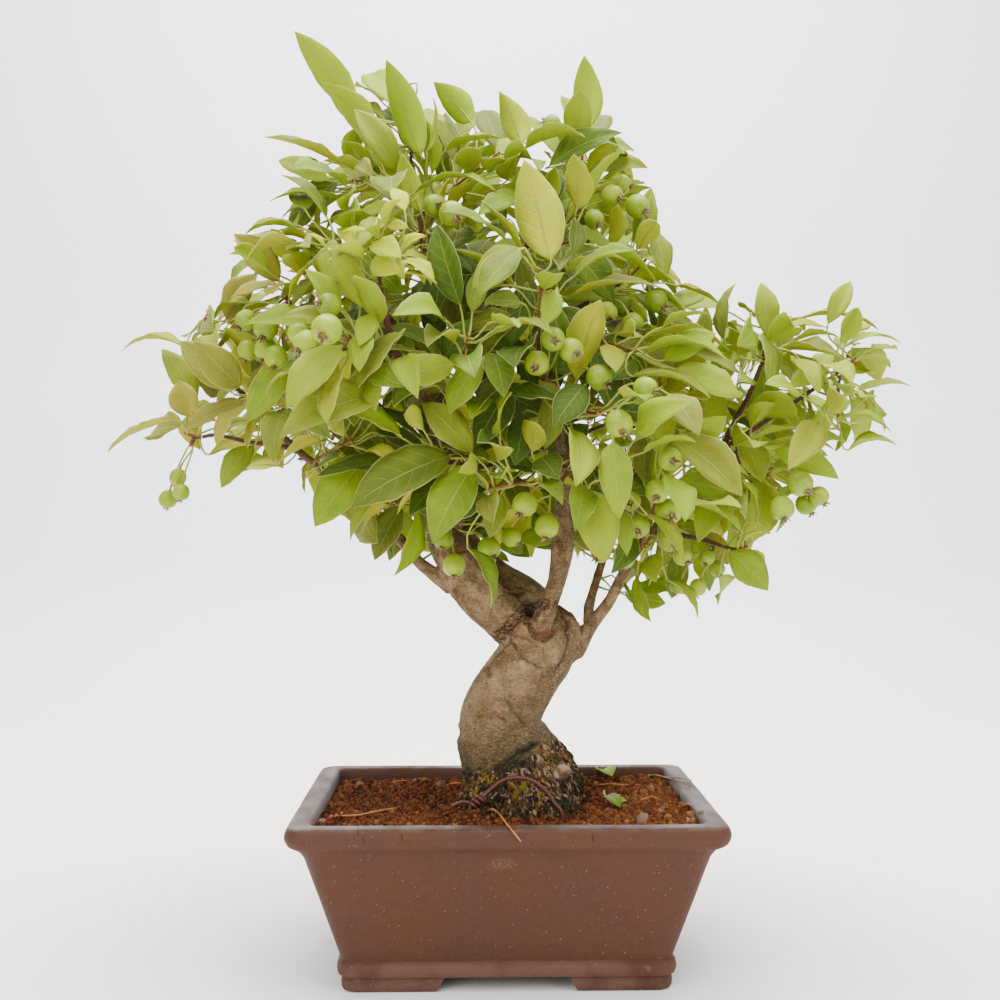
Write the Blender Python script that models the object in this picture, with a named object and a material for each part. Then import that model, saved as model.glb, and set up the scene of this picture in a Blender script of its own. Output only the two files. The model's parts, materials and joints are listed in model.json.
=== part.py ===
"""A hall crabapple bonsai with green fruit, in a brown rectangular pot: one solid for each separate piece.

Metres, +Z up. The origin is the middle of the pot's footprint, on the surface that it stands on. +X is to
the right along the pot's long side, and -Y is the tree's front. The pot is worked out from its own sizes. The
tree's points are read in the front view, as Sight says, and its leaves then grow along their stems by a rule.
"""

import math
import random
from dataclasses import dataclass, field

import bpy
from mathutils import Matrix, Vector
from mathutils.bvhtree import BVHTree

MM = 0.001
GAP = 0.3 * MM

# The pot
POT_LENGTH = 0.2235
POT_DEPTH = 0.172
POT_HEIGHT = 0.0885
RIM_DROP = 0.0120
RIM_OVERHANG = 0.0075
RIM_WIDTH = 0.012
BODY_TAPER = 0.0185
FOOT_HEIGHT = 0.0075
FLOOR_TOP = 0.0155
ROLL_TOP = 0.0157
ROLL_PROUD = 0.0019
FOOT_WALL = 0.0135
FRONT_FOOT_GAP = 0.0645
SIDE_FOOT_GAP = 0.044
FOOT_END_SLANT = 0.003
DRAIN_RADIUS = 0.0075
DRAIN_SPREAD = 0.040

# What the pot holds
SOIL_TOP = 0.0825
SOIL_FALL = 0.0035
SOIL_LUMP = 0.9 * MM
MESH_SIDE = 0.030
MESH_THICKNESS = 0.0012
ROOT_CENTRE = Vector((0.0090, -0.0015))
ROOT_RADIUS = 0.0335
ROOT_DEEP = 0.058
WIRE_RADIUS = 0.0011

# Leaves and fruit
BLADE_THICKNESS = 0.8 * MM
STALK_RADIUS = 0.55 * MM
TEST_PAD = 0.7 * MM

# Shoots: their stems, the nodes along them, and how leaves and fruit are shared out among the nodes
SHOOT_RADIUS = 1.1 * MM
TIP_RADIUS = 0.7 * MM
NODE_LENGTH = 2.2 * MM
NODE_CROWDING = 1.5
NODE_TURN = 0.7
LEAVES_A_NODE = 2.6
FRUITS_A_NODE = 2.4
SIDE_PULL = 8 * MM
STEM_CLEAR = 6 * MM
SPUR_RADIUS = 1.3 * MM
SPUR_NODE = 2.5 * MM
SHOOT_LEAD = 2.5 * MM
FORK_LEAD = 1.5 * MM
SEAT_PROBE = 30 * MM
LEAF_TRIES = 12
SEED = 20
CALYX = 0.22
CROWN_CENTRE = Vector((0.0, 0.0, 0.315))
CROWN_HALF = Vector((0.262, 0.139, 0.212))

# The front view in which the tree was read: where it is seen from, which way it looks, and its units a radian
VIEW_FROM = Vector((-0.0173, -0.7208, 0.2408))
VIEW_TURN = -0.0204
VIEW_RISE = 0.0153
VIEW_UNITS = 1290.0
VIEW_MIDDLE = 500.0
RING_START = Vector((0.31, -0.87, 0.12))

Solid = tuple[list[Vector], list[tuple[int, ...]]]
Sight = tuple[float, float, float]  # across and down the front view, and the depth past the origin in mm


def view_axes() -> Matrix:
    """The front view's own axes: across, away and up."""
    return Matrix.Rotation(VIEW_TURN, 3, "Z") @ Matrix.Rotation(VIEW_RISE, 3, "X")


def seen(sight: Sight) -> Vector:
    """The point of the tree that a sight in the front view gives."""
    across, down, depth = sight
    ray = view_axes() @ Vector(((across - VIEW_MIDDLE) / VIEW_UNITS, 1, (VIEW_MIDDLE - down) / VIEW_UNITS))
    return VIEW_FROM + ray * ((depth * MM - VIEW_FROM.y) / ray.y)


def in_view(point: Vector) -> tuple[float, float]:
    """Where a point of the tree is seen: across and down the front view."""
    away = view_axes().transposed() @ (point - VIEW_FROM)
    return VIEW_MIDDLE + VIEW_UNITS * away.x / away.y, VIEW_MIDDLE - VIEW_UNITS * away.z / away.y


def smooth(points: list[Vector], spans: int) -> list[Vector]:
    """A Catmull-Rom curve through the points, each stretch of it in the given number of spans."""
    ends = [points[0] * 2 - points[1], *points, points[-1] * 2 - points[-2]]
    curve = []
    for a, b, c, d in zip(ends, ends[1:], ends[2:], ends[3:]):
        for step in range(spans):
            t = step / spans
            curve.append(((2 * b) + (c - a) * t + (2 * a - 5 * b + 4 * c - d) * t * t
                          + (3 * b - a - 3 * c + d) * t ** 3) / 2)
    return [*curve, points[-1].copy()]


def square_to(direction: Vector, wish: Vector) -> Vector:
    """The unit vector nearest to the wish that stands square to the direction."""
    flat = wish - direction * wish.dot(direction) / direction.length_squared
    if flat.length < 1e-6:
        return direction.orthogonal().normalized()
    return flat.normalized()


def tube(points: list[Vector], radii: list[float], sides: int) -> Solid:
    """A closed round tube along the points, with flat ends."""
    verts: list[Vector] = []
    side = None
    for i, point in enumerate(points):
        along = (points[min(i + 1, len(points) - 1)] - points[max(i - 1, 0)]).normalized()
        side = square_to(along, side if side else RING_START)
        other = along.cross(side)
        for k in range(sides):
            turn = math.tau * k / sides
            verts.append(point + radii[i] * (side * math.cos(turn) + other * math.sin(turn)))
    return verts, skin(len(points), sides)


def skin(rings: int, sides: int) -> list[tuple[int, ...]]:
    """The faces of a closed body whose vertices come ring by ring, each ring turning the same way."""
    faces: list[tuple[int, ...]] = [tuple(reversed(range(sides)))]
    for ring in range(rings - 1):
        for k in range(sides):
            a, b = ring * sides + k, ring * sides + (k + 1) % sides
            faces.append((a, b, b + sides, a + sides))
    faces.append(tuple(range((rings - 1) * sides, rings * sides)))
    return faces


def ring_of(middle: Vector, along: Vector, radius: float, turn: float, sides: int = 3) -> list[Vector]:
    """A ring round a direction, turning left as seen from where it points."""
    side = square_to(along, RING_START)
    other = along.normalized().cross(side)
    angles = [turn + math.tau * k / sides for k in range(sides)]
    return [middle + radius * (side * math.cos(angle) + other * math.sin(angle)) for angle in angles]


@dataclass
class Body:
    """A closed body in the making: its points and its faces."""

    points: list[Vector] = field(default_factory=list)
    faces: list[tuple[int, ...]] = field(default_factory=list)

    def add(self, points: list[Vector], faces: list[tuple[int, ...]] | None = None) -> list[int]:
        """Add points and the faces among them, and give the points' numbers."""
        start = len(self.points)
        self.points += points
        self.faces += [tuple(start + corner for corner in face) for face in faces or []]
        return list(range(start, len(self.points)))

    def bridge(self, hole: list[int], ring: list[int]) -> None:
        """Join an opening of three or four points to a ring of three, with as little twist as can be."""
        best = None
        for offset in range(3):
            for skip in range(4) if len(hole) == 4 else (None,):
                match = [ring[offset % 3]]
                step = offset
                for edge in range(len(hole) - 1):
                    step += edge != skip
                    match.append(ring[step % 3])
                length = sum((self.points[a] - self.points[b]).length for a, b in zip(hole, match))
                if best is None or length < best[0]:
                    best = (length, match)
        match = best[1]
        for k, corner in enumerate(hole):
            after = (k + 1) % len(hole)
            if match[k] == match[after]:
                self.faces.append((corner, hole[after], match[k]))
            else:
                self.faces.append((corner, hole[after], match[after], match[k]))


@dataclass
class Stem:
    """A trunk, limb, branch or shoot: a smooth line with a radius that falls along it."""

    name: str
    points: list[Vector]
    radii: list[float]
    sides: int = 5
    spans: int = 2
    line: list[Vector] = field(default_factory=list)

    def __post_init__(self) -> None:
        """Work out the smooth line, unless it is given."""
        if not self.line:
            self.line = smooth(self.points, self.spans) if len(self.points) > 2 else list(self.points)

    def radius(self, share: float) -> float:
        """The radius at a share of the way along."""
        place = share * (len(self.radii) - 1)
        low = min(int(place), len(self.radii) - 2)
        return self.radii[low] + (self.radii[low + 1] - self.radii[low]) * (place - low)

    def at(self, share: float) -> tuple[Vector, Vector]:
        """The point and the direction at a share of the way along."""
        place = share * (len(self.line) - 1)
        low = min(int(place), len(self.line) - 2)
        step = self.line[low + 1] - self.line[low]
        return self.line[low] + step * (place - low), step.normalized()

    def solid(self) -> Solid:
        """The stem as a closed tube."""
        last = len(self.line) - 1
        return tube(self.line, [self.radius(i / last) for i in range(last + 1)], self.sides)


@dataclass
class Twig(Stem):
    """A slim three-sided stem with short nodes along it, whose sides open into petioles and pedicels."""

    nodes: int = 1
    taken: dict[tuple[int, int], "Leaf | Fruit | Twig"] = field(default_factory=dict)

    def spread(self) -> list[tuple[float, float]]:
        """The shares of the way along at which each node starts and ends, closer together towards the tip."""
        length = sum((b - a).length for a, b in zip(self.line, self.line[1:]))
        own = min(NODE_LENGTH / length, 0.85 / self.nodes)
        spare = 1 - self.nodes * own
        starts = [spare * (1 - (1 - (node + 1) / self.nodes) ** NODE_CROWDING) + own * node
                  for node in range(self.nodes)]
        return [(start, start + own) for start in starts]

    def side(self, node: int, number: int) -> tuple[Vector, Vector]:
        """The middle of a node's side and the way that it faces."""
        share = sum(self.spread()[node]) / 2
        middle, along = self.at(share)
        corners = ring_of(middle, along, self.radius(share), NODE_TURN * node)
        foot = (corners[number] + corners[(number + 1) % 3]) / 2
        return foot, (foot - middle).normalized()

    def free_sides(self) -> list[tuple[int, int]]:
        """Every side of a node on which nothing grows yet."""
        places = [(node, number) for node in range(self.nodes) for number in range(3)]
        return [place for place in places if place not in self.taken]

    def solid(self) -> Solid:
        """The stem alone, as a closed body."""
        rings = [(0.0, 0.0)]
        for node, ends in enumerate(self.spread()):
            rings += [(share, NODE_TURN * node) for share in ends]
        points = []
        for share, turn in rings:
            points += ring_of(*self.at(share), self.radius(share), turn)
        return points, skin(len(rings), 3)

    def build(self, body: Body, mouth: list[int] | None = None) -> None:
        """Build the stem with all that grows on it, from a mouth in another stem or from its own flat end."""
        points, faces = self.solid()
        numbers = body.add(points)
        if mouth:
            body.bridge(mouth, numbers[:3])
            faces = faces[1:]
        for face in faces:
            ring, number = divmod(face[0], 3)
            piece = self.taken.get(((ring - 1) // 2, number)) if ring % 2 and len(face) == 4 else None
            corners = [numbers[corner] for corner in face]
            if piece is None:
                body.faces.append(tuple(corners))
            elif isinstance(piece, Twig):
                piece.build(body, corners)
            else:
                body.bridge(corners, body.add(*piece.shape())[:3])


def best_side(twigs: list[Twig], wish: Vector) -> tuple[Twig, tuple[int, int]]:
    """The free side from which a point is best reached."""
    def cost(choice: tuple[Twig, tuple[int, int]]) -> float:
        foot, out = choice[0].side(*choice[1])
        return (wish - foot).length - SIDE_PULL * out.dot((wish - foot).normalized())
    return min(((twig, place) for twig in twigs for place in twig.free_sides()), key=cost)


def closed(piece: "Leaf | Fruit", pad: float = 0.0, from_foot: float = 0.0) -> Solid:
    """A leaf or a fruit as a closed body, moved out by the pad, its stalk cut off short of its foot."""
    points, faces = piece.shape(pad)
    way = sum(points[:3], Vector()) / 3 - piece.foot
    share = min(from_foot / way.length, 0.8)
    radius = NODE_LENGTH / 2 * (1 - share) + STALK_RADIUS * share + pad
    body = Body()
    mouth = body.add(ring_of(piece.foot + way * share, way, radius, 0.0))
    body.faces.append(tuple(reversed(mouth)))
    body.bridge(mouth, body.add(points, faces)[:3])
    return body.points, body.faces


@dataclass
class Leaf:
    """One leaf: a petiole from its stem, and a blade that folds along its midrib, arches and ripples."""

    foot: Vector
    base: Vector
    tip: Vector
    face: Vector
    width: float
    arch: float = 0.09
    fold: float = 0.35
    phase: float = 0.0

    def axes(self) -> tuple[Vector, Vector, Vector]:
        """The blade's own axes: to its tip, to its right and up from its face."""
        along = (self.tip - self.base).normalized()
        up = square_to(along, self.face)
        return along, along.cross(up), up

    def half_width(self, share: float) -> float:
        """Half the blade's width at a share of its length: ovate, drawn out to a point."""
        return self.width / 2 * math.sin(math.pi * share ** 0.86) ** 0.8 * (1.06 - 0.12 * share)

    def point(self, share: float, across: float, lift: float) -> Vector:
        """A point of the blade, from 0 to 1 along it, from -1 to 1 across it, and lifted off its face."""
        along, right, up = self.axes()
        length = (self.tip - self.base).length
        half = self.half_width(share) * across
        rise = 4 * self.arch * length * share * (1 - share) + lift
        ripple = 0.13 * math.sin(self.phase + 8.5 * share + (2.1 if across > 0 else 0))
        rise += abs(half) * (math.sin(self.fold) + ripple * abs(across))
        return self.base + along * length * share + right * half * math.cos(self.fold) + up * rise

    def shape(self, pad: float = 0.0) -> Solid:
        """The blade, open at the ring of three points where its petiole comes, its two faces split alike.

        Args:
            pad: how far the blade's faces are moved out, when room for it is looked for.
        """
        along, right, up = self.axes()
        half = BLADE_THICKNESS / 2 + pad
        way = ((self.base - self.foot).normalized() + along).normalized()
        up = square_to(way, up)
        right = way.cross(up) * (STALK_RADIUS + pad)
        points = [self.base + right + up * half, self.base - up * (half + STALK_RADIUS / 2),
                  self.base - right + up * half]
        for share in (0.34, 0.72):
            for lift in (half, -half):
                points += [self.point(share, across, lift) for across in (-1, 0, 1)]
        points += [self.point(1, 0, half), self.point(1, 0, -half)]
        root = [(2, 0, 4), (2, 4, 3), (0, 5, 4), (1, 6, 7), (1, 7, 8), (2, 3, 6), (2, 6, 1), (0, 1, 8),
                (0, 8, 5)]
        middle = [(3, 4, 10), (3, 10, 9), (4, 5, 11), (4, 11, 10), (6, 13, 7), (6, 12, 13), (7, 14, 8),
                  (7, 13, 14), (3, 9, 12), (3, 12, 6), (5, 8, 14), (5, 14, 11)]
        end = [(9, 10, 15), (10, 11, 15), (12, 16, 13), (13, 16, 14), (9, 15, 16), (9, 16, 12), (11, 14, 16),
               (11, 16, 15)]
        return points, root + middle + end


@dataclass
class Fruit:
    """One fruit on its pedicel, with its calyx at the far end."""

    foot: Vector
    centre: Vector
    radius: float

    def axis(self) -> Vector:
        """The way from the pedicel through the fruit to its calyx."""
        return ((self.centre - self.foot).normalized() * 0.75 + Vector((0, 0, -0.55))).normalized()

    def shape(self, pad: float = 0.0) -> Solid:
        """The fruit and its calyx, open at the ring of three points where its pedicel comes."""
        axis = self.axis()
        size = self.radius + pad
        points: list[Vector] = []
        rings = ((-0.9 * size, STALK_RADIUS * 1.3 + pad, 3), (-0.52 * size, size * 0.92, 6),
                 (0.42 * size, size * 0.96, 6), (0.98 * size, size * CALYX, 3),
                 (1.22 * size, size * CALYX * 1.9, 3))
        for along, reach, sides in rings:
            points += ring_of(self.centre + axis * along, axis, reach, 0.0, sides)
        faces: list[tuple[int, ...]] = [(18, 19, 20)]
        for k in range(3):
            after = (k + 1) % 3
            near, far, other = 3 + 2 * k, 3 + 2 * k + 1, 3 + 2 * after
            faces += [(k, far, near), (k, after, far), (after, other, far)]
            faces += [(near, far, far + 6, near + 6), (far, other, other + 6, far + 6)]
            faces += [(near + 6, far + 6, 15 + k), (far + 6, other + 6, 15 + after)]
            faces += [(far + 6, 15 + after, 15 + k), (15 + k, 15 + after, 18 + after, 18 + k)]
        return points, faces


def mm(x: float, y: float, z: float) -> Vector:
    """A point given in millimetres."""
    return Vector((x, y, z)) * MM


def stem(name: str, points: list[Sight | Vector], radii: list[float], sides: int = 5, spans: int = 1) -> Stem:
    """A stem through sights or points, with its radii in millimetres."""
    places = [point if isinstance(point, Vector) else seen(point) for point in points]
    return Stem(name, places, [radius * MM for radius in radii], sides, spans)


# The lower trunk, ring by ring: x, y and z of its middle, its radius in mm, and how far the roots swell it
TRUNK_RINGS = (
    (9.0, -1.5, 58.0, 33.5, 0.09), (9.0, -1.5, 85.5, 33.5, 0.09), (8.6, -1.5, 92.0, 32.8, 0.09),
    (7.0, -1.0, 98.5, 30.6, 0.09), (4.4, -0.5, 105.5, 28.0, 0.07), (1.0, 0.0, 113.5, 25.4, 0.05),
    (-2.0, 0.0, 122.0, 23.6, 0.03), (-2.6, 0.0, 131.0, 22.2, 0.02), (1.2, 0.0, 140.0, 21.6, 0.02),
    (7.0, 0.0, 149.5, 21.0, 0.0), (13.5, 0.3, 159.0, 20.4, 0.0), (18.8, 1.0, 168.0, 20.4, 0.0),
    (20.8, 2.0, 177.0, 19.8, 0.0), (19.6, 3.0, 185.0, 16.5, 0.0), (17.8, 4.0, 190.5, 10.5, 0.0),
)
TRUNK_SIDES = 15
ROOT_LOBES = 5
ROOT_TURN = 0.32

BRANCHES = (
    stem("leader", [mm(20, 2, 174), mm(14, 7.5, 186.5), mm(4.5, 12, 194.5), mm(-7, 17, 202),
                    mm(-18, 21.5, 211.5), mm(-27, 24.5, 223), (449, 535, 25), (446, 500, 25),
                    (444, 460, 24), (440, 420, 22),
                    (436, 375, 20), (433, 330, 16), (428, 280, 12), (424, 235, 8), (418, 195, 4),
                    (412, 165, 0)],
         [16.5, 17.8, 17.4, 16.4, 15.4, 14.6, 13.2, 11.2, 9.4, 7.8, 6.4, 5.0, 3.9, 2.9, 2.1, 1.4], 7),
    stem("left_limb", [mm(15, -3, 171), mm(6, -10, 181), mm(-4, -14, 190), mm(-14, -16, 199.5),
                       mm(-22, -16.5, 209), mm(-27, -15, 219), mm(-31, -12, 231), mm(-34, -10, 240)],
         [13.5, 13.0, 12.6, 12.3, 11.8, 10.6, 8.8, 6.8], 7),
    stem("left_front", [(449, 534, -10), (462, 500, -16), (472, 472, -26), (464, 446, -38), (447, 424, -46),
                        (429, 404, -56), (405, 370, -68), (390, 335, -78), (381, 287, -85)],
         [5.6, 5.0, 4.2, 3.6, 3.2, 2.8, 2.3, 1.8, 1.3]),
    stem("left_low", [(452, 588, -16), (438, 577, -14), (419, 562, -11), (409, 549, -9), (373, 514, -4),
                      (325, 473, 0), (294, 447, -3), (256, 409, -6), (220, 366, -9), (207, 345, -10)],
         [4.4, 4.0, 3.3, 3.2, 2.8, 2.4, 2.0, 1.7, 1.4, 1.2]),
    stem("left_low_fork", [(302, 453, -3), (280, 446, -4), (248, 442, -6), (218, 435, -8), (202, 437, -10)],
         [1.6, 1.4, 1.2, 1.1, 1.0], 4),
    stem("front", [(534, 642, -8), (541, 625, -20), (548, 605, -25), (557, 580, -28), (562, 550, -30),
                   (563, 515, -32), (566, 475, -36), (563, 450, -38), (553, 410, -44), (543, 388, -48)],
         [6.4, 5.8, 5.0, 4.9, 6.4, 5.2, 4.4, 3.6, 2.6, 1.9]),
    stem("right", [(568, 656, 0), (582, 641, 2), (591, 626, 3), (610, 600, 2), (620, 580, 0), (637, 549, -3),
                   (662, 522, -6), (690, 500, -9), (713, 478, -11), (723, 447, -12), (736, 419, -13),
                   (749, 395, -14), (761, 365, -15)],
         [4.8, 4.3, 3.9, 3.3, 3.0, 2.7, 2.4, 2.2, 2.0, 1.8, 1.6, 1.4, 1.2]),
    stem("right_dark", [(589, 632, 3), (589, 608, 8), (599, 572, 13), (612, 530, 18), (625, 490, 24),
                        (640, 450, 30)],
         [2.9, 2.7, 2.4, 2.0, 1.6, 1.3]),
    stem("far_right", [(722, 450, -12), (745, 435, -14), (775, 415, -17), (805, 395, -19), (830, 378, -20)],
         [1.5, 1.4, 1.3, 1.2, 1.0], 4),
    stem("right_drop", [(652, 531, -5), (680, 535, -12), (705, 540, -18), (722, 546, -22)],
         [1.5, 1.3, 1.2, 1.0], 4),
    stem("crown_left", [(435, 374, 20), (405, 335, 6), (372, 305, -14), (340, 292, -26), (318, 288, -32)],
         [2.6, 2.2, 1.8, 1.5, 1.2], 4),
    stem("crown_right", [(431, 318, 15), (455, 290, 12), (500, 255, 8), (545, 228, 4), (575, 212, 0)],
         [2.6, 2.3, 1.9, 1.5, 1.2], 4),
    stem("shoulder", [(440, 412, 22), (480, 375, 14), (530, 340, 4), (575, 310, -6), (606, 292, -12)],
         [3.0, 2.6, 2.2, 1.7, 1.2], 4),
    stem("back_low", [mm(-29, 26, 228), mm(-35, 55, 236), mm(-25, 80, 242), mm(-12, 98, 248)],
         [4.0, 3.0, 2.0, 1.3], 4),
    stem("back_left", [(446, 498, 26), mm(-50, 52, 262), mm(-75, 78, 277), mm(-96, 94, 290)],
         [3.8, 2.8, 2.0, 1.3], 4),
    stem("back_right", [(443, 465, 25), mm(-10, 52, 272), mm(30, 76, 287), mm(64, 92, 300)],
         [3.8, 2.8, 2.0, 1.3], 4),
    stem("back_high_left", [(437, 385, 21), mm(-45, 48, 335), mm(-56, 70, 350), mm(-62, 86, 362)],
         [3.0, 2.3, 1.7, 1.2], 4),
    stem("back_high_right", [(434, 345, 17), mm(-14, 42, 364), mm(18, 60, 378), mm(44, 74, 390)],
         [2.8, 2.2, 1.6, 1.2], 4),
    stem("back_far_right", [(612, 530, 18), mm(76, 46, 252), mm(100, 66, 268), mm(122, 76, 284)],
         [1.9, 1.7, 1.4, 1.1], 4),
)


@dataclass
class ShootPlan:
    """Where a leafy shoot leaves the wood, the points it passes, and how many leaves its rule gives it."""

    name: str
    on: str
    share: float
    points: list[Sight | Vector]
    leaves: int
    fork: list[Sight | Vector] = field(default_factory=list)
    size: float = 1.0


SHOOTS = (
    ShootPlan("shoot_crown_tip", "leader", 1.0, [(410, 140, -3), (402, 118, -5)], 4),
    ShootPlan("shoot_crown_left", "leader", 0.95, [(388, 185, -14), (352, 180, -24)], 6),
    ShootPlan("shoot_crown_back", "leader", 0.86, [(434, 212, 40), (442, 190, 66)], 10),
    ShootPlan("shoot_crown_right", "leader", 0.91, [(455, 186, -2), (500, 152, -14)], 7),
    ShootPlan("shoot_crown_front", "leader", 0.80, [(424, 252, -20), (418, 228, -38)], 7),
    ShootPlan("shoot_apex_right", "crown_right", 1.0, [(582, 180, -3), (582, 146, -4)], 7),
    ShootPlan("shoot_shoulder_right", "shoulder", 1.0, [(632, 275, -18), (652, 252, -22)], 8),
    ShootPlan("shoot_upper_right", "crown_right", 0.62, [(535, 248, -22), (578, 240, -48)], 6),
    ShootPlan("shoot_centre_high", "front", 1.0, [(538, 340, -60), (543, 268, -70)], 6),
    ShootPlan("shoot_centre_right", "shoulder", 0.72, [(590, 335, -35), (636, 352, -60)], 7),
    ShootPlan("shoot_centre", "front", 0.86, [(585, 412, -66), (615, 418, -80)], 7),
    ShootPlan("shoot_centre_left", "left_front", 0.52, [(458, 385, -66), (468, 335, -84)], 7),
    ShootPlan("shoot_young", "left_front", 1.0, [(378, 260, -88), (376, 236, -89)], 6, size=0.62),
    ShootPlan("shoot_left_front", "left_front", 0.84, [(362, 346, -94), (334, 352, -104)], 6),
    ShootPlan("shoot_left_upper", "crown_left", 1.0, [(297, 290, -40), (278, 303, -46)], 7),
    ShootPlan("shoot_upper_left", "crown_left", 0.6, [(352, 275, -42), (332, 240, -56)], 7),
    ShootPlan("shoot_far_left_up", "left_low", 1.0, [(203, 330, -10), (207, 314, -11)], 4),
    ShootPlan("shoot_far_left", "left_low_fork", 1.0, [(193, 436, -11), (184, 433, -12)], 4),
    ShootPlan("shoot_left_mid", "left_low", 0.76, [(272, 398, -30), (288, 378, -46)], 7),
    ShootPlan("shoot_left_low", "left_low", 0.6, [(333, 450, -30), (352, 440, -52)], 7),
    ShootPlan("shoot_front_left", "left_front", 0.36, [(446, 458, -60), (424, 468, -72)], 6),
    ShootPlan("shoot_low_left", "left_low", 0.42, [(392, 505, -26), (408, 497, -36)], 6),
    ShootPlan("shoot_low_centre", "front", 0.62, [(525, 482, -58), (485, 490, -66)], 6),
    ShootPlan("shoot_low_front", "front", 0.74, [(592, 468, -60), (620, 478, -76)], 7),
    ShootPlan("shoot_right_low", "right", 0.5, [(652, 512, -34), (668, 478, -56)], 8),
    ShootPlan("shoot_right_drop", "right_drop", 1.0, [(736, 549, -24), (748, 546, -26)], 6),
    ShootPlan("shoot_right_mid", "right", 0.78, [(745, 475, -28), (770, 463, -36)], 7),
    ShootPlan("shoot_right_up", "right", 1.0, [(763, 345, -16), (765, 326, -17)], 7),
    ShootPlan("shoot_far_right", "far_right", 1.0, [(845, 368, -22), (856, 358, -24)], 9,
              [(838, 400, -32), (838, 430, -40)]),
    ShootPlan("shoot_right_inner", "right_dark", 1.0, [(655, 425, 34), (678, 395, 30)], 10),
    ShootPlan("shoot_back_low", "back_low", 1.0, [mm(5, 108, 256), mm(24, 112, 262)], 11),
    ShootPlan("shoot_back_left", "back_left", 1.0, [mm(-112, 98, 303), mm(-122, 92, 322)], 12,
              [mm(-128, 70, 300)]),
    ShootPlan("shoot_back_right", "back_right", 1.0, [mm(84, 98, 312), mm(98, 92, 332)], 12,
              [mm(88, 112, 318)]),
    ShootPlan("shoot_back_high_left", "back_high_left", 1.0, [mm(-68, 92, 382), mm(-72, 86, 404)], 12,
              [mm(-40, 106, 376)]),
    ShootPlan("shoot_back_high_right", "back_high_right", 1.0, [mm(58, 82, 404), mm(64, 78, 424)], 12,
              [mm(30, 98, 402)]),
    ShootPlan("shoot_back_far_right", "back_far_right", 1.0, [mm(136, 72, 300), mm(146, 60, 314)], 10,
              [mm(140, 74, 276)]),
)


@dataclass
class LeafPlan:
    """A leaf that shows in the front view: its blade's base and tip, its width in mm, and how it faces."""

    shoot: str
    base: Sight
    tip: Sight
    width: float
    facing: str


FACINGS = {"up": Vector((0, -0.3, 1)), "front": Vector((0, -1, 0.45)), "under": Vector((0, 0.9, 0.55)),
           "left": Vector((-0.9, -0.45, 0.3)), "right": Vector((0.9, -0.45, 0.3))}

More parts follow.
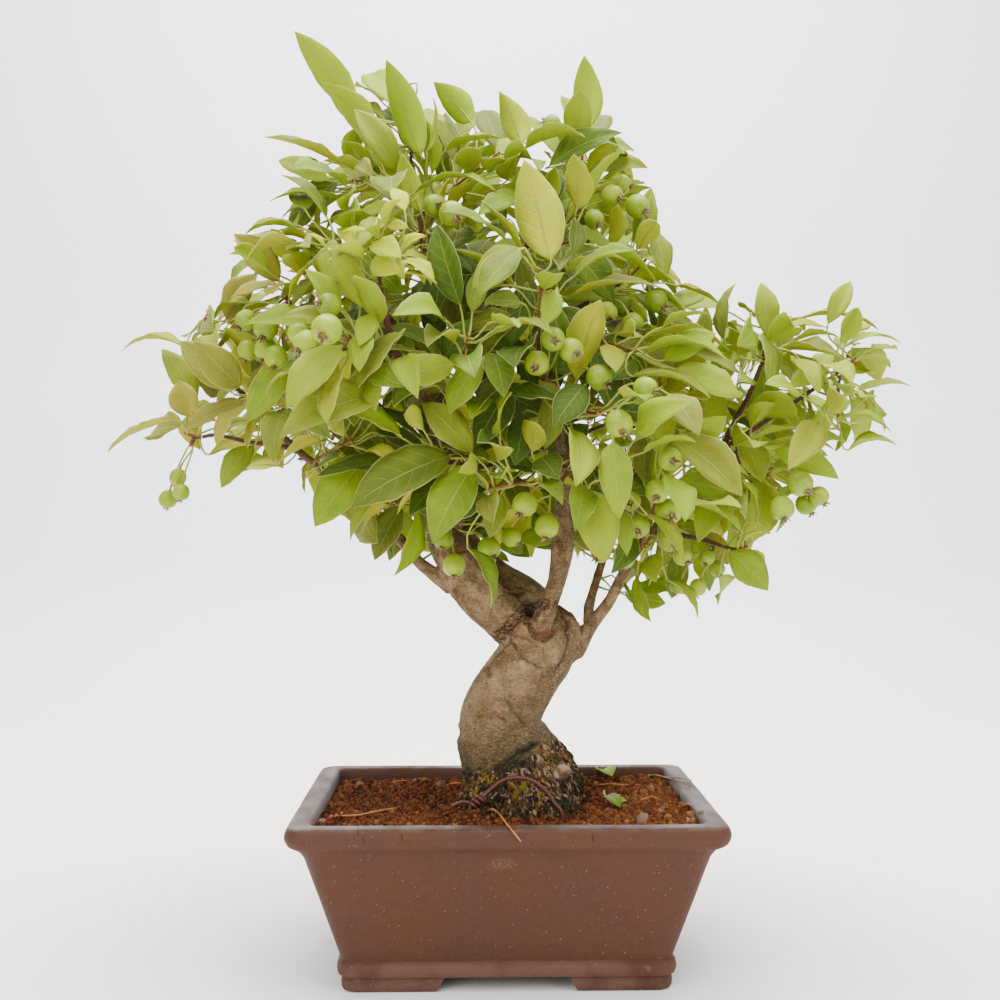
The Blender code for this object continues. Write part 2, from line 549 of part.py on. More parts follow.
LEAVES = (
    LeafPlan("shoot_crown_tip", (356, 109, -4), (295, 31, -10), 19, "under"),
    LeafPlan("shoot_crown_tip", (421, 156, -10), (386, 59, -14), 19, "under"),
    LeafPlan("shoot_crown_tip", (395, 173, -20), (354, 109, -28), 18, "front"),
    LeafPlan("shoot_crown_left", (344, 166, -26), (265, 137, -34), 17, "up"),
    LeafPlan("shoot_crown_left", (343, 200, -28), (270, 200, -38), 17, "up"),
    LeafPlan("shoot_crown_right", (471, 122, -2), (434, 82, 4), 18, "under"),
    LeafPlan("shoot_crown_right", (446, 150, -14), (503, 136, -30), 15, "up"),
    LeafPlan("shoot_crown_right", (523, 143, -8), (500, 92, -2), 19, "under"),
    LeafPlan("shoot_crown_front", (415, 192, -38), (497, 188, -54), 17, "up"),
    LeafPlan("shoot_apex_right", (592, 125, -4), (584, 56, 0), 18, "under"),
    LeafPlan("shoot_apex_right", (549, 166, -18), (622, 132, -30), 18, "front"),
    LeafPlan("shoot_apex_right", (602, 172, -10), (648, 168, -18), 14, "front"),
    LeafPlan("shoot_centre_high", (551, 260, -72), (524, 159, -66), 26, "under"),
    LeafPlan("shoot_upper_right", (567, 298, -54), (664, 288, -68), 17, "up"),
    LeafPlan("shoot_upper_right", (566, 273, -50), (627, 260, -62), 15, "up"),
    LeafPlan("shoot_left_upper", (279, 282, -44), (234, 233, -52), 20, "front"),
    LeafPlan("shoot_far_left_up", (226, 319, -14), (256, 273, -22), 19, "front"),
    LeafPlan("shoot_far_left_up", (186, 347, -12), (121, 348, -14), 16, "up"),
    LeafPlan("shoot_far_left", (174, 419, -12), (106, 450, -4), 17, "up"),
    LeafPlan("shoot_far_left", (189, 417, -14), (179, 380, -16), 19, "front"),
    LeafPlan("shoot_left_mid", (254, 446, -18), (221, 488, -22), 15, "front"),
    LeafPlan("shoot_left_mid", (291, 361, -52), (248, 422, -64), 20, "front"),
    LeafPlan("shoot_left_front", (341, 347, -110), (286, 409, -124), 20, "front"),
    LeafPlan("shoot_left_front", (383, 396, -92), (279, 437, -112), 26, "front"),
    LeafPlan("shoot_left_low", (368, 455, -56), (314, 526, -64), 26, "front"),
    LeafPlan("shoot_front_left", (450, 456, -74), (350, 506, -90), 27, "front"),
    LeafPlan("shoot_front_left", (473, 467, -72), (432, 542, -82), 25, "front"),
    LeafPlan("shoot_low_left", (401, 506, -38), (374, 560, -44), 18, "front"),
    LeafPlan("shoot_low_left", (417, 509, -36), (396, 576, -40), 17, "right"),
    LeafPlan("shoot_low_centre", (468, 548, -62), (491, 609, -58), 17, "right"),
    LeafPlan("shoot_low_front", (589, 490, -80), (604, 563, -88), 24, "front"),
    LeafPlan("shoot_right_low", (673, 437, -64), (743, 497, -78), 25, "front"),
    LeafPlan("shoot_right_low", (668, 580, -22), (698, 618, -26), 14, "right"),
    LeafPlan("shoot_right_low", (637, 576, -16), (650, 622, -20), 14, "left"),
    LeafPlan("shoot_centre_right", (632, 376, -68), (711, 395, -84), 17, "up"),
    LeafPlan("shoot_centre_right", (642, 354, -62), (729, 358, -80), 17, "up"),
    LeafPlan("shoot_right_drop", (729, 551, -28), (769, 590, -34), 20, "front"),
    LeafPlan("shoot_right_up", (724, 340, -20), (734, 283, -16), 14, "left"),
    LeafPlan("shoot_right_up", (766, 336, -22), (761, 282, -20), 15, "front"),
    LeafPlan("shoot_right_up", (781, 349, -24), (843, 358, -38), 21, "up"),
    LeafPlan("shoot_right_mid", (774, 450, -40), (839, 479, -52), 17, "front"),
    LeafPlan("shoot_right_mid", (772, 478, -38), (776, 533, -44), 14, "right"),
    LeafPlan("shoot_right_mid", (744, 441, -34), (763, 482, -42), 18, "front"),
    LeafPlan("shoot_far_right", (828, 324, -26), (851, 281, -22), 13, "front"),
    LeafPlan("shoot_far_right", (846, 346, -30), (901, 341, -36), 14, "up"),
    LeafPlan("shoot_far_right", (858, 391, -30), (911, 383, -20), 14, "up"),
    LeafPlan("shoot_far_right", (840, 417, -42), (892, 430, -46), 14, "up"),
    LeafPlan("shoot_far_right", (848, 450, -46), (897, 444, -52), 13, "up"),
)


@dataclass
class BunchPlan:
    """A bunch of fruit: the stem it hangs from, and each fruit's middle and width in mm."""

    name: str
    on: str
    share: float
    fruits: list[tuple[Sight, float]]


BUNCHES = (
    BunchPlan("fruit_apex", "shoot_apex_right", 0.55, [((552, 124, 0), 10.5)]),
    BunchPlan("fruit_crown", "shoot_crown_front", 0.85, [((435, 206, -50), 12.5), ((452, 214, -58), 13.5)]),
    BunchPlan("fruit_high", "shoot_upper_right", 0.4, [((532, 231, -48), 13.0)]),
    BunchPlan("fruit_right_shoulder", "crown_right", 0.95, [((612, 195, -24), 11.5), ((637, 206, -32), 13.0),
                                                            ((594, 219, -34), 10.5), ((621, 184, -8), 11.0)]),
    BunchPlan("fruit_shoulder", "shoulder", 0.9, [((656, 301, -36), 12.5), ((633, 323, -38), 11.0),
                                                  ((607, 312, -40), 11.0), ((622, 306, -22), 11.0)]),
    BunchPlan("fruit_left_front", "shoot_left_front", 0.75,
              [((327, 329, -124), 14.5), ((307, 343, -112), 12.5), ((299, 334, -96), 11.0),
               ((329, 305, -108), 11.5)]),
    BunchPlan("fruit_left_upper", "shoot_left_upper", 0.85, [((266, 328, -62), 12.5), ((246, 320, -52), 11.0),
                                                             ((266, 349, -54), 12.0), ((248, 350, -42), 11.0),
                                                             ((276, 357, -70), 12.0)]),
    BunchPlan("fruit_centre", "shoot_centre_high", 0.2, [((553, 339, -86), 12.0), ((571, 350, -78), 12.5),
                                                         ((537, 363, -78), 12.5), ((599, 377, -76), 13.0)]),
    BunchPlan("fruit_centre_right", "shoot_centre", 0.8, [((645, 388, -90), 11.5), ((619, 423, -104), 13.2)]),
    BunchPlan("fruit_right_low", "shoot_right_low", 0.85, [((670, 459, -76), 12.0), ((657, 491, -72), 12.0)]),
    BunchPlan("fruit_front", "front", 0.7, [((580, 455, -58), 10.5), ((605, 458, -50), 12.0),
                                            ((525, 504, -60), 12.8), ((547, 526, -54), 12.8)]),
    BunchPlan("fruit_low_left", "left_limb", 0.96, [((489, 548, -42), 12.3), ((511, 537, -32), 10.5),
                                                    ((454, 565, -40), 12.0), ((444, 540, -34), 10.5)]),
    BunchPlan("fruit_low_right", "right", 0.43, [((631, 501, -44), 10.5), ((638, 526, -52), 12.5),
                                                          ((624, 557, -38), 12.0), ((601, 552, -34), 11.0),
                                                          ((669, 511, -62), 13.5), ((670, 539, -54), 13.0),
                                                          ((682, 556, -40), 10.0)]),
    BunchPlan("fruit_drop", "right_drop", 0.85, [((707, 557, -26), 8.5), ((717, 568, -14), 9.0),
                                                 ((698, 587, -22), 9.5), ((678, 586, -12), 9.0)]),
    BunchPlan("fruit_far_right", "shoot_right_mid", 0.9, [((800, 483, -54), 13.5), ((782, 508, -54), 13.0),
                                                          ((806, 504, -40), 11.5), ((819, 496, -46), 10.5)]),
    BunchPlan("fruit_far_left", "shoot_far_left", 0.5, [((178, 477, -6), 9.5), ((181, 492, -14), 9.5),
                                                        ((168, 499, -4), 10.5)]),
    BunchPlan("fruit_back_left", "shoot_back_left", 0.3, [((300, 432, 106), 12.5), ((318, 440, 118), 12.0),
                                                          ((306, 452, 96), 11.0)]),
    BunchPlan("fruit_back_right", "shoot_back_right", 0.26, [((612, 424, 112), 12.5), ((598, 432, 124), 12.0),
                                                            ((622, 440, 104), 11.5)]),
)

# The crown's outline in the front view: no leaf that the rule grows shows past it
CROWN_OUTLINE = (
    (300, 60), (352, 66), (392, 78), (432, 84), (470, 96), (505, 92), (545, 112), (588, 66), (616, 118),
    (650, 165), (662, 235), (684, 262), (700, 282), (718, 300), (742, 318), (766, 300), (818, 320),
    (852, 296), (896, 338), (902, 384), (888, 436), (846, 452), (828, 480), (808, 500), (772, 520),
    (770, 578), (716, 600), (660, 618), (628, 604), (604, 562), (566, 556), (530, 560), (498, 580),
    (470, 580), (430, 566), (398, 570), (366, 552), (316, 520), (290, 470), (258, 488), (222, 486),
    (196, 458), (130, 446), (172, 404), (178, 384), (128, 346), (206, 322), (222, 286), (222, 240),
    (272, 218), (272, 186), (272, 140), (330, 150), (352, 122), (300, 60),
)

UP = Vector((0, 0, 1))


@dataclass
class Room:
    """What already stands in the crown, so that nothing new crosses it."""

    taken: list[tuple[BVHTree, Vector, float, str]] = field(default_factory=list)

    def add(self, solid: Solid, owner: str) -> None:
        """Take the room of one more solid."""
        self.taken.append((BVHTree.FromPolygons(*solid), *span(solid), owner))

    def free(self, piece: Leaf | Fruit, owner: str) -> bool:
        """Whether a leaf or a fruit would stand clear of all the rest, its own stem's first stretch apart."""
        return self.clear(closed(piece, TEST_PAD), closed(piece, TEST_PAD, STEM_CLEAR), owner)

    def clear(self, whole: Solid, past_stem: Solid, owner: str) -> bool:
        """Whether a solid crosses nothing, and its part past the stem nothing of the same owner either."""
        middle, reach = span(whole)
        trees = {True: BVHTree.FromPolygons(*past_stem), False: BVHTree.FromPolygons(*whole)}
        for tree, centre, radius, holder in self.taken:
            if (centre - middle).length < radius + reach and trees[holder == owner].overlap(tree):
                return False
        return True


def span(solid: Solid) -> tuple[Vector, float]:
    """The middle of a solid's corners and how far they reach from it."""
    middle = sum(solid[0], Vector()) / len(solid[0])
    return middle, max((vert - middle).length for vert in solid[0])


def inside_outline(across: float, down: float) -> bool:
    """Whether a place in the front view lies within the crown's outline."""
    inside = False
    for (x0, y0), (x1, y1) in zip(CROWN_OUTLINE, CROWN_OUTLINE[1:]):
        if (y0 > down) != (y1 > down) and across < x0 + (x1 - x0) * (down - y0) / (y1 - y0):
            inside = not inside
    return inside


def inside_crown(point: Vector) -> bool:
    """Whether a point lies within the crown, from the front and in its depth."""
    part = [(point[i] - CROWN_CENTRE[i]) / CROWN_HALF[i] for i in range(3)]
    return sum(share * share for share in part) < 1 and abs(part[1]) < 1 and inside_outline(*in_view(point))


def nudges(step: float, count: int) -> list[float]:
    """Zero, then steps to and fro that grow."""
    return [0.0] + [sign * step * (i + 1) for i in range(count) for sign in (1, -1)]


def seat(holder: Stem, share: float, side: Vector, radius: float) -> Vector:
    """Where a stem of the radius starts that leaves a holder's side: just off its surface."""
    point = holder.at(share)[0]
    tree = BVHTree.FromPolygons(*holder.solid())
    high = 0.0
    for probe in [point, *ring_of(point, side, radius, 0.0, 6)]:
        hit = tree.ray_cast(probe + side * SEAT_PROBE, -side)[0]
        if hit:
            high = max(high, (hit - point).dot(side))
    return point + side * (high + GAP)


def shoot_twigs(plan: ShootPlan, stems: dict[str, Stem], shown: int) -> list[Twig]:
    """The stems of a shoot: it leaves a branch's end along it, or its side square to it, and may fork."""
    parent = stems[plan.on]
    point, along = parent.at(plan.share)
    targets = [target if isinstance(target, Vector) else seen(target) for target in plan.points]
    lead, thick, start = along, parent.radius(1.0), point + along * GAP
    if plan.share < 1:
        lead, thick = square_to(along, targets[0] - point), SHOOT_RADIUS
        start = seat(parent, plan.share, lead, thick)
    line = [start, *smooth([start + lead * SHOOT_LEAD, *targets], 2)]
    nodes = math.ceil((plan.leaves + shown) / (2 if plan.fork else 1) / LEAVES_A_NODE)
    main = Twig(plan.name, [], [thick, TIP_RADIUS], line=line, nodes=nodes)
    if not plan.fork:
        return [main]
    targets = [target if isinstance(target, Vector) else seen(target) for target in plan.fork]
    side = min((place for place in main.free_sides() if place[0] == 0),
               key=lambda place: -main.side(*place)[1].dot((targets[0] - main.side(*place)[0]).normalized()))
    foot, out = main.side(*side)
    line = smooth([foot + out * FORK_LEAD, *targets], 2)
    fork = Twig(plan.name, [], [SHOOT_RADIUS * 0.8, TIP_RADIUS], line=line, nodes=nodes)
    main.taken[side] = fork
    return [main, fork]


def shown_leaf(plan: LeafPlan, foot: Vector, nudge: float, number: int) -> Leaf:
    """A leaf that shows in the front view, moved along its line of sight by the nudge."""
    base, tip = [seen((across, down, depth + nudge)) for across, down, depth in (plan.base, plan.tip)]
    return Leaf(foot, base, tip, FACINGS[plan.facing], plan.width * MM, 0.05 + 0.05 * (number % 3),
                0.22 + 0.1 * (number % 4), number * 1.7)


def grown_leaf(twig: Twig, place: tuple[int, int], size: float, draw: random.Random) -> Leaf:
    """A leaf by the rule: out from its stem, then over towards the crown's outside and down."""
    along = twig.at(sum(twig.spread()[place[0]]) / 2)[1]
    foot, out = twig.side(*place)
    out = (out + along.cross(out) * draw.uniform(-0.5, 0.5)).normalized()
    away = (Matrix.Diagonal((1, 1, 0.6)) @ (foot - CROWN_CENTRE)).normalized()
    petiole = (along * draw.uniform(0.2, 0.9) + out + UP * 0.25 + away * 0.2).normalized()
    base = foot + petiole * draw.uniform(13, 25) * size * MM
    heading = petiole + out * 0.3 + away * 0.45 - UP * draw.uniform(0.0, 0.75)
    length = draw.uniform(35, 50) * size * MM
    face = UP + away * 0.55 + Vector([draw.uniform(-0.5, 0.5) for _ in range(3)])
    return Leaf(foot, base, base + heading.normalized() * length, face, length * draw.uniform(0.42, 0.5),
                draw.uniform(0.03, 0.13), draw.uniform(0.2, 0.55), draw.uniform(0, math.tau))


def grow_shoot(plan: ShootPlan, twigs: list[Twig], room: Room, draw: random.Random) -> None:
    """The leaves that the rule gives a shoot, each on a side of a node and where there is room for it."""
    places = [(twig, place) for twig in twigs for place in twig.free_sides()]
    draw.shuffle(places)
    left = plan.leaves
    for twig, place in places:
        for _ in range(LEAF_TRIES):
            leaf = grown_leaf(twig, place, plan.size, draw)
            inside = all(inside_crown(leaf.point(share, 0, 0)) for share in (0.0, 0.6, 1.0))
            if inside and room.free(leaf, plan.name):
                room.add(closed(leaf), plan.name)
                twig.taken[place] = leaf
                left -= 1
                break
        if not left:
            return


def bunch_spur(plan: BunchPlan, share: float, stems: dict[str, Stem]) -> Twig:
    """The short spur that a bunch hangs from, out of the side of its stem at a share of the way along."""
    holder = stems[plan.on]
    point, along = holder.at(share)
    middle = sum((seen(sight) for sight, _ in plan.fruits), Vector()) / len(plan.fruits)
    side = square_to(along, middle - point)
    start = seat(holder, share, side, SPUR_RADIUS)
    nodes = math.ceil(len(plan.fruits) / FRUITS_A_NODE)
    return Twig(plan.name, [], [SPUR_RADIUS, SPUR_RADIUS * 0.9], nodes=nodes,
                line=[start, start + side * nodes * SPUR_NODE])


def hang_bunch(plan: BunchPlan, spur: Twig, room: Room) -> None:
    """The fruits of a bunch, each moved along its line of sight to where there is room."""
    for (across, down, depth), width in plan.fruits:
        for nudge in nudges(2.5, 10):
            centre = seen((across, down, depth + nudge))
            place = best_side([spur], centre)[1]
            fruit = Fruit(spur.side(*place)[0], centre, width / 2 * MM)
            if room.free(fruit, plan.name):
                break
        room.add(closed(fruit), plan.name)
        spur.taken[place] = fruit


def trunk_solid() -> Solid:
    """The lower trunk, from the root ball in the soil up to its rounded head."""
    middles = [mm(*ring[:3]) for ring in TRUNK_RINGS]
    verts = []
    side = Vector((1, 0, 0))
    for i, (_, _, _, radius, swell) in enumerate(TRUNK_RINGS):
        along = (middles[min(i + 1, len(middles) - 1)] - middles[i - 1]).normalized() if i > 1 else UP
        side = square_to(along, side)
        other = along.cross(side)
        verts += [middles[i] + side * x + other * y for x, y in root_outline(radius * MM, swell, 0.0)]
    return verts, skin(len(TRUNK_RINGS), TRUNK_SIDES)


def root_outline(radius: float, swell: float, spare: float) -> list[tuple[float, float]]:
    """A ring of the trunk, swollen where its roots spread, with some spare room round it."""
    outline = []
    for k in range(TRUNK_SIDES):
        turn = math.tau * k / TRUNK_SIDES
        reach = radius * (1 + swell * math.cos(ROOT_LOBES * (turn - ROOT_TURN))) + spare
        outline.append((reach * math.cos(turn), reach * math.sin(turn)))
    return outline


def wire_solids() -> list[Solid]:
    """The tie wire: one wire over the roots with both legs in the soil, and its end wound round it."""
    arc = [seen(sight) for sight in WIRE_ARC]
    legs = [Vector((end.x, end.y, WIRE_DEEP)) for end in (arc[0], arc[-1])]
    line = [legs[0], *arc, legs[1]]
    wound = []
    start, end = seen(KNOT_START), seen(KNOT_END)
    axis = (end - start).normalized()
    side = square_to(axis, UP)
    other = axis.cross(side)
    steps = KNOT_TURNS * 5
    for step in range(steps + 1):
        turn = math.tau * step / 5
        wound.append(start + (end - start) * step / steps
                     + KNOT_REACH * (side * math.cos(turn) + other * math.sin(turn)))
    wound.append(seen(WIRE_TAIL))
    return [tube(line, [WIRE_RADIUS] * len(line), 5), tube(wound, [WIRE_RADIUS * 0.95] * len(wound), 4)]


WIRE_DEEP = 0.066
WIRE_ARC = ((562, 816, -42.5), (554, 803, -42), (545, 790, -41), (532, 780.5, -39.5), (519, 777.5, -38.5),
            (504, 780, -38.5), (491, 789, -39.5), (482, 798, -41), (474, 804.5, -42.5), (470, 812, -43.5))
KNOT_START = (484, 797, -41.5)
KNOT_END = (472, 806, -43)
KNOT_TURNS = 2
KNOT_REACH = 1.9 * MM
WIRE_TAIL = (452, 806.5, -45)


def rounded(half_x: float, half_y: float, radius: float, height: float, steps: int = 3) -> list[Vector]:
    """A ring round a rectangle with round corners, turning left."""
    ring = []
    for corner in range(4):
        across = (half_x - radius) * (1 if corner in (0, 3) else -1)
        deep = (half_y - radius) * (1 if corner in (0, 1) else -1)
        for step in range(steps + 1):
            turn = math.pi / 2 * (corner + step / steps)
            ring.append(Vector((across + radius * math.cos(turn), deep + radius * math.sin(turn), height)))
    return ring


def rings_solid(rings: list[list[Vector]]) -> Solid:
    """A closed body over rings of the same number of points, the first facing down."""
    return [vert for ring in rings for vert in ring], skin(len(rings), len(rings[0]))


def pot_inside(height: float) -> tuple[float, float]:
    """Half the pot's inner length and depth at a height."""
    share = (height - FLOOR_TOP) / (POT_HEIGHT - FLOOR_TOP)
    inset = RIM_WIDTH + (1 - share) * (BODY_TAPER + 0.0006)
    return POT_LENGTH / 2 - inset, POT_DEPTH / 2 - inset


def pot_solid() -> Solid:
    """The pot before it is cut: its feet's block, base roll, tapered body, rim and inside."""
    half_x, half_y = POT_LENGTH / 2, POT_DEPTH / 2
    low = POT_HEIGHT - RIM_DROP
    body = RIM_OVERHANG + BODY_TAPER
    outside = [(body + 0.0006, 0.0, 0.008), (body + 0.0006, FOOT_HEIGHT, 0.008),
               (body - 0.6 * ROLL_PROUD, FOOT_HEIGHT + 0.0004, 0.010), (body - ROLL_PROUD, 0.0108, 0.011),
               (body - 0.8 * ROLL_PROUD, 0.0138, 0.011), (body, ROLL_TOP, 0.009), (RIM_OVERHANG, low, 0.008),
               (0.0020, low + 0.0020, 0.010), (0.0, POT_HEIGHT - 0.0056, 0.011),
               (0.0008, POT_HEIGHT - 0.0018, 0.010), (0.0028, POT_HEIGHT, 0.0085),
               (RIM_WIDTH - 0.0008, POT_HEIGHT - 0.0004, 0.006)]
    rings = [rounded(half_x - inset, half_y - inset, round_by, height) for inset, height, round_by in outside]
    rings.append(rounded(*pot_inside(POT_HEIGHT - 0.0016), 0.006, POT_HEIGHT - 0.0016))
    rings.append(rounded(*pot_inside(FLOOR_TOP), 0.006, FLOOR_TOP))
    return rings_solid(rings)


def slot_solid(width: float, reach: float, across: bool) -> Solid:
    """A cutter for the opening between two feet: wider at the ground, and right through the pot."""
    top = FOOT_HEIGHT
    outline = [(-width / 2 - FOOT_END_SLANT, -MM), (width / 2 + FOOT_END_SLANT, -MM), (width / 2, top),
               (-width / 2, top)]
    if across:
        return rings_solid([[Vector((x, y, z)) for y, z in outline] for x in (-reach, reach)])
    return rings_solid([[Vector((x, y, z)) for x, z in outline] for y in (reach, -reach)])


def soil_solid() -> Solid:
    """The soil's block in the pot, its top in a relief of lumps, lower at the back and the left."""
    bottom = FLOOR_TOP + GAP + MESH_THICKNESS + GAP
    half_x, half_y = pot_inside(bottom)
    rings = [rounded(half_x - GAP, half_y - GAP, 0.006, bottom, 4)]
    top_x, top_y = pot_inside(SOIL_TOP - SOIL_FALL)
    for share in (1.0, 0.86, 0.7, 0.52, 0.3):
        ring = rounded((top_x - 2 * GAP) * share, (top_y - 2 * GAP) * share, 0.0065 * share, 0.0, 4)
        for vert in ring:
            vert.z = SOIL_TOP - SOIL_FALL * (0.5 + 0.3 * vert.y / top_y - 0.2 * vert.x / top_x)
            if share < 1:
                wave = math.sin(vert.x * 640 + vert.y * 210) + math.sin(vert.y * 720 - vert.x * 330)
                vert.z += SOIL_LUMP * wave
        rings.append(ring)
    return rings_solid(rings)


def prism_solid(outline: list[tuple[float, float]], low: float, high: float, middle: Vector) -> Solid:
    """An upright prism over an outline round a middle."""
    return rings_solid([[Vector((middle.x + x, middle.y + y, z)) for x, y in outline] for z in (low, high)])


def circle(radius: float, sides: int) -> list[tuple[float, float]]:
    """The points of a round outline."""
    turns = [math.tau * k / sides for k in range(sides)]
    return [(radius * math.cos(turn), radius * math.sin(turn)) for turn in turns]


def mesh_solid(middle_x: float) -> Solid:
    """A piece of coarse plastic mesh over a drainage hole: a flat plate with square openings."""
    cells = 5
    low = FLOOR_TOP + GAP
    places = [MESH_SIDE * (k / cells - 0.5) for k in range(cells + 1)]
    index = {}
    verts = []
    for layer, height in enumerate((low, low + MESH_THICKNESS)):
        for i, x in enumerate(places):
            for j, y in enumerate(places):
                index[layer, i, j] = len(verts)
                verts.append(Vector((middle_x + x, y, height)))

    def filled(i: int, j: int) -> bool:
        return 0 <= i < cells and 0 <= j < cells and not (i % 2 and j % 2)

    faces = []
    for i in range(cells):
        for j in range(cells):
            if not filled(i, j):
                continue
            corners = [(i, j), (i + 1, j), (i + 1, j + 1), (i, j + 1)]
            faces.append(tuple(index[1, a, b] for a, b in corners))
            faces.append(tuple(index[0, a, b] for a, b in reversed(corners)))
            for side, (step_i, step_j) in enumerate(((0, -1), (1, 0), (0, 1), (-1, 0))):
                if not filled(i + step_i, j + step_j):
                    a, b = corners[side], corners[(side + 1) % 4]
                    faces.append((index[0, *a], index[0, *b], index[1, *b], index[1, *a]))
    return verts, faces


@dataclass(frozen=True)
class Finish:
    """A surface: its colour, how rough it is and whether it is metal."""

    name: str
    colour: tuple[float, float, float]
    roughness: float
    metallic: float = 0.0

    def material(self) -> bpy.types.Material:
        """The finish as a material, made once."""
        if self.name in bpy.data.materials:
            return bpy.data.materials[self.name]
        made = bpy.data.materials.new(self.name)
        made.use_nodes = True
        shader = made.node_tree.nodes["Principled BSDF"]
        shader.inputs["Base Color"].default_value = (*self.colour, 1)
        shader.inputs["Roughness"].default_value = self.roughness
        shader.inputs["Metallic"].default_value = self.metallic
        made.diffuse_color = (*self.colour, 1)
        return made


CLAY = Finish("brown clay", (0.17, 0.07, 0.045), 0.55)
SOIL = Finish("red-brown soil", (0.25, 0.09, 0.035), 0.95)
BARK = Finish("bark", (0.36, 0.26, 0.16), 0.85)
WIRE = Finish("anodised wire", (0.30, 0.11, 0.08), 0.35, 0.8)
MESH = Finish("black mesh", (0.03, 0.03, 0.03), 0.6)
LEAF = Finish("leaf", (0.17, 0.32, 0.05), 0.5)
YOUNG = Finish("young leaf", (0.42, 0.60, 0.12), 0.5)
FRUIT = Finish("green fruit", (0.33, 0.46, 0.10), 0.4)


def place(name: str, solid: Solid, finish: Finish) -> bpy.types.Object:
    """A solid as a named object with its finish."""
    mesh = bpy.data.meshes.new(name)
    mesh.from_pydata([tuple(vert) for vert in solid[0]], [], solid[1])
    mesh.materials.append(finish.material())
    made = bpy.data.objects.new(name, mesh)
    bpy.context.scene.collection.objects.link(made)
    return made


def combine(body: bpy.types.Object, solids: list[Solid], operation: str, solver: str = "EXACT") -> None:
    """Join solids to a body, or cut them from it, by one Boolean on a collection."""
    group = bpy.data.collections.new("pieces")
    bpy.context.scene.collection.children.link(group)
    for solid in solids:
        piece = place("piece", solid, CLAY)
        bpy.context.scene.collection.objects.unlink(piece)
        group.objects.link(piece)
        piece.data.materials.clear()
        piece.data.materials.append(body.data.materials[0])
    union = body.modifiers.new("combine", "BOOLEAN")
    union.operation = operation
    union.operand_type = "COLLECTION"
    union.collection = group
    union.solver = solver
    graph = bpy.context.evaluated_depsgraph_get()
    made = bpy.data.meshes.new_from_object(body.evaluated_get(graph))
    body.modifiers.clear()
    body.data = made
    body.data.name = body.name
    for piece in list(group.objects):
        bpy.data.objects.remove(piece)
    bpy.data.collections.remove(group)


def make_pot() -> None:
    """The pot, with the openings between its feet and its two drainage holes."""
    pot = place("pot", pot_solid(), CLAY)
    body = RIM_OVERHANG + BODY_TAPER + FOOT_WALL
    recess = rings_solid([rounded(POT_LENGTH / 2 - body, POT_DEPTH / 2 - body, 0.004, z, 2)
                          for z in (-MM, FOOT_HEIGHT)])
    drains = [prism_solid(circle(DRAIN_RADIUS, 12), -MM, POT_HEIGHT, Vector((side * DRAIN_SPREAD, 0)))
              for side in (-1, 1)]
    slots = [slot_solid(FRONT_FOOT_GAP, POT_DEPTH, False), slot_solid(SIDE_FOOT_GAP, POT_LENGTH, True)]
    combine(pot, [recess, *slots, *drains], "DIFFERENCE")


def make_soil() -> None:
    """The soil, with plain holes where the roots and the wire's two legs stand in it."""
    soil = place("soil", soil_solid(), SOIL)
    above = POT_HEIGHT * 1.2
    roots = root_outline(ROOT_RADIUS, TRUNK_RINGS[0][4], 1.3 * GAP)
    holes = [prism_solid(roots, ROOT_DEEP - GAP, above, ROOT_CENTRE)]
    for end in (WIRE_ARC[0], WIRE_ARC[-1]):
        leg = circle(WIRE_RADIUS + 1.5 * GAP, 6)
        holes.append(prism_solid(leg, WIRE_DEEP - GAP, above, seen(end).to_2d()))
    combine(soil, holes, "DIFFERENCE")


def make_wood() -> None:
    """The tree's wood: root ball, trunk, limbs and branches in one body."""
    wood = place("wood", trunk_solid(), BARK)
    combine(wood, [branch.solid() for branch in BRANCHES], "UNION")


def make_crown() -> None:
    """The leafy shoots and the bunches of fruit, each a body of its own."""
    draw = random.Random(SEED)
    room = Room()
    room.add(trunk_solid(), "wood")
    stems = {branch.name: branch for branch in BRANCHES}
    for branch in BRANCHES:
        room.add(branch.solid(), "wood")
    for solid in wire_solids():
        room.add(solid, "wire")
    shoots = {}
    for plan in SHOOTS:
        shown = sum(leaf.shoot == plan.name for leaf in LEAVES)
        shoots[plan.name] = shoot_twigs(plan, stems, shown)
        stems[plan.name] = shoots[plan.name][0]
        for twig in shoots[plan.name]:
            room.add(twig.solid(), plan.name)
    spurs = {}
    for plan in BUNCHES:
        for nudge in nudges(0.04, 8):
            spurs[plan.name] = bunch_spur(plan, min(max(plan.share + nudge, 0.05), 0.98), stems)
            solid = spurs[plan.name].solid()
            if room.clear(solid, solid, plan.name):
                break
        room.add(spurs[plan.name].solid(), plan.name)
        hang_bunch(plan, spurs[plan.name], room)
    for number, plan in enumerate(LEAVES):
        for nudge in nudges(3, 10):
            twig, spot = best_side(shoots[plan.shoot], seen((*plan.base[:2], plan.base[2] + nudge)))
            leaf = shown_leaf(plan, twig.side(*spot)[0], nudge, number)
            if room.free(leaf, plan.shoot):
                room.add(closed(leaf), plan.shoot)
                twig.taken[spot] = leaf
                break
    for plan in SHOOTS:
        grow_shoot(plan, shoots[plan.name], room, draw)
    for twig in [twigs[0] for twigs in shoots.values()] + list(spurs.values()):
        body = Body()
        twig.build(body)
        finish = FRUIT if twig.name in spurs else YOUNG if twig.name == "shoot_young" else LEAF
        place(twig.name, (body.points, body.faces), finish)


def main() -> None:
    """Clear the scene and make every piece."""
    for old in list(bpy.data.objects):
        bpy.data.objects.remove(old)
    make_pot()
    for name, side in (("drainage_mesh_left", -1), ("drainage_mesh_right", 1)):
        place(name, mesh_solid(side * DRAIN_SPREAD), MESH)
    make_soil()
    make_wood()
    first, second = wire_solids()
    combine(place("tie_wire", first, WIRE), [second], "UNION")
    make_crown()


main()
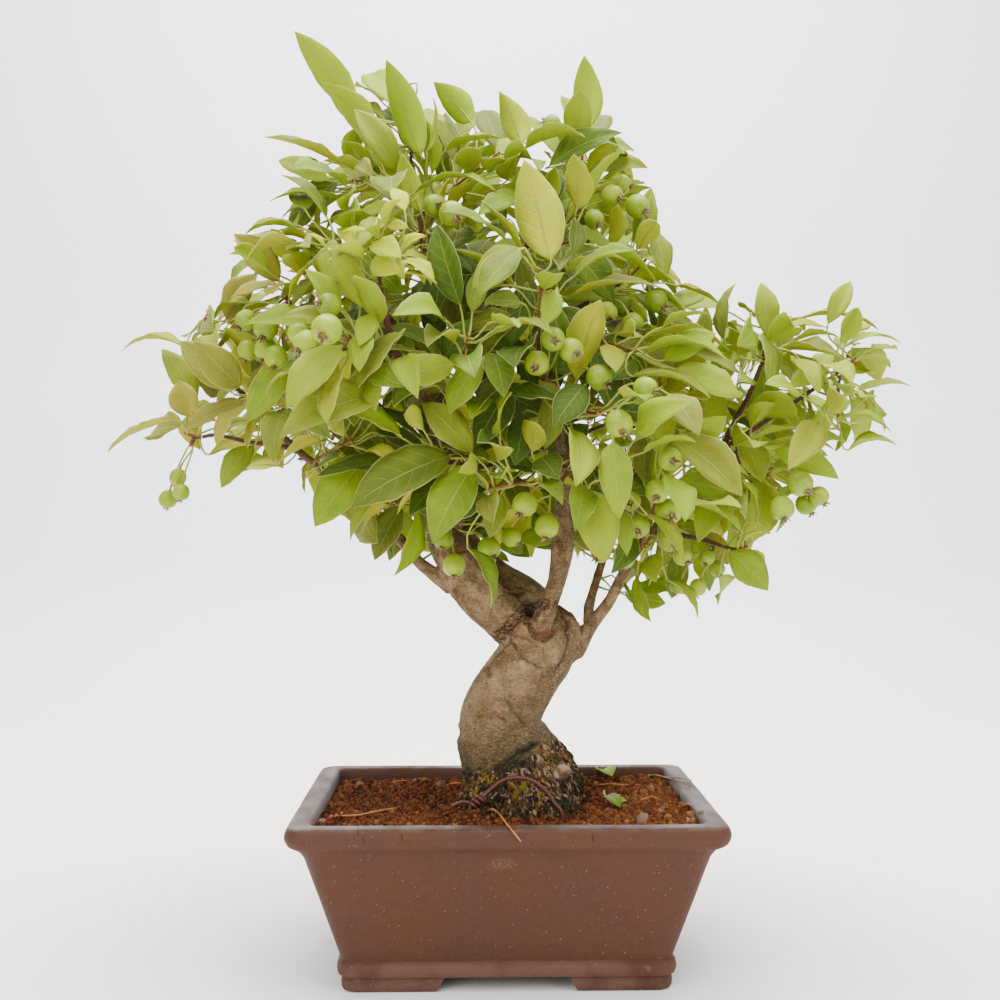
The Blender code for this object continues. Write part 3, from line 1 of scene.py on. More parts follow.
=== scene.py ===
"""The looks of a hall crabapple bonsai with green fruit, in a brown rectangular pot.

Metres, +Z up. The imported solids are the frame. The tree's stems, leaves and fruit grow here by the same rule and
from the same values as in the part's source, and each finer piece replaces the solid that it stands for.
"""

import json
import logging
import math
import random
from dataclasses import dataclass, field
from enum import Enum

import bmesh
import bpy
import numpy as np
from mathutils import Matrix, Vector, noise
from mathutils.bvhtree import BVHTree
from mathutils.kdtree import KDTree

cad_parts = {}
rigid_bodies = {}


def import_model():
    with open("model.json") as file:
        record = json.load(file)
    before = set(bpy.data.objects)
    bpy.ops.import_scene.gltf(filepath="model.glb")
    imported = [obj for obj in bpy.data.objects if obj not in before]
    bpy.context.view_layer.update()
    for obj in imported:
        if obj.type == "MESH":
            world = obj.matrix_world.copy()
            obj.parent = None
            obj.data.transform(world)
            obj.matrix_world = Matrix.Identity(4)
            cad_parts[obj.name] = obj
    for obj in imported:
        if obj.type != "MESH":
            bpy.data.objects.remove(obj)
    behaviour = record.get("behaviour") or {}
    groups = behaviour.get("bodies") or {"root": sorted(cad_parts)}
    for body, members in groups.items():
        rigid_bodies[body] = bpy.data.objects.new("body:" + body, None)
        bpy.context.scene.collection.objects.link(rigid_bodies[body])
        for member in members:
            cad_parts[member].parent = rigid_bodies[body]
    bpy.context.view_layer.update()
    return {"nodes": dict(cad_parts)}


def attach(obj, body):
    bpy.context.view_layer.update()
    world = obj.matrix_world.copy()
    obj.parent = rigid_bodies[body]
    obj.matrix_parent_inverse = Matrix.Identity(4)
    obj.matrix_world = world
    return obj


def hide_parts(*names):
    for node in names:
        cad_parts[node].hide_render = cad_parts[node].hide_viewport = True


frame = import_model()
LOG = logging.getLogger("bonsai")

MM = 0.001
GAP = 0.3 * MM
# The pot
POT_LENGTH = 0.2235
POT_DEPTH = 0.172
POT_HEIGHT = 0.0885
RIM_DROP = 0.0120
RIM_OVERHANG = 0.0075
RIM_WIDTH = 0.012
BODY_TAPER = 0.0185
FOOT_HEIGHT = 0.0075
FLOOR_TOP = 0.0155
ROLL_TOP = 0.0157
ROLL_PROUD = 0.0019
FOOT_WALL = 0.0135
FRONT_FOOT_GAP = 0.0645
SIDE_FOOT_GAP = 0.044
FOOT_END_SLANT = 0.003
DRAIN_RADIUS = 0.0075
DRAIN_SPREAD = 0.040
# What the pot holds
SOIL_TOP = 0.0825
SOIL_FALL = 0.0035
SOIL_LUMP = 0.9 * MM
WIRE_RADIUS = 0.0011
# Leaves and fruit
BLADE_THICKNESS = 0.8 * MM
STALK_RADIUS = 0.55 * MM
TEST_PAD = 0.7 * MM
# Shoots: their stems, the nodes along them, and how leaves and fruit are shared out among the nodes
SHOOT_RADIUS = 1.1 * MM
TIP_RADIUS = 0.7 * MM
NODE_LENGTH = 2.2 * MM
NODE_CROWDING = 1.5
NODE_TURN = 0.7
LEAVES_A_NODE = 2.6
FRUITS_A_NODE = 2.4
SIDE_PULL = 8 * MM
STEM_CLEAR = 6 * MM
SPUR_RADIUS = 1.3 * MM
SPUR_NODE = 2.5 * MM
SHOOT_LEAD = 2.5 * MM
FORK_LEAD = 1.5 * MM
SEAT_PROBE = 30 * MM
LEAF_TRIES = 12
SEED = 20
CALYX = 0.22
CROWN_CENTRE = Vector((0.0, 0.0, 0.315))
CROWN_HALF = Vector((0.262, 0.139, 0.212))
# The front view in which the tree was read: where it is seen from, which way it looks, and its units a radian
VIEW_FROM = Vector((-0.0173, -0.7208, 0.2408))
VIEW_TURN = -0.0204
VIEW_RISE = 0.0153
VIEW_UNITS = 1290.0
VIEW_MIDDLE = 500.0
RING_START = Vector((0.31, -0.87, 0.12))
Solid = tuple[list[Vector], list[tuple[int, ...]]]
Sight = tuple[float, float, float]  # across and down the front view, and the depth past the origin in mm


def view_axes() -> Matrix:
    """The front view's own axes: across, away and up."""
    return Matrix.Rotation(VIEW_TURN, 3, "Z") @ Matrix.Rotation(VIEW_RISE, 3, "X")


def seen(sight: Sight) -> Vector:
    """The point of the tree that a sight in the front view gives.

    Args:
        sight: across and down the front view, and the depth.

    Returns:
        The point, in metres.
    """
    across, down, depth = sight
    ray = view_axes() @ Vector(((across - VIEW_MIDDLE) / VIEW_UNITS, 1, (VIEW_MIDDLE - down) / VIEW_UNITS))
    return VIEW_FROM + ray * ((depth * MM - VIEW_FROM.y) / ray.y)


def in_view(point: Vector) -> tuple[float, float]:
    """Where a point of the tree is seen: across and down the front view.

    Args:
        point: a point of the tree.

    Returns:
        Its place across and down the front view.
    """
    away = view_axes().transposed() @ (point - VIEW_FROM)
    return VIEW_MIDDLE + VIEW_UNITS * away.x / away.y, VIEW_MIDDLE - VIEW_UNITS * away.z / away.y


def smooth(points: list[Vector], spans: int) -> list[Vector]:
    """A Catmull-Rom curve through the points, each stretch of it in the given number of spans.

    Args:
        points: the points that the curve passes.
        spans: the spans of each stretch.

    Returns:
        The points along the curve.
    """
    ends = [points[0] * 2 - points[1], *points, points[-1] * 2 - points[-2]]
    curve = []
    for a, b, c, d in zip(ends, ends[1:], ends[2:], ends[3:]):
        for step in range(spans):
            t = step / spans
            curve.append(((2 * b) + (c - a) * t + (2 * a - 5 * b + 4 * c - d) * t * t
                          + (3 * b - a - 3 * c + d) * t ** 3) / 2)
    return [*curve, points[-1].copy()]


def square_to(direction: Vector, wish: Vector) -> Vector:
    """The unit vector nearest to the wish that stands square to the direction.

    Args:
        direction: what the result stands square to.
        wish: the way it should point.

    Returns:
        The unit vector.
    """
    flat = wish - direction * wish.dot(direction) / direction.length_squared
    if flat.length < 1e-6:
        return direction.orthogonal().normalized()
    return flat.normalized()


def tube(points: list[Vector], radii: list[float], sides: int) -> Solid:
    """A closed round tube along the points, with flat ends.

    Args:
        points: the middle line.
        radii: the radius at each point.
        sides: the sides of the tube.

    Returns:
        The closed body.
    """
    verts: list[Vector] = []
    side = None
    for i, point in enumerate(points):
        along = (points[min(i + 1, len(points) - 1)] - points[max(i - 1, 0)]).normalized()
        side = square_to(along, side if side else RING_START)
        other = along.cross(side)
        for k in range(sides):
            turn = math.tau * k / sides
            verts.append(point + radii[i] * (side * math.cos(turn) + other * math.sin(turn)))
    return verts, skin(len(points), sides)


def skin(rings: int, sides: int) -> list[tuple[int, ...]]:
    """The faces of a closed body whose vertices come ring by ring, each ring turning the same way.

    Args:
        rings: how many rings there are.
        sides: the points of each ring.

    Returns:
        The faces.
    """
    faces: list[tuple[int, ...]] = [tuple(reversed(range(sides)))]
    for ring in range(rings - 1):
        for k in range(sides):
            a, b = ring * sides + k, ring * sides + (k + 1) % sides
            faces.append((a, b, b + sides, a + sides))
    faces.append(tuple(range((rings - 1) * sides, rings * sides)))
    return faces


def ring_of(middle: Vector, along: Vector, radius: float, turn: float, sides: int = 3) -> list[Vector]:
    """A ring round a direction, turning left as seen from where it points.

    Args:
        middle: the ring's middle.
        along: the way it faces.
        radius: its radius.
        turn: how far it is turned.
        sides: its points.

    Returns:
        The points.
    """
    side = square_to(along, RING_START)
    other = along.normalized().cross(side)
    angles = [turn + math.tau * k / sides for k in range(sides)]
    return [middle + radius * (side * math.cos(angle) + other * math.sin(angle)) for angle in angles]


@dataclass
class Body:
    """A closed body in the making: its points and its faces."""

    points: list[Vector] = field(default_factory=list)
    faces: list[tuple[int, ...]] = field(default_factory=list)

    def add(self, points: list[Vector], faces: list[tuple[int, ...]] | None = None) -> list[int]:
        """Add points and the faces among them, and give the points' numbers.

        Args:
            points: the points.
            faces: the faces, numbered among these points.

        Returns:
            The points' numbers in the body.
        """
        start = len(self.points)
        self.points += points
        self.faces += [tuple(start + corner for corner in face) for face in faces or []]
        return list(range(start, len(self.points)))

    def bridge(self, hole: list[int], ring: list[int]) -> None:
        """Join an opening of three or four points to a ring of three, with as little twist as can be.

        Args:
            hole: the opening's points.
            ring: the ring's points.
        """
        best = None
        for offset in range(3):
            for skip in range(4) if len(hole) == 4 else (None,):
                match = [ring[offset % 3]]
                step = offset
                for edge in range(len(hole) - 1):
                    step += edge != skip
                    match.append(ring[step % 3])
                length = sum((self.points[a] - self.points[b]).length for a, b in zip(hole, match))
                if best is None or length < best[0]:
                    best = (length, match)
        match = best[1]
        for k, corner in enumerate(hole):
            after = (k + 1) % len(hole)
            if match[k] == match[after]:
                self.faces.append((corner, hole[after], match[k]))
            else:
                self.faces.append((corner, hole[after], match[after], match[k]))


@dataclass
class Stem:
    """A trunk, limb, branch or shoot: a smooth line with a radius that falls along it."""

    name: str
    points: list[Vector]
    radii: list[float]
    sides: int = 5
    spans: int = 2
    line: list[Vector] = field(default_factory=list)

    def __post_init__(self) -> None:
        """Work out the smooth line, unless it is given."""
        if not self.line:
            self.line = smooth(self.points, self.spans) if len(self.points) > 2 else list(self.points)

    def radius(self, share: float) -> float:
        """The radius at a share of the way along.

        Args:
            share: the share of the way.

        Returns:
            The radius.
        """
        place = share * (len(self.radii) - 1)
        low = min(int(place), len(self.radii) - 2)
        return self.radii[low] + (self.radii[low + 1] - self.radii[low]) * (place - low)

    def at(self, share: float) -> tuple[Vector, Vector]:
        """The point and the direction at a share of the way along.

        Args:
            share: the share of the way.

        Returns:
            The point and the direction.
        """
        place = share * (len(self.line) - 1)
        low = min(int(place), len(self.line) - 2)
        step = self.line[low + 1] - self.line[low]
        return self.line[low] + step * (place - low), step.normalized()

    def solid(self) -> Solid:
        """The stem as a closed tube."""
        last = len(self.line) - 1
        return tube(self.line, [self.radius(i / last) for i in range(last + 1)], self.sides)


@dataclass
class Twig(Stem):
    """A slim three-sided stem with short nodes along it, whose sides open into petioles and pedicels."""

    nodes: int = 1
    taken: dict[tuple[int, int], "Leaf | Fruit | Twig"] = field(default_factory=dict)

    def spread(self) -> list[tuple[float, float]]:
        """The shares of the way along at which each node starts and ends, closer together towards the tip.

        Returns:
            The start and the end of each node.
        """
        length = sum((b - a).length for a, b in zip(self.line, self.line[1:]))
        own = min(NODE_LENGTH / length, 0.85 / self.nodes)
        spare = 1 - self.nodes * own
        starts = [spare * (1 - (1 - (node + 1) / self.nodes) ** NODE_CROWDING) + own * node
                  for node in range(self.nodes)]
        return [(start, start + own) for start in starts]

    def side(self, node: int, number: int) -> tuple[Vector, Vector]:
        """The middle of a node's side and the way that it faces.

        Args:
            node: the node.
            number: which of its three sides.

        Returns:
            The point and the way out.
        """
        share = sum(self.spread()[node]) / 2
        middle, along = self.at(share)
        corners = ring_of(middle, along, self.radius(share), NODE_TURN * node)
        foot = (corners[number] + corners[(number + 1) % 3]) / 2
        return foot, (foot - middle).normalized()

    def free_sides(self) -> list[tuple[int, int]]:
        """Every side of a node on which nothing grows yet."""
        places = [(node, number) for node in range(self.nodes) for number in range(3)]
        return [place for place in places if place not in self.taken]

    def solid(self) -> Solid:
        """The stem alone, as a closed body."""
        rings = [(0.0, 0.0)]
        for node, ends in enumerate(self.spread()):
            rings += [(share, NODE_TURN * node) for share in ends]
        points = []
        for share, turn in rings:
            points += ring_of(*self.at(share), self.radius(share), turn)
        return points, skin(len(rings), 3)


def best_side(twigs: list[Twig], wish: Vector) -> tuple[Twig, tuple[int, int]]:
    """The free side from which a point is best reached.

    Args:
        twigs: the stems to choose from.
        wish: the point to reach.

    Returns:
        The stem, and the node and side on it.
    """
    def cost(choice: tuple[Twig, tuple[int, int]]) -> float:
        foot, out = choice[0].side(*choice[1])
        return (wish - foot).length - SIDE_PULL * out.dot((wish - foot).normalized())
    return min(((twig, place) for twig in twigs for place in twig.free_sides()), key=cost)


def closed(piece: "Leaf | Fruit", pad: float = 0.0, from_foot: float = 0.0) -> Solid:
    """A leaf or a fruit as a closed body, moved out by the pad, its stalk cut off short of its foot.

    Args:
        piece: the leaf or the fruit.
        pad: how far its surface is moved out.
        from_foot: the length left off its stalk.

    Returns:
        The closed body.
    """
    points, faces = piece.shape(pad)
    way = sum(points[:3], Vector()) / 3 - piece.foot
    share = min(from_foot / way.length, 0.8)
    radius = NODE_LENGTH / 2 * (1 - share) + STALK_RADIUS * share + pad
    body = Body()
    mouth = body.add(ring_of(piece.foot + way * share, way, radius, 0.0))
    body.faces.append(tuple(reversed(mouth)))
    body.bridge(mouth, body.add(points, faces)[:3])
    return body.points, body.faces


@dataclass
class Leaf:
    """One leaf: a petiole from its stem, and a blade that folds along its midrib, arches and ripples."""

    foot: Vector
    base: Vector
    tip: Vector
    face: Vector
    width: float
    arch: float = 0.09
    fold: float = 0.35
    phase: float = 0.0
    holder: str = ""

    def axes(self) -> tuple[Vector, Vector, Vector]:
        """The blade's own axes: to its tip, to its right and up from its face.

        Returns:
            The three unit vectors.
        """
        along = (self.tip - self.base).normalized()
        up = square_to(along, self.face)
        return along, along.cross(up), up

    def half_width(self, share: float) -> float:
        """Half the blade's width at a share of its length: ovate, drawn out to a point."""
        return self.width / 2 * math.sin(math.pi * share ** 0.86) ** 0.8 * (1.06 - 0.12 * share)

    def point(self, share: float, across: float, lift: float) -> Vector:
        """A point of the blade, from 0 to 1 along it, from -1 to 1 across it, and lifted off its face.

        Args:
            share: from 0 to 1 along it.
            across: from -1 to 1 across it.
            lift: off its face.

        Returns:
            The point.
        """
        along, right, up = self.axes()
        length = (self.tip - self.base).length
        half = self.half_width(share) * across
        rise = 4 * self.arch * length * share * (1 - share) + lift
        ripple = 0.13 * math.sin(self.phase + 8.5 * share + (2.1 if across > 0 else 0))
        rise += abs(half) * (math.sin(self.fold) + ripple * abs(across))
        return self.base + along * length * share + right * half * math.cos(self.fold) + up * rise

    def shape(self, pad: float = 0.0) -> Solid:
        """The blade, open at the ring of three points where its petiole comes, its two faces split alike.

        Args:
            pad: how far the blade's faces are moved out, when room for it is looked for.

        Returns:
            The points and the faces.
        """
        along, right, up = self.axes()
        half = BLADE_THICKNESS / 2 + pad
        way = ((self.base - self.foot).normalized() + along).normalized()
        up = square_to(way, up)
        right = way.cross(up) * (STALK_RADIUS + pad)
        points = [self.base + right + up * half, self.base - up * (half + STALK_RADIUS / 2),
                  self.base - right + up * half]
        for share in (0.34, 0.72):
            for lift in (half, -half):
                points += [self.point(share, across, lift) for across in (-1, 0, 1)]
        points += [self.point(1, 0, half), self.point(1, 0, -half)]
        root = [(2, 0, 4), (2, 4, 3), (0, 5, 4), (1, 6, 7), (1, 7, 8), (2, 3, 6), (2, 6, 1), (0, 1, 8),
                (0, 8, 5)]
        middle = [(3, 4, 10), (3, 10, 9), (4, 5, 11), (4, 11, 10), (6, 13, 7), (6, 12, 13), (7, 14, 8),
                  (7, 13, 14), (3, 9, 12), (3, 12, 6), (5, 8, 14), (5, 14, 11)]
        end = [(9, 10, 15), (10, 11, 15), (12, 16, 13), (13, 16, 14), (9, 15, 16), (9, 16, 12), (11, 14, 16),
               (11, 16, 15)]
        return points, root + middle + end


@dataclass
class Fruit:
    """One fruit on its pedicel, with its calyx at the far end."""

    foot: Vector
    centre: Vector
    radius: float

    def axis(self) -> Vector:
        """The way from the pedicel through the fruit to its calyx.

        Returns:
            The unit vector.
        """
        return ((self.centre - self.foot).normalized() * 0.75 + Vector((0, 0, -0.55))).normalized()

    def shape(self, pad: float = 0.0) -> Solid:
        """The fruit and its calyx, open at the ring of three points where its pedicel comes.

        Args:
            pad: how far the surface is moved out.

        Returns:
            The points and the faces.
        """
        axis = self.axis()
        size = self.radius + pad
        points: list[Vector] = []
        rings = ((-0.9 * size, STALK_RADIUS * 1.3 + pad, 3), (-0.52 * size, size * 0.92, 6),
                 (0.42 * size, size * 0.96, 6), (0.98 * size, size * CALYX, 3),
                 (1.22 * size, size * CALYX * 1.9, 3))
        for along, reach, sides in rings:
            points += ring_of(self.centre + axis * along, axis, reach, 0.0, sides)
        faces: list[tuple[int, ...]] = [(18, 19, 20)]
        for k in range(3):
            after = (k + 1) % 3
            near, far, other = 3 + 2 * k, 3 + 2 * k + 1, 3 + 2 * after
            faces += [(k, far, near), (k, after, far), (after, other, far)]
            faces += [(near, far, far + 6, near + 6), (far, other, other + 6, far + 6)]
            faces += [(near + 6, far + 6, 15 + k), (far + 6, other + 6, 15 + after)]
            faces += [(far + 6, 15 + after, 15 + k), (15 + k, 15 + after, 18 + after, 18 + k)]
        return points, faces


def mm(x: float, y: float, z: float) -> Vector:
    """A point given in millimetres."""
    return Vector((x, y, z)) * MM


def stem(name: str, points: list[Sight | Vector], radii: list[float], sides: int = 5, spans: int = 1) -> Stem:
    """A stem through sights or points, with its radii in millimetres.

    Args:
        name: its name.
        points: sights or points along it.
        radii: its radii in millimetres.
        sides: its sides.
        spans: the spans between two points.

    Returns:
        The stem.
    """
    places = [point if isinstance(point, Vector) else seen(point) for point in points]
    return Stem(name, places, [radius * MM for radius in radii], sides, spans)

# The lower trunk, ring by ring: x, y and z of its middle, its radius in mm, and how far the roots swell it
TRUNK_RINGS = (
    (9.0, -1.5, 58.0, 33.5, 0.09), (9.0, -1.5, 85.5, 33.5, 0.09), (8.6, -1.5, 92.0, 32.8, 0.09),
    (7.0, -1.0, 98.5, 30.6, 0.09), (4.4, -0.5, 105.5, 28.0, 0.07), (1.0, 0.0, 113.5, 25.4, 0.05),
    (-2.0, 0.0, 122.0, 23.6, 0.03), (-2.6, 0.0, 131.0, 22.2, 0.02), (1.2, 0.0, 140.0, 21.6, 0.02),
    (7.0, 0.0, 149.5, 21.0, 0.0), (13.5, 0.3, 159.0, 20.4, 0.0), (18.8, 1.0, 168.0, 20.4, 0.0),
    (20.8, 2.0, 177.0, 19.8, 0.0), (19.6, 3.0, 185.0, 16.5, 0.0), (17.8, 4.0, 190.5, 10.5, 0.0),
)

TRUNK_SIDES = 15
ROOT_LOBES = 5
ROOT_TURN = 0.32

BRANCHES = (
    stem("leader", [mm(20, 2, 174), mm(14, 7.5, 186.5), mm(4.5, 12, 194.5), mm(-7, 17, 202),
                    mm(-18, 21.5, 211.5), mm(-27, 24.5, 223), (449, 535, 25), (446, 500, 25),
                    (444, 460, 24), (440, 420, 22),
                    (436, 375, 20), (433, 330, 16), (428, 280, 12), (424, 235, 8), (418, 195, 4),
                    (412, 165, 0)],
         [16.5, 17.8, 17.4, 16.4, 15.4, 14.6, 13.2, 11.2, 9.4, 7.8, 6.4, 5.0, 3.9, 2.9, 2.1, 1.4], 7),
    stem("left_limb", [mm(15, -3, 171), mm(6, -10, 181), mm(-4, -14, 190), mm(-14, -16, 199.5),
                       mm(-22, -16.5, 209), mm(-27, -15, 219), mm(-31, -12, 231), mm(-34, -10, 240)],
         [13.5, 13.0, 12.6, 12.3, 11.8, 10.6, 8.8, 6.8], 7),
    stem("left_front", [(449, 534, -10), (462, 500, -16), (472, 472, -26), (464, 446, -38), (447, 424, -46),
                        (429, 404, -56), (405, 370, -68), (390, 335, -78), (381, 287, -85)],
         [5.6, 5.0, 4.2, 3.6, 3.2, 2.8, 2.3, 1.8, 1.3]),
    stem("left_low", [(452, 588, -16), (438, 577, -14), (419, 562, -11), (409, 549, -9), (373, 514, -4),
                      (325, 473, 0), (294, 447, -3), (256, 409, -6), (220, 366, -9), (207, 345, -10)],
         [4.4, 4.0, 3.3, 3.2, 2.8, 2.4, 2.0, 1.7, 1.4, 1.2]),
    stem("left_low_fork", [(302, 453, -3), (280, 446, -4), (248, 442, -6), (218, 435, -8), (202, 437, -10)],
         [1.6, 1.4, 1.2, 1.1, 1.0], 4),
    stem("front", [(534, 642, -8), (541, 625, -20), (548, 605, -25), (557, 580, -28), (562, 550, -30),
                   (563, 515, -32), (566, 475, -36), (563, 450, -38), (553, 410, -44), (543, 388, -48)],
         [6.4, 5.8, 5.0, 4.9, 6.4, 5.2, 4.4, 3.6, 2.6, 1.9]),
    stem("right", [(568, 656, 0), (582, 641, 2), (591, 626, 3), (610, 600, 2), (620, 580, 0), (637, 549, -3),
                   (662, 522, -6), (690, 500, -9), (713, 478, -11), (723, 447, -12), (736, 419, -13),
                   (749, 395, -14), (761, 365, -15)],
         [4.8, 4.3, 3.9, 3.3, 3.0, 2.7, 2.4, 2.2, 2.0, 1.8, 1.6, 1.4, 1.2]),
    stem("right_dark", [(589, 632, 3), (589, 608, 8), (599, 572, 13), (612, 530, 18), (625, 490, 24),
                        (640, 450, 30)],
         [2.9, 2.7, 2.4, 2.0, 1.6, 1.3]),
    stem("far_right", [(722, 450, -12), (745, 435, -14), (775, 415, -17), (805, 395, -19), (830, 378, -20)],
         [1.5, 1.4, 1.3, 1.2, 1.0], 4),
    stem("right_drop", [(652, 531, -5), (680, 535, -12), (705, 540, -18), (722, 546, -22)],
         [1.5, 1.3, 1.2, 1.0], 4),
    stem("crown_left", [(435, 374, 20), (405, 335, 6), (372, 305, -14), (340, 292, -26), (318, 288, -32)],
         [2.6, 2.2, 1.8, 1.5, 1.2], 4),
    stem("crown_right", [(431, 318, 15), (455, 290, 12), (500, 255, 8), (545, 228, 4), (575, 212, 0)],
         [2.6, 2.3, 1.9, 1.5, 1.2], 4),
    stem("shoulder", [(440, 412, 22), (480, 375, 14), (530, 340, 4), (575, 310, -6), (606, 292, -12)],
         [3.0, 2.6, 2.2, 1.7, 1.2], 4),
    stem("back_low", [mm(-29, 26, 228), mm(-35, 55, 236), mm(-25, 80, 242), mm(-12, 98, 248)],
         [4.0, 3.0, 2.0, 1.3], 4),
    stem("back_left", [(446, 498, 26), mm(-50, 52, 262), mm(-75, 78, 277), mm(-96, 94, 290)],
         [3.8, 2.8, 2.0, 1.3], 4),
    stem("back_right", [(443, 465, 25), mm(-10, 52, 272), mm(30, 76, 287), mm(64, 92, 300)],
         [3.8, 2.8, 2.0, 1.3], 4),
    stem("back_high_left", [(437, 385, 21), mm(-45, 48, 335), mm(-56, 70, 350), mm(-62, 86, 362)],
         [3.0, 2.3, 1.7, 1.2], 4),
    stem("back_high_right", [(434, 345, 17), mm(-14, 42, 364), mm(18, 60, 378), mm(44, 74, 390)],
         [2.8, 2.2, 1.6, 1.2], 4),
    stem("back_far_right", [(612, 530, 18), mm(76, 46, 252), mm(100, 66, 268), mm(122, 76, 284)],
         [1.9, 1.7, 1.4, 1.1], 4),
)



@dataclass
class ShootPlan:
    """Where a leafy shoot leaves the wood, the points it passes, and how many leaves its rule gives it."""

    name: str
    on: str
    share: float
    points: list[Sight | Vector]
    leaves: int
    fork: list[Sight | Vector] = field(default_factory=list)
    size: float = 1.0

SHOOTS = (
    ShootPlan("shoot_crown_tip", "leader", 1.0, [(410, 140, -3), (402, 118, -5)], 4),
    ShootPlan("shoot_crown_left", "leader", 0.95, [(388, 185, -14), (352, 180, -24)], 6),
    ShootPlan("shoot_crown_back", "leader", 0.86, [(434, 212, 40), (442, 190, 66)], 10),
    ShootPlan("shoot_crown_right", "leader", 0.91, [(455, 186, -2), (500, 152, -14)], 7),
    ShootPlan("shoot_crown_front", "leader", 0.80, [(424, 252, -20), (418, 228, -38)], 7),
    ShootPlan("shoot_apex_right", "crown_right", 1.0, [(582, 180, -3), (582, 146, -4)], 7),
    ShootPlan("shoot_shoulder_right", "shoulder", 1.0, [(632, 275, -18), (652, 252, -22)], 8),
    ShootPlan("shoot_upper_right", "crown_right", 0.62, [(535, 248, -22), (578, 240, -48)], 6),
    ShootPlan("shoot_centre_high", "front", 1.0, [(538, 340, -60), (543, 268, -70)], 6),
    ShootPlan("shoot_centre_right", "shoulder", 0.72, [(590, 335, -35), (636, 352, -60)], 7),
    ShootPlan("shoot_centre", "front", 0.86, [(585, 412, -66), (615, 418, -80)], 7),
    ShootPlan("shoot_centre_left", "left_front", 0.52, [(458, 385, -66), (468, 335, -84)], 7),
    ShootPlan("shoot_young", "left_front", 1.0, [(378, 260, -88), (376, 236, -89)], 6, size=0.62),
    ShootPlan("shoot_left_front", "left_front", 0.84, [(362, 346, -94), (334, 352, -104)], 6),
    ShootPlan("shoot_left_upper", "crown_left", 1.0, [(297, 290, -40), (278, 303, -46)], 7),
    ShootPlan("shoot_upper_left", "crown_left", 0.6, [(352, 275, -42), (332, 240, -56)], 7),
    ShootPlan("shoot_far_left_up", "left_low", 1.0, [(203, 330, -10), (207, 314, -11)], 4),
    ShootPlan("shoot_far_left", "left_low_fork", 1.0, [(193, 436, -11), (184, 433, -12)], 4),
    ShootPlan("shoot_left_mid", "left_low", 0.76, [(272, 398, -30), (288, 378, -46)], 7),
    ShootPlan("shoot_left_low", "left_low", 0.6, [(333, 450, -30), (352, 440, -52)], 7),
    ShootPlan("shoot_front_left", "left_front", 0.36, [(446, 458, -60), (424, 468, -72)], 6),
    ShootPlan("shoot_low_left", "left_low", 0.42, [(392, 505, -26), (408, 497, -36)], 6),
    ShootPlan("shoot_low_centre", "front", 0.62, [(525, 482, -58), (485, 490, -66)], 6),
    ShootPlan("shoot_low_front", "front", 0.74, [(592, 468, -60), (620, 478, -76)], 7),
    ShootPlan("shoot_right_low", "right", 0.5, [(652, 512, -34), (668, 478, -56)], 8),
    ShootPlan("shoot_right_drop", "right_drop", 1.0, [(736, 549, -24), (748, 546, -26)], 6),
    ShootPlan("shoot_right_mid", "right", 0.78, [(745, 475, -28), (770, 463, -36)], 7),
    ShootPlan("shoot_right_up", "right", 1.0, [(763, 345, -16), (765, 326, -17)], 7),
    ShootPlan("shoot_far_right", "far_right", 1.0, [(845, 368, -22), (856, 358, -24)], 9,
              [(838, 400, -32), (838, 430, -40)]),
    ShootPlan("shoot_right_inner", "right_dark", 1.0, [(655, 425, 34), (678, 395, 30)], 10),
    ShootPlan("shoot_back_low", "back_low", 1.0, [mm(5, 108, 256), mm(24, 112, 262)], 11),
    ShootPlan("shoot_back_left", "back_left", 1.0, [mm(-112, 98, 303), mm(-122, 92, 322)], 12,
              [mm(-128, 70, 300)]),
    ShootPlan("shoot_back_right", "back_right", 1.0, [mm(84, 98, 312), mm(98, 92, 332)], 12,
              [mm(88, 112, 318)]),
    ShootPlan("shoot_back_high_left", "back_high_left", 1.0, [mm(-68, 92, 382), mm(-72, 86, 404)], 12,
              [mm(-40, 106, 376)]),
    ShootPlan("shoot_back_high_right", "back_high_right", 1.0, [mm(58, 82, 404), mm(64, 78, 424)], 12,
              [mm(30, 98, 402)]),
    ShootPlan("shoot_back_far_right", "back_far_right", 1.0, [mm(136, 72, 300), mm(146, 60, 314)], 10,
              [mm(140, 74, 276)]),
)



@dataclass
class LeafPlan:
    """A leaf that shows in the front view: its blade's base and tip, its width in mm, and how it faces."""

    shoot: str
    base: Sight
    tip: Sight
    width: float
    facing: str
FACINGS = {"up": Vector((0, -0.3, 1)), "front": Vector((0, -1, 0.45)), "under": Vector((0, 0.9, 0.55)),
           "left": Vector((-0.9, -0.45, 0.3)), "right": Vector((0.9, -0.45, 0.3))}

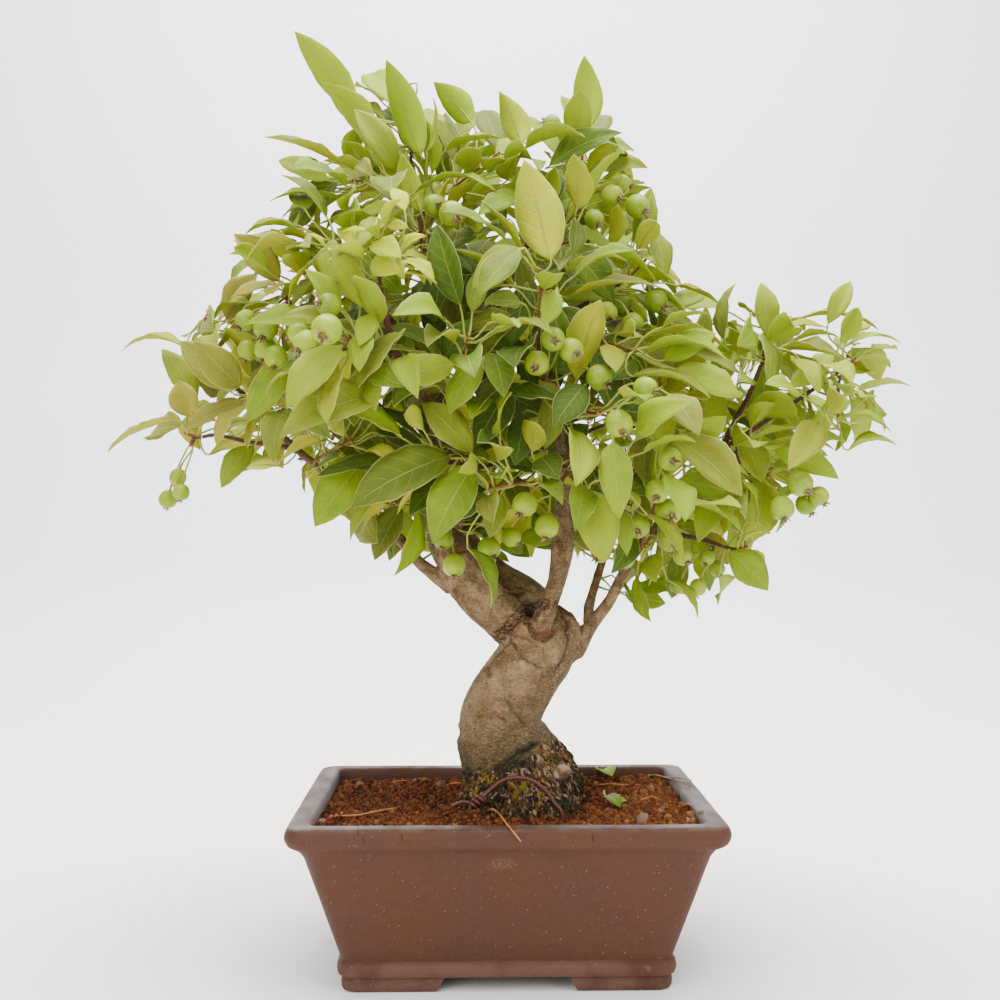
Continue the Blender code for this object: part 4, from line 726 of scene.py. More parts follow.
LEAVES = (
    LeafPlan("shoot_crown_tip", (356, 109, -4), (295, 31, -10), 19, "under"),
    LeafPlan("shoot_crown_tip", (421, 156, -10), (386, 59, -14), 19, "under"),
    LeafPlan("shoot_crown_tip", (395, 173, -20), (354, 109, -28), 18, "front"),
    LeafPlan("shoot_crown_left", (344, 166, -26), (265, 137, -34), 17, "up"),
    LeafPlan("shoot_crown_left", (343, 200, -28), (270, 200, -38), 17, "up"),
    LeafPlan("shoot_crown_right", (471, 122, -2), (434, 82, 4), 18, "under"),
    LeafPlan("shoot_crown_right", (446, 150, -14), (503, 136, -30), 15, "up"),
    LeafPlan("shoot_crown_right", (523, 143, -8), (500, 92, -2), 19, "under"),
    LeafPlan("shoot_crown_front", (415, 192, -38), (497, 188, -54), 17, "up"),
    LeafPlan("shoot_apex_right", (592, 125, -4), (584, 56, 0), 18, "under"),
    LeafPlan("shoot_apex_right", (549, 166, -18), (622, 132, -30), 18, "front"),
    LeafPlan("shoot_apex_right", (602, 172, -10), (648, 168, -18), 14, "front"),
    LeafPlan("shoot_centre_high", (551, 260, -72), (524, 159, -66), 26, "under"),
    LeafPlan("shoot_upper_right", (567, 298, -54), (664, 288, -68), 17, "up"),
    LeafPlan("shoot_upper_right", (566, 273, -50), (627, 260, -62), 15, "up"),
    LeafPlan("shoot_left_upper", (279, 282, -44), (234, 233, -52), 20, "front"),
    LeafPlan("shoot_far_left_up", (226, 319, -14), (256, 273, -22), 19, "front"),
    LeafPlan("shoot_far_left_up", (186, 347, -12), (121, 348, -14), 16, "up"),
    LeafPlan("shoot_far_left", (174, 419, -12), (106, 450, -4), 17, "up"),
    LeafPlan("shoot_far_left", (189, 417, -14), (179, 380, -16), 19, "front"),
    LeafPlan("shoot_left_mid", (254, 446, -18), (221, 488, -22), 15, "front"),
    LeafPlan("shoot_left_mid", (291, 361, -52), (248, 422, -64), 20, "front"),
    LeafPlan("shoot_left_front", (341, 347, -110), (286, 409, -124), 20, "front"),
    LeafPlan("shoot_left_front", (383, 396, -92), (279, 437, -112), 26, "front"),
    LeafPlan("shoot_left_low", (368, 455, -56), (314, 526, -64), 26, "front"),
    LeafPlan("shoot_front_left", (450, 456, -74), (350, 506, -90), 27, "front"),
    LeafPlan("shoot_front_left", (473, 467, -72), (432, 542, -82), 25, "front"),
    LeafPlan("shoot_low_left", (401, 506, -38), (374, 560, -44), 18, "front"),
    LeafPlan("shoot_low_left", (417, 509, -36), (396, 576, -40), 17, "right"),
    LeafPlan("shoot_low_centre", (468, 548, -62), (491, 609, -58), 17, "right"),
    LeafPlan("shoot_low_front", (589, 490, -80), (604, 563, -88), 24, "front"),
    LeafPlan("shoot_right_low", (673, 437, -64), (743, 497, -78), 25, "front"),
    LeafPlan("shoot_right_low", (668, 580, -22), (698, 618, -26), 14, "right"),
    LeafPlan("shoot_right_low", (637, 576, -16), (650, 622, -20), 14, "left"),
    LeafPlan("shoot_centre_right", (632, 376, -68), (711, 395, -84), 17, "up"),
    LeafPlan("shoot_centre_right", (642, 354, -62), (729, 358, -80), 17, "up"),
    LeafPlan("shoot_right_drop", (729, 551, -28), (769, 590, -34), 20, "front"),
    LeafPlan("shoot_right_up", (724, 340, -20), (734, 283, -16), 14, "left"),
    LeafPlan("shoot_right_up", (766, 336, -22), (761, 282, -20), 15, "front"),
    LeafPlan("shoot_right_up", (781, 349, -24), (843, 358, -38), 21, "up"),
    LeafPlan("shoot_right_mid", (774, 450, -40), (839, 479, -52), 17, "front"),
    LeafPlan("shoot_right_mid", (772, 478, -38), (776, 533, -44), 14, "right"),
    LeafPlan("shoot_right_mid", (744, 441, -34), (763, 482, -42), 18, "front"),
    LeafPlan("shoot_far_right", (828, 324, -26), (851, 281, -22), 13, "front"),
    LeafPlan("shoot_far_right", (846, 346, -30), (901, 341, -36), 14, "up"),
    LeafPlan("shoot_far_right", (858, 391, -30), (911, 383, -20), 14, "up"),
    LeafPlan("shoot_far_right", (840, 417, -42), (892, 430, -46), 14, "up"),
    LeafPlan("shoot_far_right", (848, 450, -46), (897, 444, -52), 13, "up"),
)



@dataclass
class BunchPlan:
    """A bunch of fruit: the stem it hangs from, and each fruit's middle and width in mm."""

    name: str
    on: str
    share: float
    fruits: list[tuple[Sight, float]]

BUNCHES = (
    BunchPlan("fruit_apex", "shoot_apex_right", 0.55, [((552, 124, 0), 10.5)]),
    BunchPlan("fruit_crown", "shoot_crown_front", 0.85, [((435, 206, -50), 12.5), ((452, 214, -58), 13.5)]),
    BunchPlan("fruit_high", "shoot_upper_right", 0.4, [((532, 231, -48), 13.0)]),
    BunchPlan("fruit_right_shoulder", "crown_right", 0.95, [((612, 195, -24), 11.5), ((637, 206, -32), 13.0),
                                                            ((594, 219, -34), 10.5), ((621, 184, -8), 11.0)]),
    BunchPlan("fruit_shoulder", "shoulder", 0.9, [((656, 301, -36), 12.5), ((633, 323, -38), 11.0),
                                                  ((607, 312, -40), 11.0), ((622, 306, -22), 11.0)]),
    BunchPlan("fruit_left_front", "shoot_left_front", 0.75,
              [((327, 329, -124), 14.5), ((307, 343, -112), 12.5), ((299, 334, -96), 11.0),
               ((329, 305, -108), 11.5)]),
    BunchPlan("fruit_left_upper", "shoot_left_upper", 0.85, [((266, 328, -62), 12.5), ((246, 320, -52), 11.0),
                                                             ((266, 349, -54), 12.0), ((248, 350, -42), 11.0),
                                                             ((276, 357, -70), 12.0)]),
    BunchPlan("fruit_centre", "shoot_centre_high", 0.2, [((553, 339, -86), 12.0), ((571, 350, -78), 12.5),
                                                         ((537, 363, -78), 12.5), ((599, 377, -76), 13.0)]),
    BunchPlan("fruit_centre_right", "shoot_centre", 0.8, [((645, 388, -90), 11.5), ((619, 423, -104), 13.2)]),
    BunchPlan("fruit_right_low", "shoot_right_low", 0.85, [((670, 459, -76), 12.0), ((657, 491, -72), 12.0)]),
    BunchPlan("fruit_front", "front", 0.7, [((580, 455, -58), 10.5), ((605, 458, -50), 12.0),
                                            ((525, 504, -60), 12.8), ((547, 526, -54), 12.8)]),
    BunchPlan("fruit_low_left", "left_limb", 0.96, [((489, 548, -42), 12.3), ((511, 537, -32), 10.5),
                                                    ((454, 565, -40), 12.0), ((444, 540, -34), 10.5)]),
    BunchPlan("fruit_low_right", "right", 0.43, [((631, 501, -44), 10.5), ((638, 526, -52), 12.5),
                                                          ((624, 557, -38), 12.0), ((601, 552, -34), 11.0),
                                                          ((669, 511, -62), 13.5), ((670, 539, -54), 13.0),
                                                          ((682, 556, -40), 10.0)]),
    BunchPlan("fruit_drop", "right_drop", 0.85, [((707, 557, -26), 8.5), ((717, 568, -14), 9.0),
                                                 ((698, 587, -22), 9.5), ((678, 586, -12), 9.0)]),
    BunchPlan("fruit_far_right", "shoot_right_mid", 0.9, [((800, 483, -54), 13.5), ((782, 508, -54), 13.0),
                                                          ((806, 504, -40), 11.5), ((819, 496, -46), 10.5)]),
    BunchPlan("fruit_far_left", "shoot_far_left", 0.5, [((178, 477, -6), 9.5), ((181, 492, -14), 9.5),
                                                        ((168, 499, -4), 10.5)]),
    BunchPlan("fruit_back_left", "shoot_back_left", 0.3, [((300, 432, 106), 12.5), ((318, 440, 118), 12.0),
                                                          ((306, 452, 96), 11.0)]),
    BunchPlan("fruit_back_right", "shoot_back_right", 0.26, [((612, 424, 112), 12.5), ((598, 432, 124), 12.0),
                                                            ((622, 440, 104), 11.5)]),
)


# The crown's outline in the front view: no leaf that the rule grows shows past it
CROWN_OUTLINE = (
    (300, 60), (352, 66), (392, 78), (432, 84), (470, 96), (505, 92), (545, 112), (588, 66), (616, 118),
    (650, 165), (662, 235), (684, 262), (700, 282), (718, 300), (742, 318), (766, 300), (818, 320),
    (852, 296), (896, 338), (902, 384), (888, 436), (846, 452), (828, 480), (808, 500), (772, 520),
    (770, 578), (716, 600), (660, 618), (628, 604), (604, 562), (566, 556), (530, 560), (498, 580),
    (470, 580), (430, 566), (398, 570), (366, 552), (316, 520), (290, 470), (258, 488), (222, 486),
    (196, 458), (130, 446), (172, 404), (178, 384), (128, 346), (206, 322), (222, 286), (222, 240),
    (272, 218), (272, 186), (272, 140), (330, 150), (352, 122), (300, 60),
)

UP = Vector((0, 0, 1))


@dataclass
class Room:
    """What already stands in the crown, so that nothing new crosses it."""

    taken: list[tuple[BVHTree, Vector, float, str]] = field(default_factory=list)

    def add(self, solid: Solid, owner: str) -> None:
        """Take the room of one more solid.

        Args:
            solid: the closed body.
            owner: the stem that it belongs to.
        """
        self.taken.append((BVHTree.FromPolygons(*solid), *span(solid), owner))

    def free(self, piece: Leaf | Fruit, owner: str) -> bool:
        """Whether a leaf or a fruit would stand clear of all the rest, its own stem's first stretch apart.

        Args:
            piece: the leaf or the fruit.
            owner: its stem's name.

        Returns:
            Whether it is free.
        """
        return self.clear(closed(piece, TEST_PAD), closed(piece, TEST_PAD, STEM_CLEAR), owner)

    def clear(self, whole: Solid, past_stem: Solid, owner: str) -> bool:
        """Whether a solid crosses nothing, and its part past the stem nothing of the same owner either.

        Args:
            whole: the closed body.
            past_stem: its part past its own stem.
            owner: its stem's name.

        Returns:
            Whether it is clear.
        """
        middle, reach = span(whole)
        trees = {True: BVHTree.FromPolygons(*past_stem), False: BVHTree.FromPolygons(*whole)}
        for tree, centre, radius, holder in self.taken:
            if (centre - middle).length < radius + reach and trees[holder == owner].overlap(tree):
                return False
        return True


def span(solid: Solid) -> tuple[Vector, float]:
    """The middle of a solid's corners and how far they reach from it.

    Args:
        solid: the closed body.

    Returns:
        The middle and the reach.
    """
    middle = sum(solid[0], Vector()) / len(solid[0])
    return middle, max((vert - middle).length for vert in solid[0])


def inside_outline(across: float, down: float) -> bool:
    """Whether a place in the front view lies within the crown's outline.

    Args:
        across: the place across the view.
        down: the place down the view.

    Returns:
        Whether it is inside.
    """
    inside = False
    for (x0, y0), (x1, y1) in zip(CROWN_OUTLINE, CROWN_OUTLINE[1:]):
        if (y0 > down) != (y1 > down) and across < x0 + (x1 - x0) * (down - y0) / (y1 - y0):
            inside = not inside
    return inside


def inside_crown(point: Vector) -> bool:
    """Whether a point lies within the crown, from the front and in its depth.

    Args:
        point: the point.

    Returns:
        Whether it is inside.
    """
    part = [(point[i] - CROWN_CENTRE[i]) / CROWN_HALF[i] for i in range(3)]
    return sum(share * share for share in part) < 1 and abs(part[1]) < 1 and inside_outline(*in_view(point))


def nudges(step: float, count: int) -> list[float]:
    """Zero, then steps to and fro that grow."""
    return [0.0] + [sign * step * (i + 1) for i in range(count) for sign in (1, -1)]


def seat(holder: Stem, share: float, side: Vector, radius: float) -> Vector:
    """Where a stem of the radius starts that leaves a holder's side: just off its surface.

    Args:
        holder: the stem that is left.
        share: how far along it.
        side: the way out of it.
        radius: the radius of the stem that leaves.

    Returns:
        The start.
    """
    point = holder.at(share)[0]
    tree = BVHTree.FromPolygons(*holder.solid())
    high = 0.0
    for probe in [point, *ring_of(point, side, radius, 0.0, 6)]:
        hit = tree.ray_cast(probe + side * SEAT_PROBE, -side)[0]
        if hit:
            high = max(high, (hit - point).dot(side))
    return point + side * (high + GAP)


def shoot_twigs(plan: ShootPlan, stems: dict[str, Stem], shown: int) -> list[Twig]:
    """The stems of a shoot: it leaves a branch's end along it, or its side square to it, and may fork.

    Args:
        plan: the shoot's plan.
        stems: the stems that it may leave.
        shown: how many planned leaves it carries.

    Returns:
        The shoot's one or two stems.
    """
    parent = stems[plan.on]
    point, along = parent.at(plan.share)
    targets = [target if isinstance(target, Vector) else seen(target) for target in plan.points]
    lead, thick, start = along, parent.radius(1.0), point + along * GAP
    if plan.share < 1:
        lead, thick = square_to(along, targets[0] - point), SHOOT_RADIUS
        start = seat(parent, plan.share, lead, thick)
    line = [start, *smooth([start + lead * SHOOT_LEAD, *targets], 2)]
    nodes = math.ceil((plan.leaves + shown) / (2 if plan.fork else 1) / LEAVES_A_NODE)
    main = Twig(plan.name, [], [thick, TIP_RADIUS], line=line, nodes=nodes)
    if not plan.fork:
        return [main]
    targets = [target if isinstance(target, Vector) else seen(target) for target in plan.fork]
    side = min((place for place in main.free_sides() if place[0] == 0),
               key=lambda place: -main.side(*place)[1].dot((targets[0] - main.side(*place)[0]).normalized()))
    foot, out = main.side(*side)
    line = smooth([foot + out * FORK_LEAD, *targets], 2)
    fork = Twig(plan.name, [], [SHOOT_RADIUS * 0.8, TIP_RADIUS], line=line, nodes=nodes)
    main.taken[side] = fork
    return [main, fork]


def shown_leaf(plan: LeafPlan, foot: Vector, nudge: float, number: int) -> Leaf:
    """A leaf that shows in the front view, moved along its line of sight by the nudge.

    Args:
        plan: the leaf's plan.
        foot: where its petiole leaves the stem.
        nudge: the move in mm.
        number: its place in the list.

    Returns:
        The leaf.
    """
    base, tip = [seen((across, down, depth + nudge)) for across, down, depth in (plan.base, plan.tip)]
    return Leaf(foot, base, tip, FACINGS[plan.facing], plan.width * MM, 0.05 + 0.05 * (number % 3),
                0.22 + 0.1 * (number % 4), number * 1.7)


def grown_leaf(twig: Twig, place: tuple[int, int], size: float, draw: random.Random) -> Leaf:
    """A leaf by the rule: out from its stem, then over towards the crown's outside and down.

    Args:
        twig: the stem.
        place: the node and the side.
        size: the shoot's leaf size.
        draw: the seeded draw.

    Returns:
        The leaf.
    """
    along = twig.at(sum(twig.spread()[place[0]]) / 2)[1]
    return sprung_leaf(*twig.side(*place), along, size, draw)


def grow_shoot(plan: ShootPlan, twigs: list[Twig], room: Room, draw: random.Random) -> None:
    """The leaves that the rule gives a shoot, each on a side of a node and where there is room for it.

    Args:
        plan: the shoot's plan.
        twigs: its stems.
        room: what stands there.
        draw: the seeded draw.
    """
    places = [(twig, place) for twig in twigs for place in twig.free_sides()]
    draw.shuffle(places)
    left = plan.leaves
    for twig, place in places:
        for _ in range(LEAF_TRIES):
            leaf = grown_leaf(twig, place, plan.size, draw)
            inside = all(inside_crown(leaf.point(share, 0, 0)) for share in (0.0, 0.6, 1.0))
            if inside and room.free(leaf, plan.name):
                room.add(closed(leaf), plan.name)
                twig.taken[place] = leaf
                left -= 1
                break
        if not left:
            return


def bunch_spur(plan: BunchPlan, share: float, stems: dict[str, Stem]) -> Twig:
    """The short spur that a bunch hangs from, out of the side of its stem at a share of the way along.

    Args:
        plan: the bunch's plan.
        share: how far along its stem.
        stems: the stems by name.

    Returns:
        The spur.
    """
    holder = stems[plan.on]
    point, along = holder.at(share)
    middle = sum((seen(sight) for sight, _ in plan.fruits), Vector()) / len(plan.fruits)
    side = square_to(along, middle - point)
    start = seat(holder, share, side, SPUR_RADIUS)
    nodes = math.ceil(len(plan.fruits) / FRUITS_A_NODE)
    return Twig(plan.name, [], [SPUR_RADIUS, SPUR_RADIUS * 0.9], nodes=nodes,
                line=[start, start + side * nodes * SPUR_NODE])


def hang_bunch(plan: BunchPlan, spur: Twig, room: Room) -> None:
    """The fruits of a bunch, each moved along its line of sight to where there is room.

    Args:
        plan: the bunch's plan.
        spur: its spur.
        room: what stands there.
    """
    for (across, down, depth), width in plan.fruits:
        for nudge in nudges(2.5, 10):
            centre = seen((across, down, depth + nudge))
            place = best_side([spur], centre)[1]
            fruit = Fruit(spur.side(*place)[0], centre, width / 2 * MM)
            if room.free(fruit, plan.name):
                break
        room.add(closed(fruit), plan.name)
        spur.taken[place] = fruit


def trunk_solid() -> Solid:
    """The lower trunk, from the root ball in the soil up to its rounded head."""
    middles = [mm(*ring[:3]) for ring in TRUNK_RINGS]
    verts = []
    side = Vector((1, 0, 0))
    for i, (_, _, _, radius, swell) in enumerate(TRUNK_RINGS):
        along = (middles[min(i + 1, len(middles) - 1)] - middles[i - 1]).normalized() if i > 1 else UP
        side = square_to(along, side)
        other = along.cross(side)
        verts += [middles[i] + side * x + other * y for x, y in root_outline(radius * MM, swell, 0.0)]
    return verts, skin(len(TRUNK_RINGS), TRUNK_SIDES)


def root_outline(radius: float, swell: float, spare: float) -> list[tuple[float, float]]:
    """A ring of the trunk, swollen where its roots spread, with some spare room round it.

    Args:
        radius: the ring's radius.
        swell: how far the roots swell it.
        spare: room round it.

    Returns:
        The ring's points.
    """
    outline = []
    for k in range(TRUNK_SIDES):
        turn = math.tau * k / TRUNK_SIDES
        reach = radius * (1 + swell * math.cos(ROOT_LOBES * (turn - ROOT_TURN))) + spare
        outline.append((reach * math.cos(turn), reach * math.sin(turn)))
    return outline


def wire_solids() -> list[Solid]:
    """The tie wire: one wire over the roots with both legs in the soil, and its end wound round it."""
    arc = [seen(sight) for sight in WIRE_ARC]
    legs = [Vector((end.x, end.y, WIRE_DEEP)) for end in (arc[0], arc[-1])]
    line = [legs[0], *arc, legs[1]]
    wound = []
    start, end = seen(KNOT_START), seen(KNOT_END)
    axis = (end - start).normalized()
    side = square_to(axis, UP)
    other = axis.cross(side)
    steps = KNOT_TURNS * 5
    for step in range(steps + 1):
        turn = math.tau * step / 5
        wound.append(start + (end - start) * step / steps
                     + KNOT_REACH * (side * math.cos(turn) + other * math.sin(turn)))
    wound.append(seen(WIRE_TAIL))
    return [tube(line, [WIRE_RADIUS] * len(line), 5), tube(wound, [WIRE_RADIUS * 0.95] * len(wound), 4)]
WIRE_DEEP = 0.066
WIRE_ARC = ((562, 816, -42.5), (554, 803, -42), (545, 790, -41), (532, 780.5, -39.5), (519, 777.5, -38.5),
            (504, 780, -38.5), (491, 789, -39.5), (482, 798, -41), (474, 804.5, -42.5), (470, 812, -43.5))
KNOT_START = (484, 797, -41.5)
KNOT_END = (472, 806, -43)
KNOT_TURNS = 2
KNOT_REACH = 1.9 * MM
WIRE_TAIL = (452, 806.5, -45)


def rounded(half_x: float, half_y: float, radius: float, height: float, steps: int = 3) -> list[Vector]:
    """A ring round a rectangle with round corners, turning left.

    Args:
        half_x: half its length.
        half_y: half its depth.
        radius: its corners' radius.
        height: its height.
        steps: the spans of a corner.

    Returns:
        The points.
    """
    ring = []
    for corner in range(4):
        across = (half_x - radius) * (1 if corner in (0, 3) else -1)
        deep = (half_y - radius) * (1 if corner in (0, 1) else -1)
        for step in range(steps + 1):
            turn = math.pi / 2 * (corner + step / steps)
            ring.append(Vector((across + radius * math.cos(turn), deep + radius * math.sin(turn), height)))
    return ring


def rings_solid(rings: list[list[Vector]]) -> Solid:
    """A closed body over rings of the same number of points, the first facing down.

    Args:
        rings: the rings.

    Returns:
        The closed body.
    """
    return [vert for ring in rings for vert in ring], skin(len(rings), len(rings[0]))


def pot_inside(height: float) -> tuple[float, float]:
    """Half the pot's inner length and depth at a height."""
    share = (height - FLOOR_TOP) / (POT_HEIGHT - FLOOR_TOP)
    inset = RIM_WIDTH + (1 - share) * (BODY_TAPER + 0.0006)
    return POT_LENGTH / 2 - inset, POT_DEPTH / 2 - inset


# Node trees: sums written as Python expressions

Colour = tuple[float, float, float]
NUMBER, VECTOR, COLOUR = 0, 1, 2
MIX_SOCKETS = {NUMBER: (0, 2, 3, 0), VECTOR: (0, 4, 5, 1), COLOUR: (0, 6, 7, 2)}
MIX_TYPES = {NUMBER: "FLOAT", VECTOR: "VECTOR", COLOUR: "RGBA"}


@dataclass(frozen=True)
class Term:
    """A socket of a node tree that takes part in Python sums."""

    nodes: "Nodes"
    socket: bpy.types.NodeSocket

    def maths(self, operation: str, first: "Term | float | Vector", second: "Term | float | Vector" = 0.0) -> "Term":
        """One sum of two values, by a Math node or, where either is a vector, a Vector Math node.

        Args:
            operation: the node's operation.
            first: the first value.
            second: the second value.

        Returns:
            The result.
        """
        vectors = [isinstance(value, Vector) or isinstance(value, Term) and value.socket.type in ("VECTOR", "RGBA")
                   for value in (first, second)]
        if not any(vectors):
            return self.nodes.node("ShaderNodeMath", {"operation": operation}, {0: first, 1: second})
        if operation == "MULTIPLY" and not all(vectors):
            vector, scale = (first, second) if vectors[0] else (second, first)
            return self.nodes.node("ShaderNodeVectorMath", {"operation": "SCALE"}, {0: vector, "Scale": scale})
        return self.nodes.node("ShaderNodeVectorMath", {"operation": operation}, {0: first, 1: second})

    def __add__(self, other: "Term | float | Vector") -> "Term":
        """This plus another."""
        return self.maths("ADD", self, other)

    def __radd__(self, other: "Term | float | Vector") -> "Term":
        """Another plus this."""
        return self.maths("ADD", other, self)

    def __sub__(self, other: "Term | float | Vector") -> "Term":
        """This less another."""
        return self.maths("SUBTRACT", self, other)

    def __rsub__(self, other: "Term | float | Vector") -> "Term":
        """Another less this."""
        return self.maths("SUBTRACT", other, self)

    def __mul__(self, other: "Term | float | Vector") -> "Term":
        """This times another."""
        return self.maths("MULTIPLY", self, other)

    def __rmul__(self, other: "Term | float | Vector") -> "Term":
        """Another times this."""
        return self.maths("MULTIPLY", other, self)

    def __truediv__(self, other: "Term | float") -> "Term":
        """This over another."""
        return self.maths("DIVIDE", self, other)

    def __pow__(self, other: float) -> "Term":
        """This to a power."""
        return self.maths("POWER", self, other)

    def __abs__(self) -> "Term":
        """This without its sign."""
        return self.maths("ABSOLUTE", self)

    def sine(self) -> "Term":
        """The sine of this, in radians."""
        return self.maths("SINE", self)

    def part(self) -> "Term":
        """What this is past the whole number below it."""
        return self.maths("FRACT", self)

    def over(self, limit: float) -> "Term":
        """One where this is over a limit, and else zero."""
        return self.maths("GREATER_THAN", self, limit)

    def least(self, other: "Term | float") -> "Term":
        """The lower of this and another."""
        return self.maths("MINIMUM", self, other)

    def most(self, other: "Term | float") -> "Term":
        """The higher of this and another."""
        return self.maths("MAXIMUM", self, other)

    def rise(self, low: float, high: float) -> "Term":
        """From 0 at one value of this to 1 at another, smoothly; the low one may be the larger.

        Args:
            low: where it is 0.
            high: where it is 1.

        Returns:
            The result.
        """
        settings = {"interpolation_type": "SMOOTHSTEP"}
        if low < high:
            return self.nodes.node("ShaderNodeMapRange", settings, {0: self, 1: low, 2: high})
        return 1 - self.nodes.node("ShaderNodeMapRange", settings, {0: self, 1: high, 2: low})

    def split(self) -> tuple["Term", "Term", "Term"]:
        """The three numbers of a vector."""
        made = self.nodes.node("ShaderNodeSeparateXYZ", {}, {0: self}).socket.node
        return tuple(Term(self.nodes, socket) for socket in made.outputs)


class Nodes:
    """A node tree in the making."""

    def __init__(self, tree: bpy.types.NodeTree) -> None:
        """Take the tree to add to."""
        self.tree = tree

    def node(self, kind: str, settings: dict, values: dict, output: int | str = 0) -> Term:
        """Add a node: first its settings, then what its sockets hold or what is linked to them.

        Args:
            kind: the node's type.
            settings: its settings by name.
            values: its sockets' values or terms, by name or number.
            output: the socket to give, by name or number.

        Returns:
            The output's term.
        """
        made = self.tree.nodes.new(kind)
        for name, value in settings.items():
            setattr(made, name, value)
        for name, value in values.items():
            socket = made.inputs[name]
            if isinstance(value, Term):
                self.tree.links.new(value.socket, socket)
            elif socket.type == "RGBA" and len(value) == 3:
                socket.default_value = (*value, 1)
            else:
                socket.default_value = value
        return Term(self, made.outputs[output] if made.outputs else None)

    def mix(self, factor: Term | float, a: "Term | float | Colour", b: "Term | float | Colour",
            kind: int = COLOUR, blend: str = "MIX") -> Term:
        """A mix of two colours, vectors or numbers.

        Args:
            factor: the second's share.
            a: the first.
            b: the second.
            kind: what is mixed.
            blend: how colours mix.

        Returns:
            The mix.
        """
        share, first, second, result = MIX_SOCKETS[kind]
        settings = {"data_type": MIX_TYPES[kind]} | ({"blend_type": blend} if kind == COLOUR else {})
        return self.node("ShaderNodeMix", settings, {share: factor, first: a, second: b}, result)


class Surface(Nodes):
    """A material in the making, with the patterns that its finish uses."""

    def __init__(self, name: str) -> None:
        """Start an empty material of this name."""
        self.material = bpy.data.materials.new(name)
        self.material.use_nodes = True
        super().__init__(self.material.node_tree)
        self.tree.nodes.clear()
        self.place = self.node("ShaderNodeTexCoord", {}, {}, "Object")

    def attribute(self, name: str) -> Term:
        """A number that the mesh carries."""
        return self.node("ShaderNodeAttribute", {"attribute_name": name}, {}, "Fac")

    def cloud(self, scale: float, detail: float = 3.0, rough: float = 0.55, stretch: Colour = (1, 1, 1),
              shift: float = 0.0) -> Term:
        """Soft noise from about 0.2 to 0.8.

        Args:
            scale: how many of its patches come in a metre.
            detail: how many finer layers it has.
            rough: how strong those are.
            stretch: its scale along each axis.
            shift: how far it is moved, so that two differ.

        Returns:
            The noise.
        """
        place = self.node("ShaderNodeMapping", {}, {0: self.place, 1: (shift,) * 3, 3: stretch})
        return self.node("ShaderNodeTexNoise", {}, {0: place, "Scale": scale, "Detail": detail, "Roughness": rough})

    def cells(self, scale: float, stretch: Colour = (1, 1, 1), feature: str = "F1", output: str = "Distance",
              lean: float = 0.0) -> Term:
        """A pattern of cells: the distance to the nearest middle or edge, or a colour for each.

        Args:
            scale: how many cells come in a metre.
            stretch: its scale along each axis.
            feature: what is measured.
            output: the socket to give.
            lean: how far it is turned in the front view, in radians.

        Returns:
            The pattern.
        """
        turned = self.node("ShaderNodeMapping", {}, {0: self.place, 2: (0, lean, 0)})
        place = self.node("ShaderNodeMapping", {}, {0: turned, 3: stretch})
        return self.node("ShaderNodeTexVoronoi", {"feature": feature}, {0: place, "Scale": scale}, output)

    def relief(self, height: Term, depth: float, strength: float = 1.0) -> Term:
        """The normal of a surface in low relief.

        Args:
            height: the relief, from 0 to 1.
            depth: how deep it is, in metres.
            strength: how strongly it shows.

        Returns:
            The normal.
        """
        return self.node("ShaderNodeBump", {}, {"Strength": strength, "Distance": depth, "Height": height})

    def finish(self, colour: "Term | Colour", roughness: Term | float, normal: Term | None = None,
               through: "tuple[float | Term, Colour] | None" = None, **others: "float | Term | Colour") -> bpy.types.Material:
        """End the material in its shader.

        Args:
            colour: the base colour.
            roughness: the roughness.
            normal: the relief's normal.
            through: the share and colour of the light that shines through.
            others: more sockets of the shader, with _ for a space.

        Returns:
            The material.
        """
        values = {"Base Color": colour, "Roughness": roughness}
        values |= {name.replace("_", " "): value for name, value in others.items()}
        if normal:
            values["Normal"] = normal
        shader = self.node("ShaderNodeBsdfPrincipled", {}, values)
        if through:
            share, tint = through
            glow = self.node("ShaderNodeBsdfTranslucent", {}, {"Color": tint})
            shader = self.node("ShaderNodeMixShader", {}, {0: share, 1: shader, 2: glow})
        self.node("ShaderNodeOutputMaterial", {}, {0: shader})
        return self.material


# Finishes

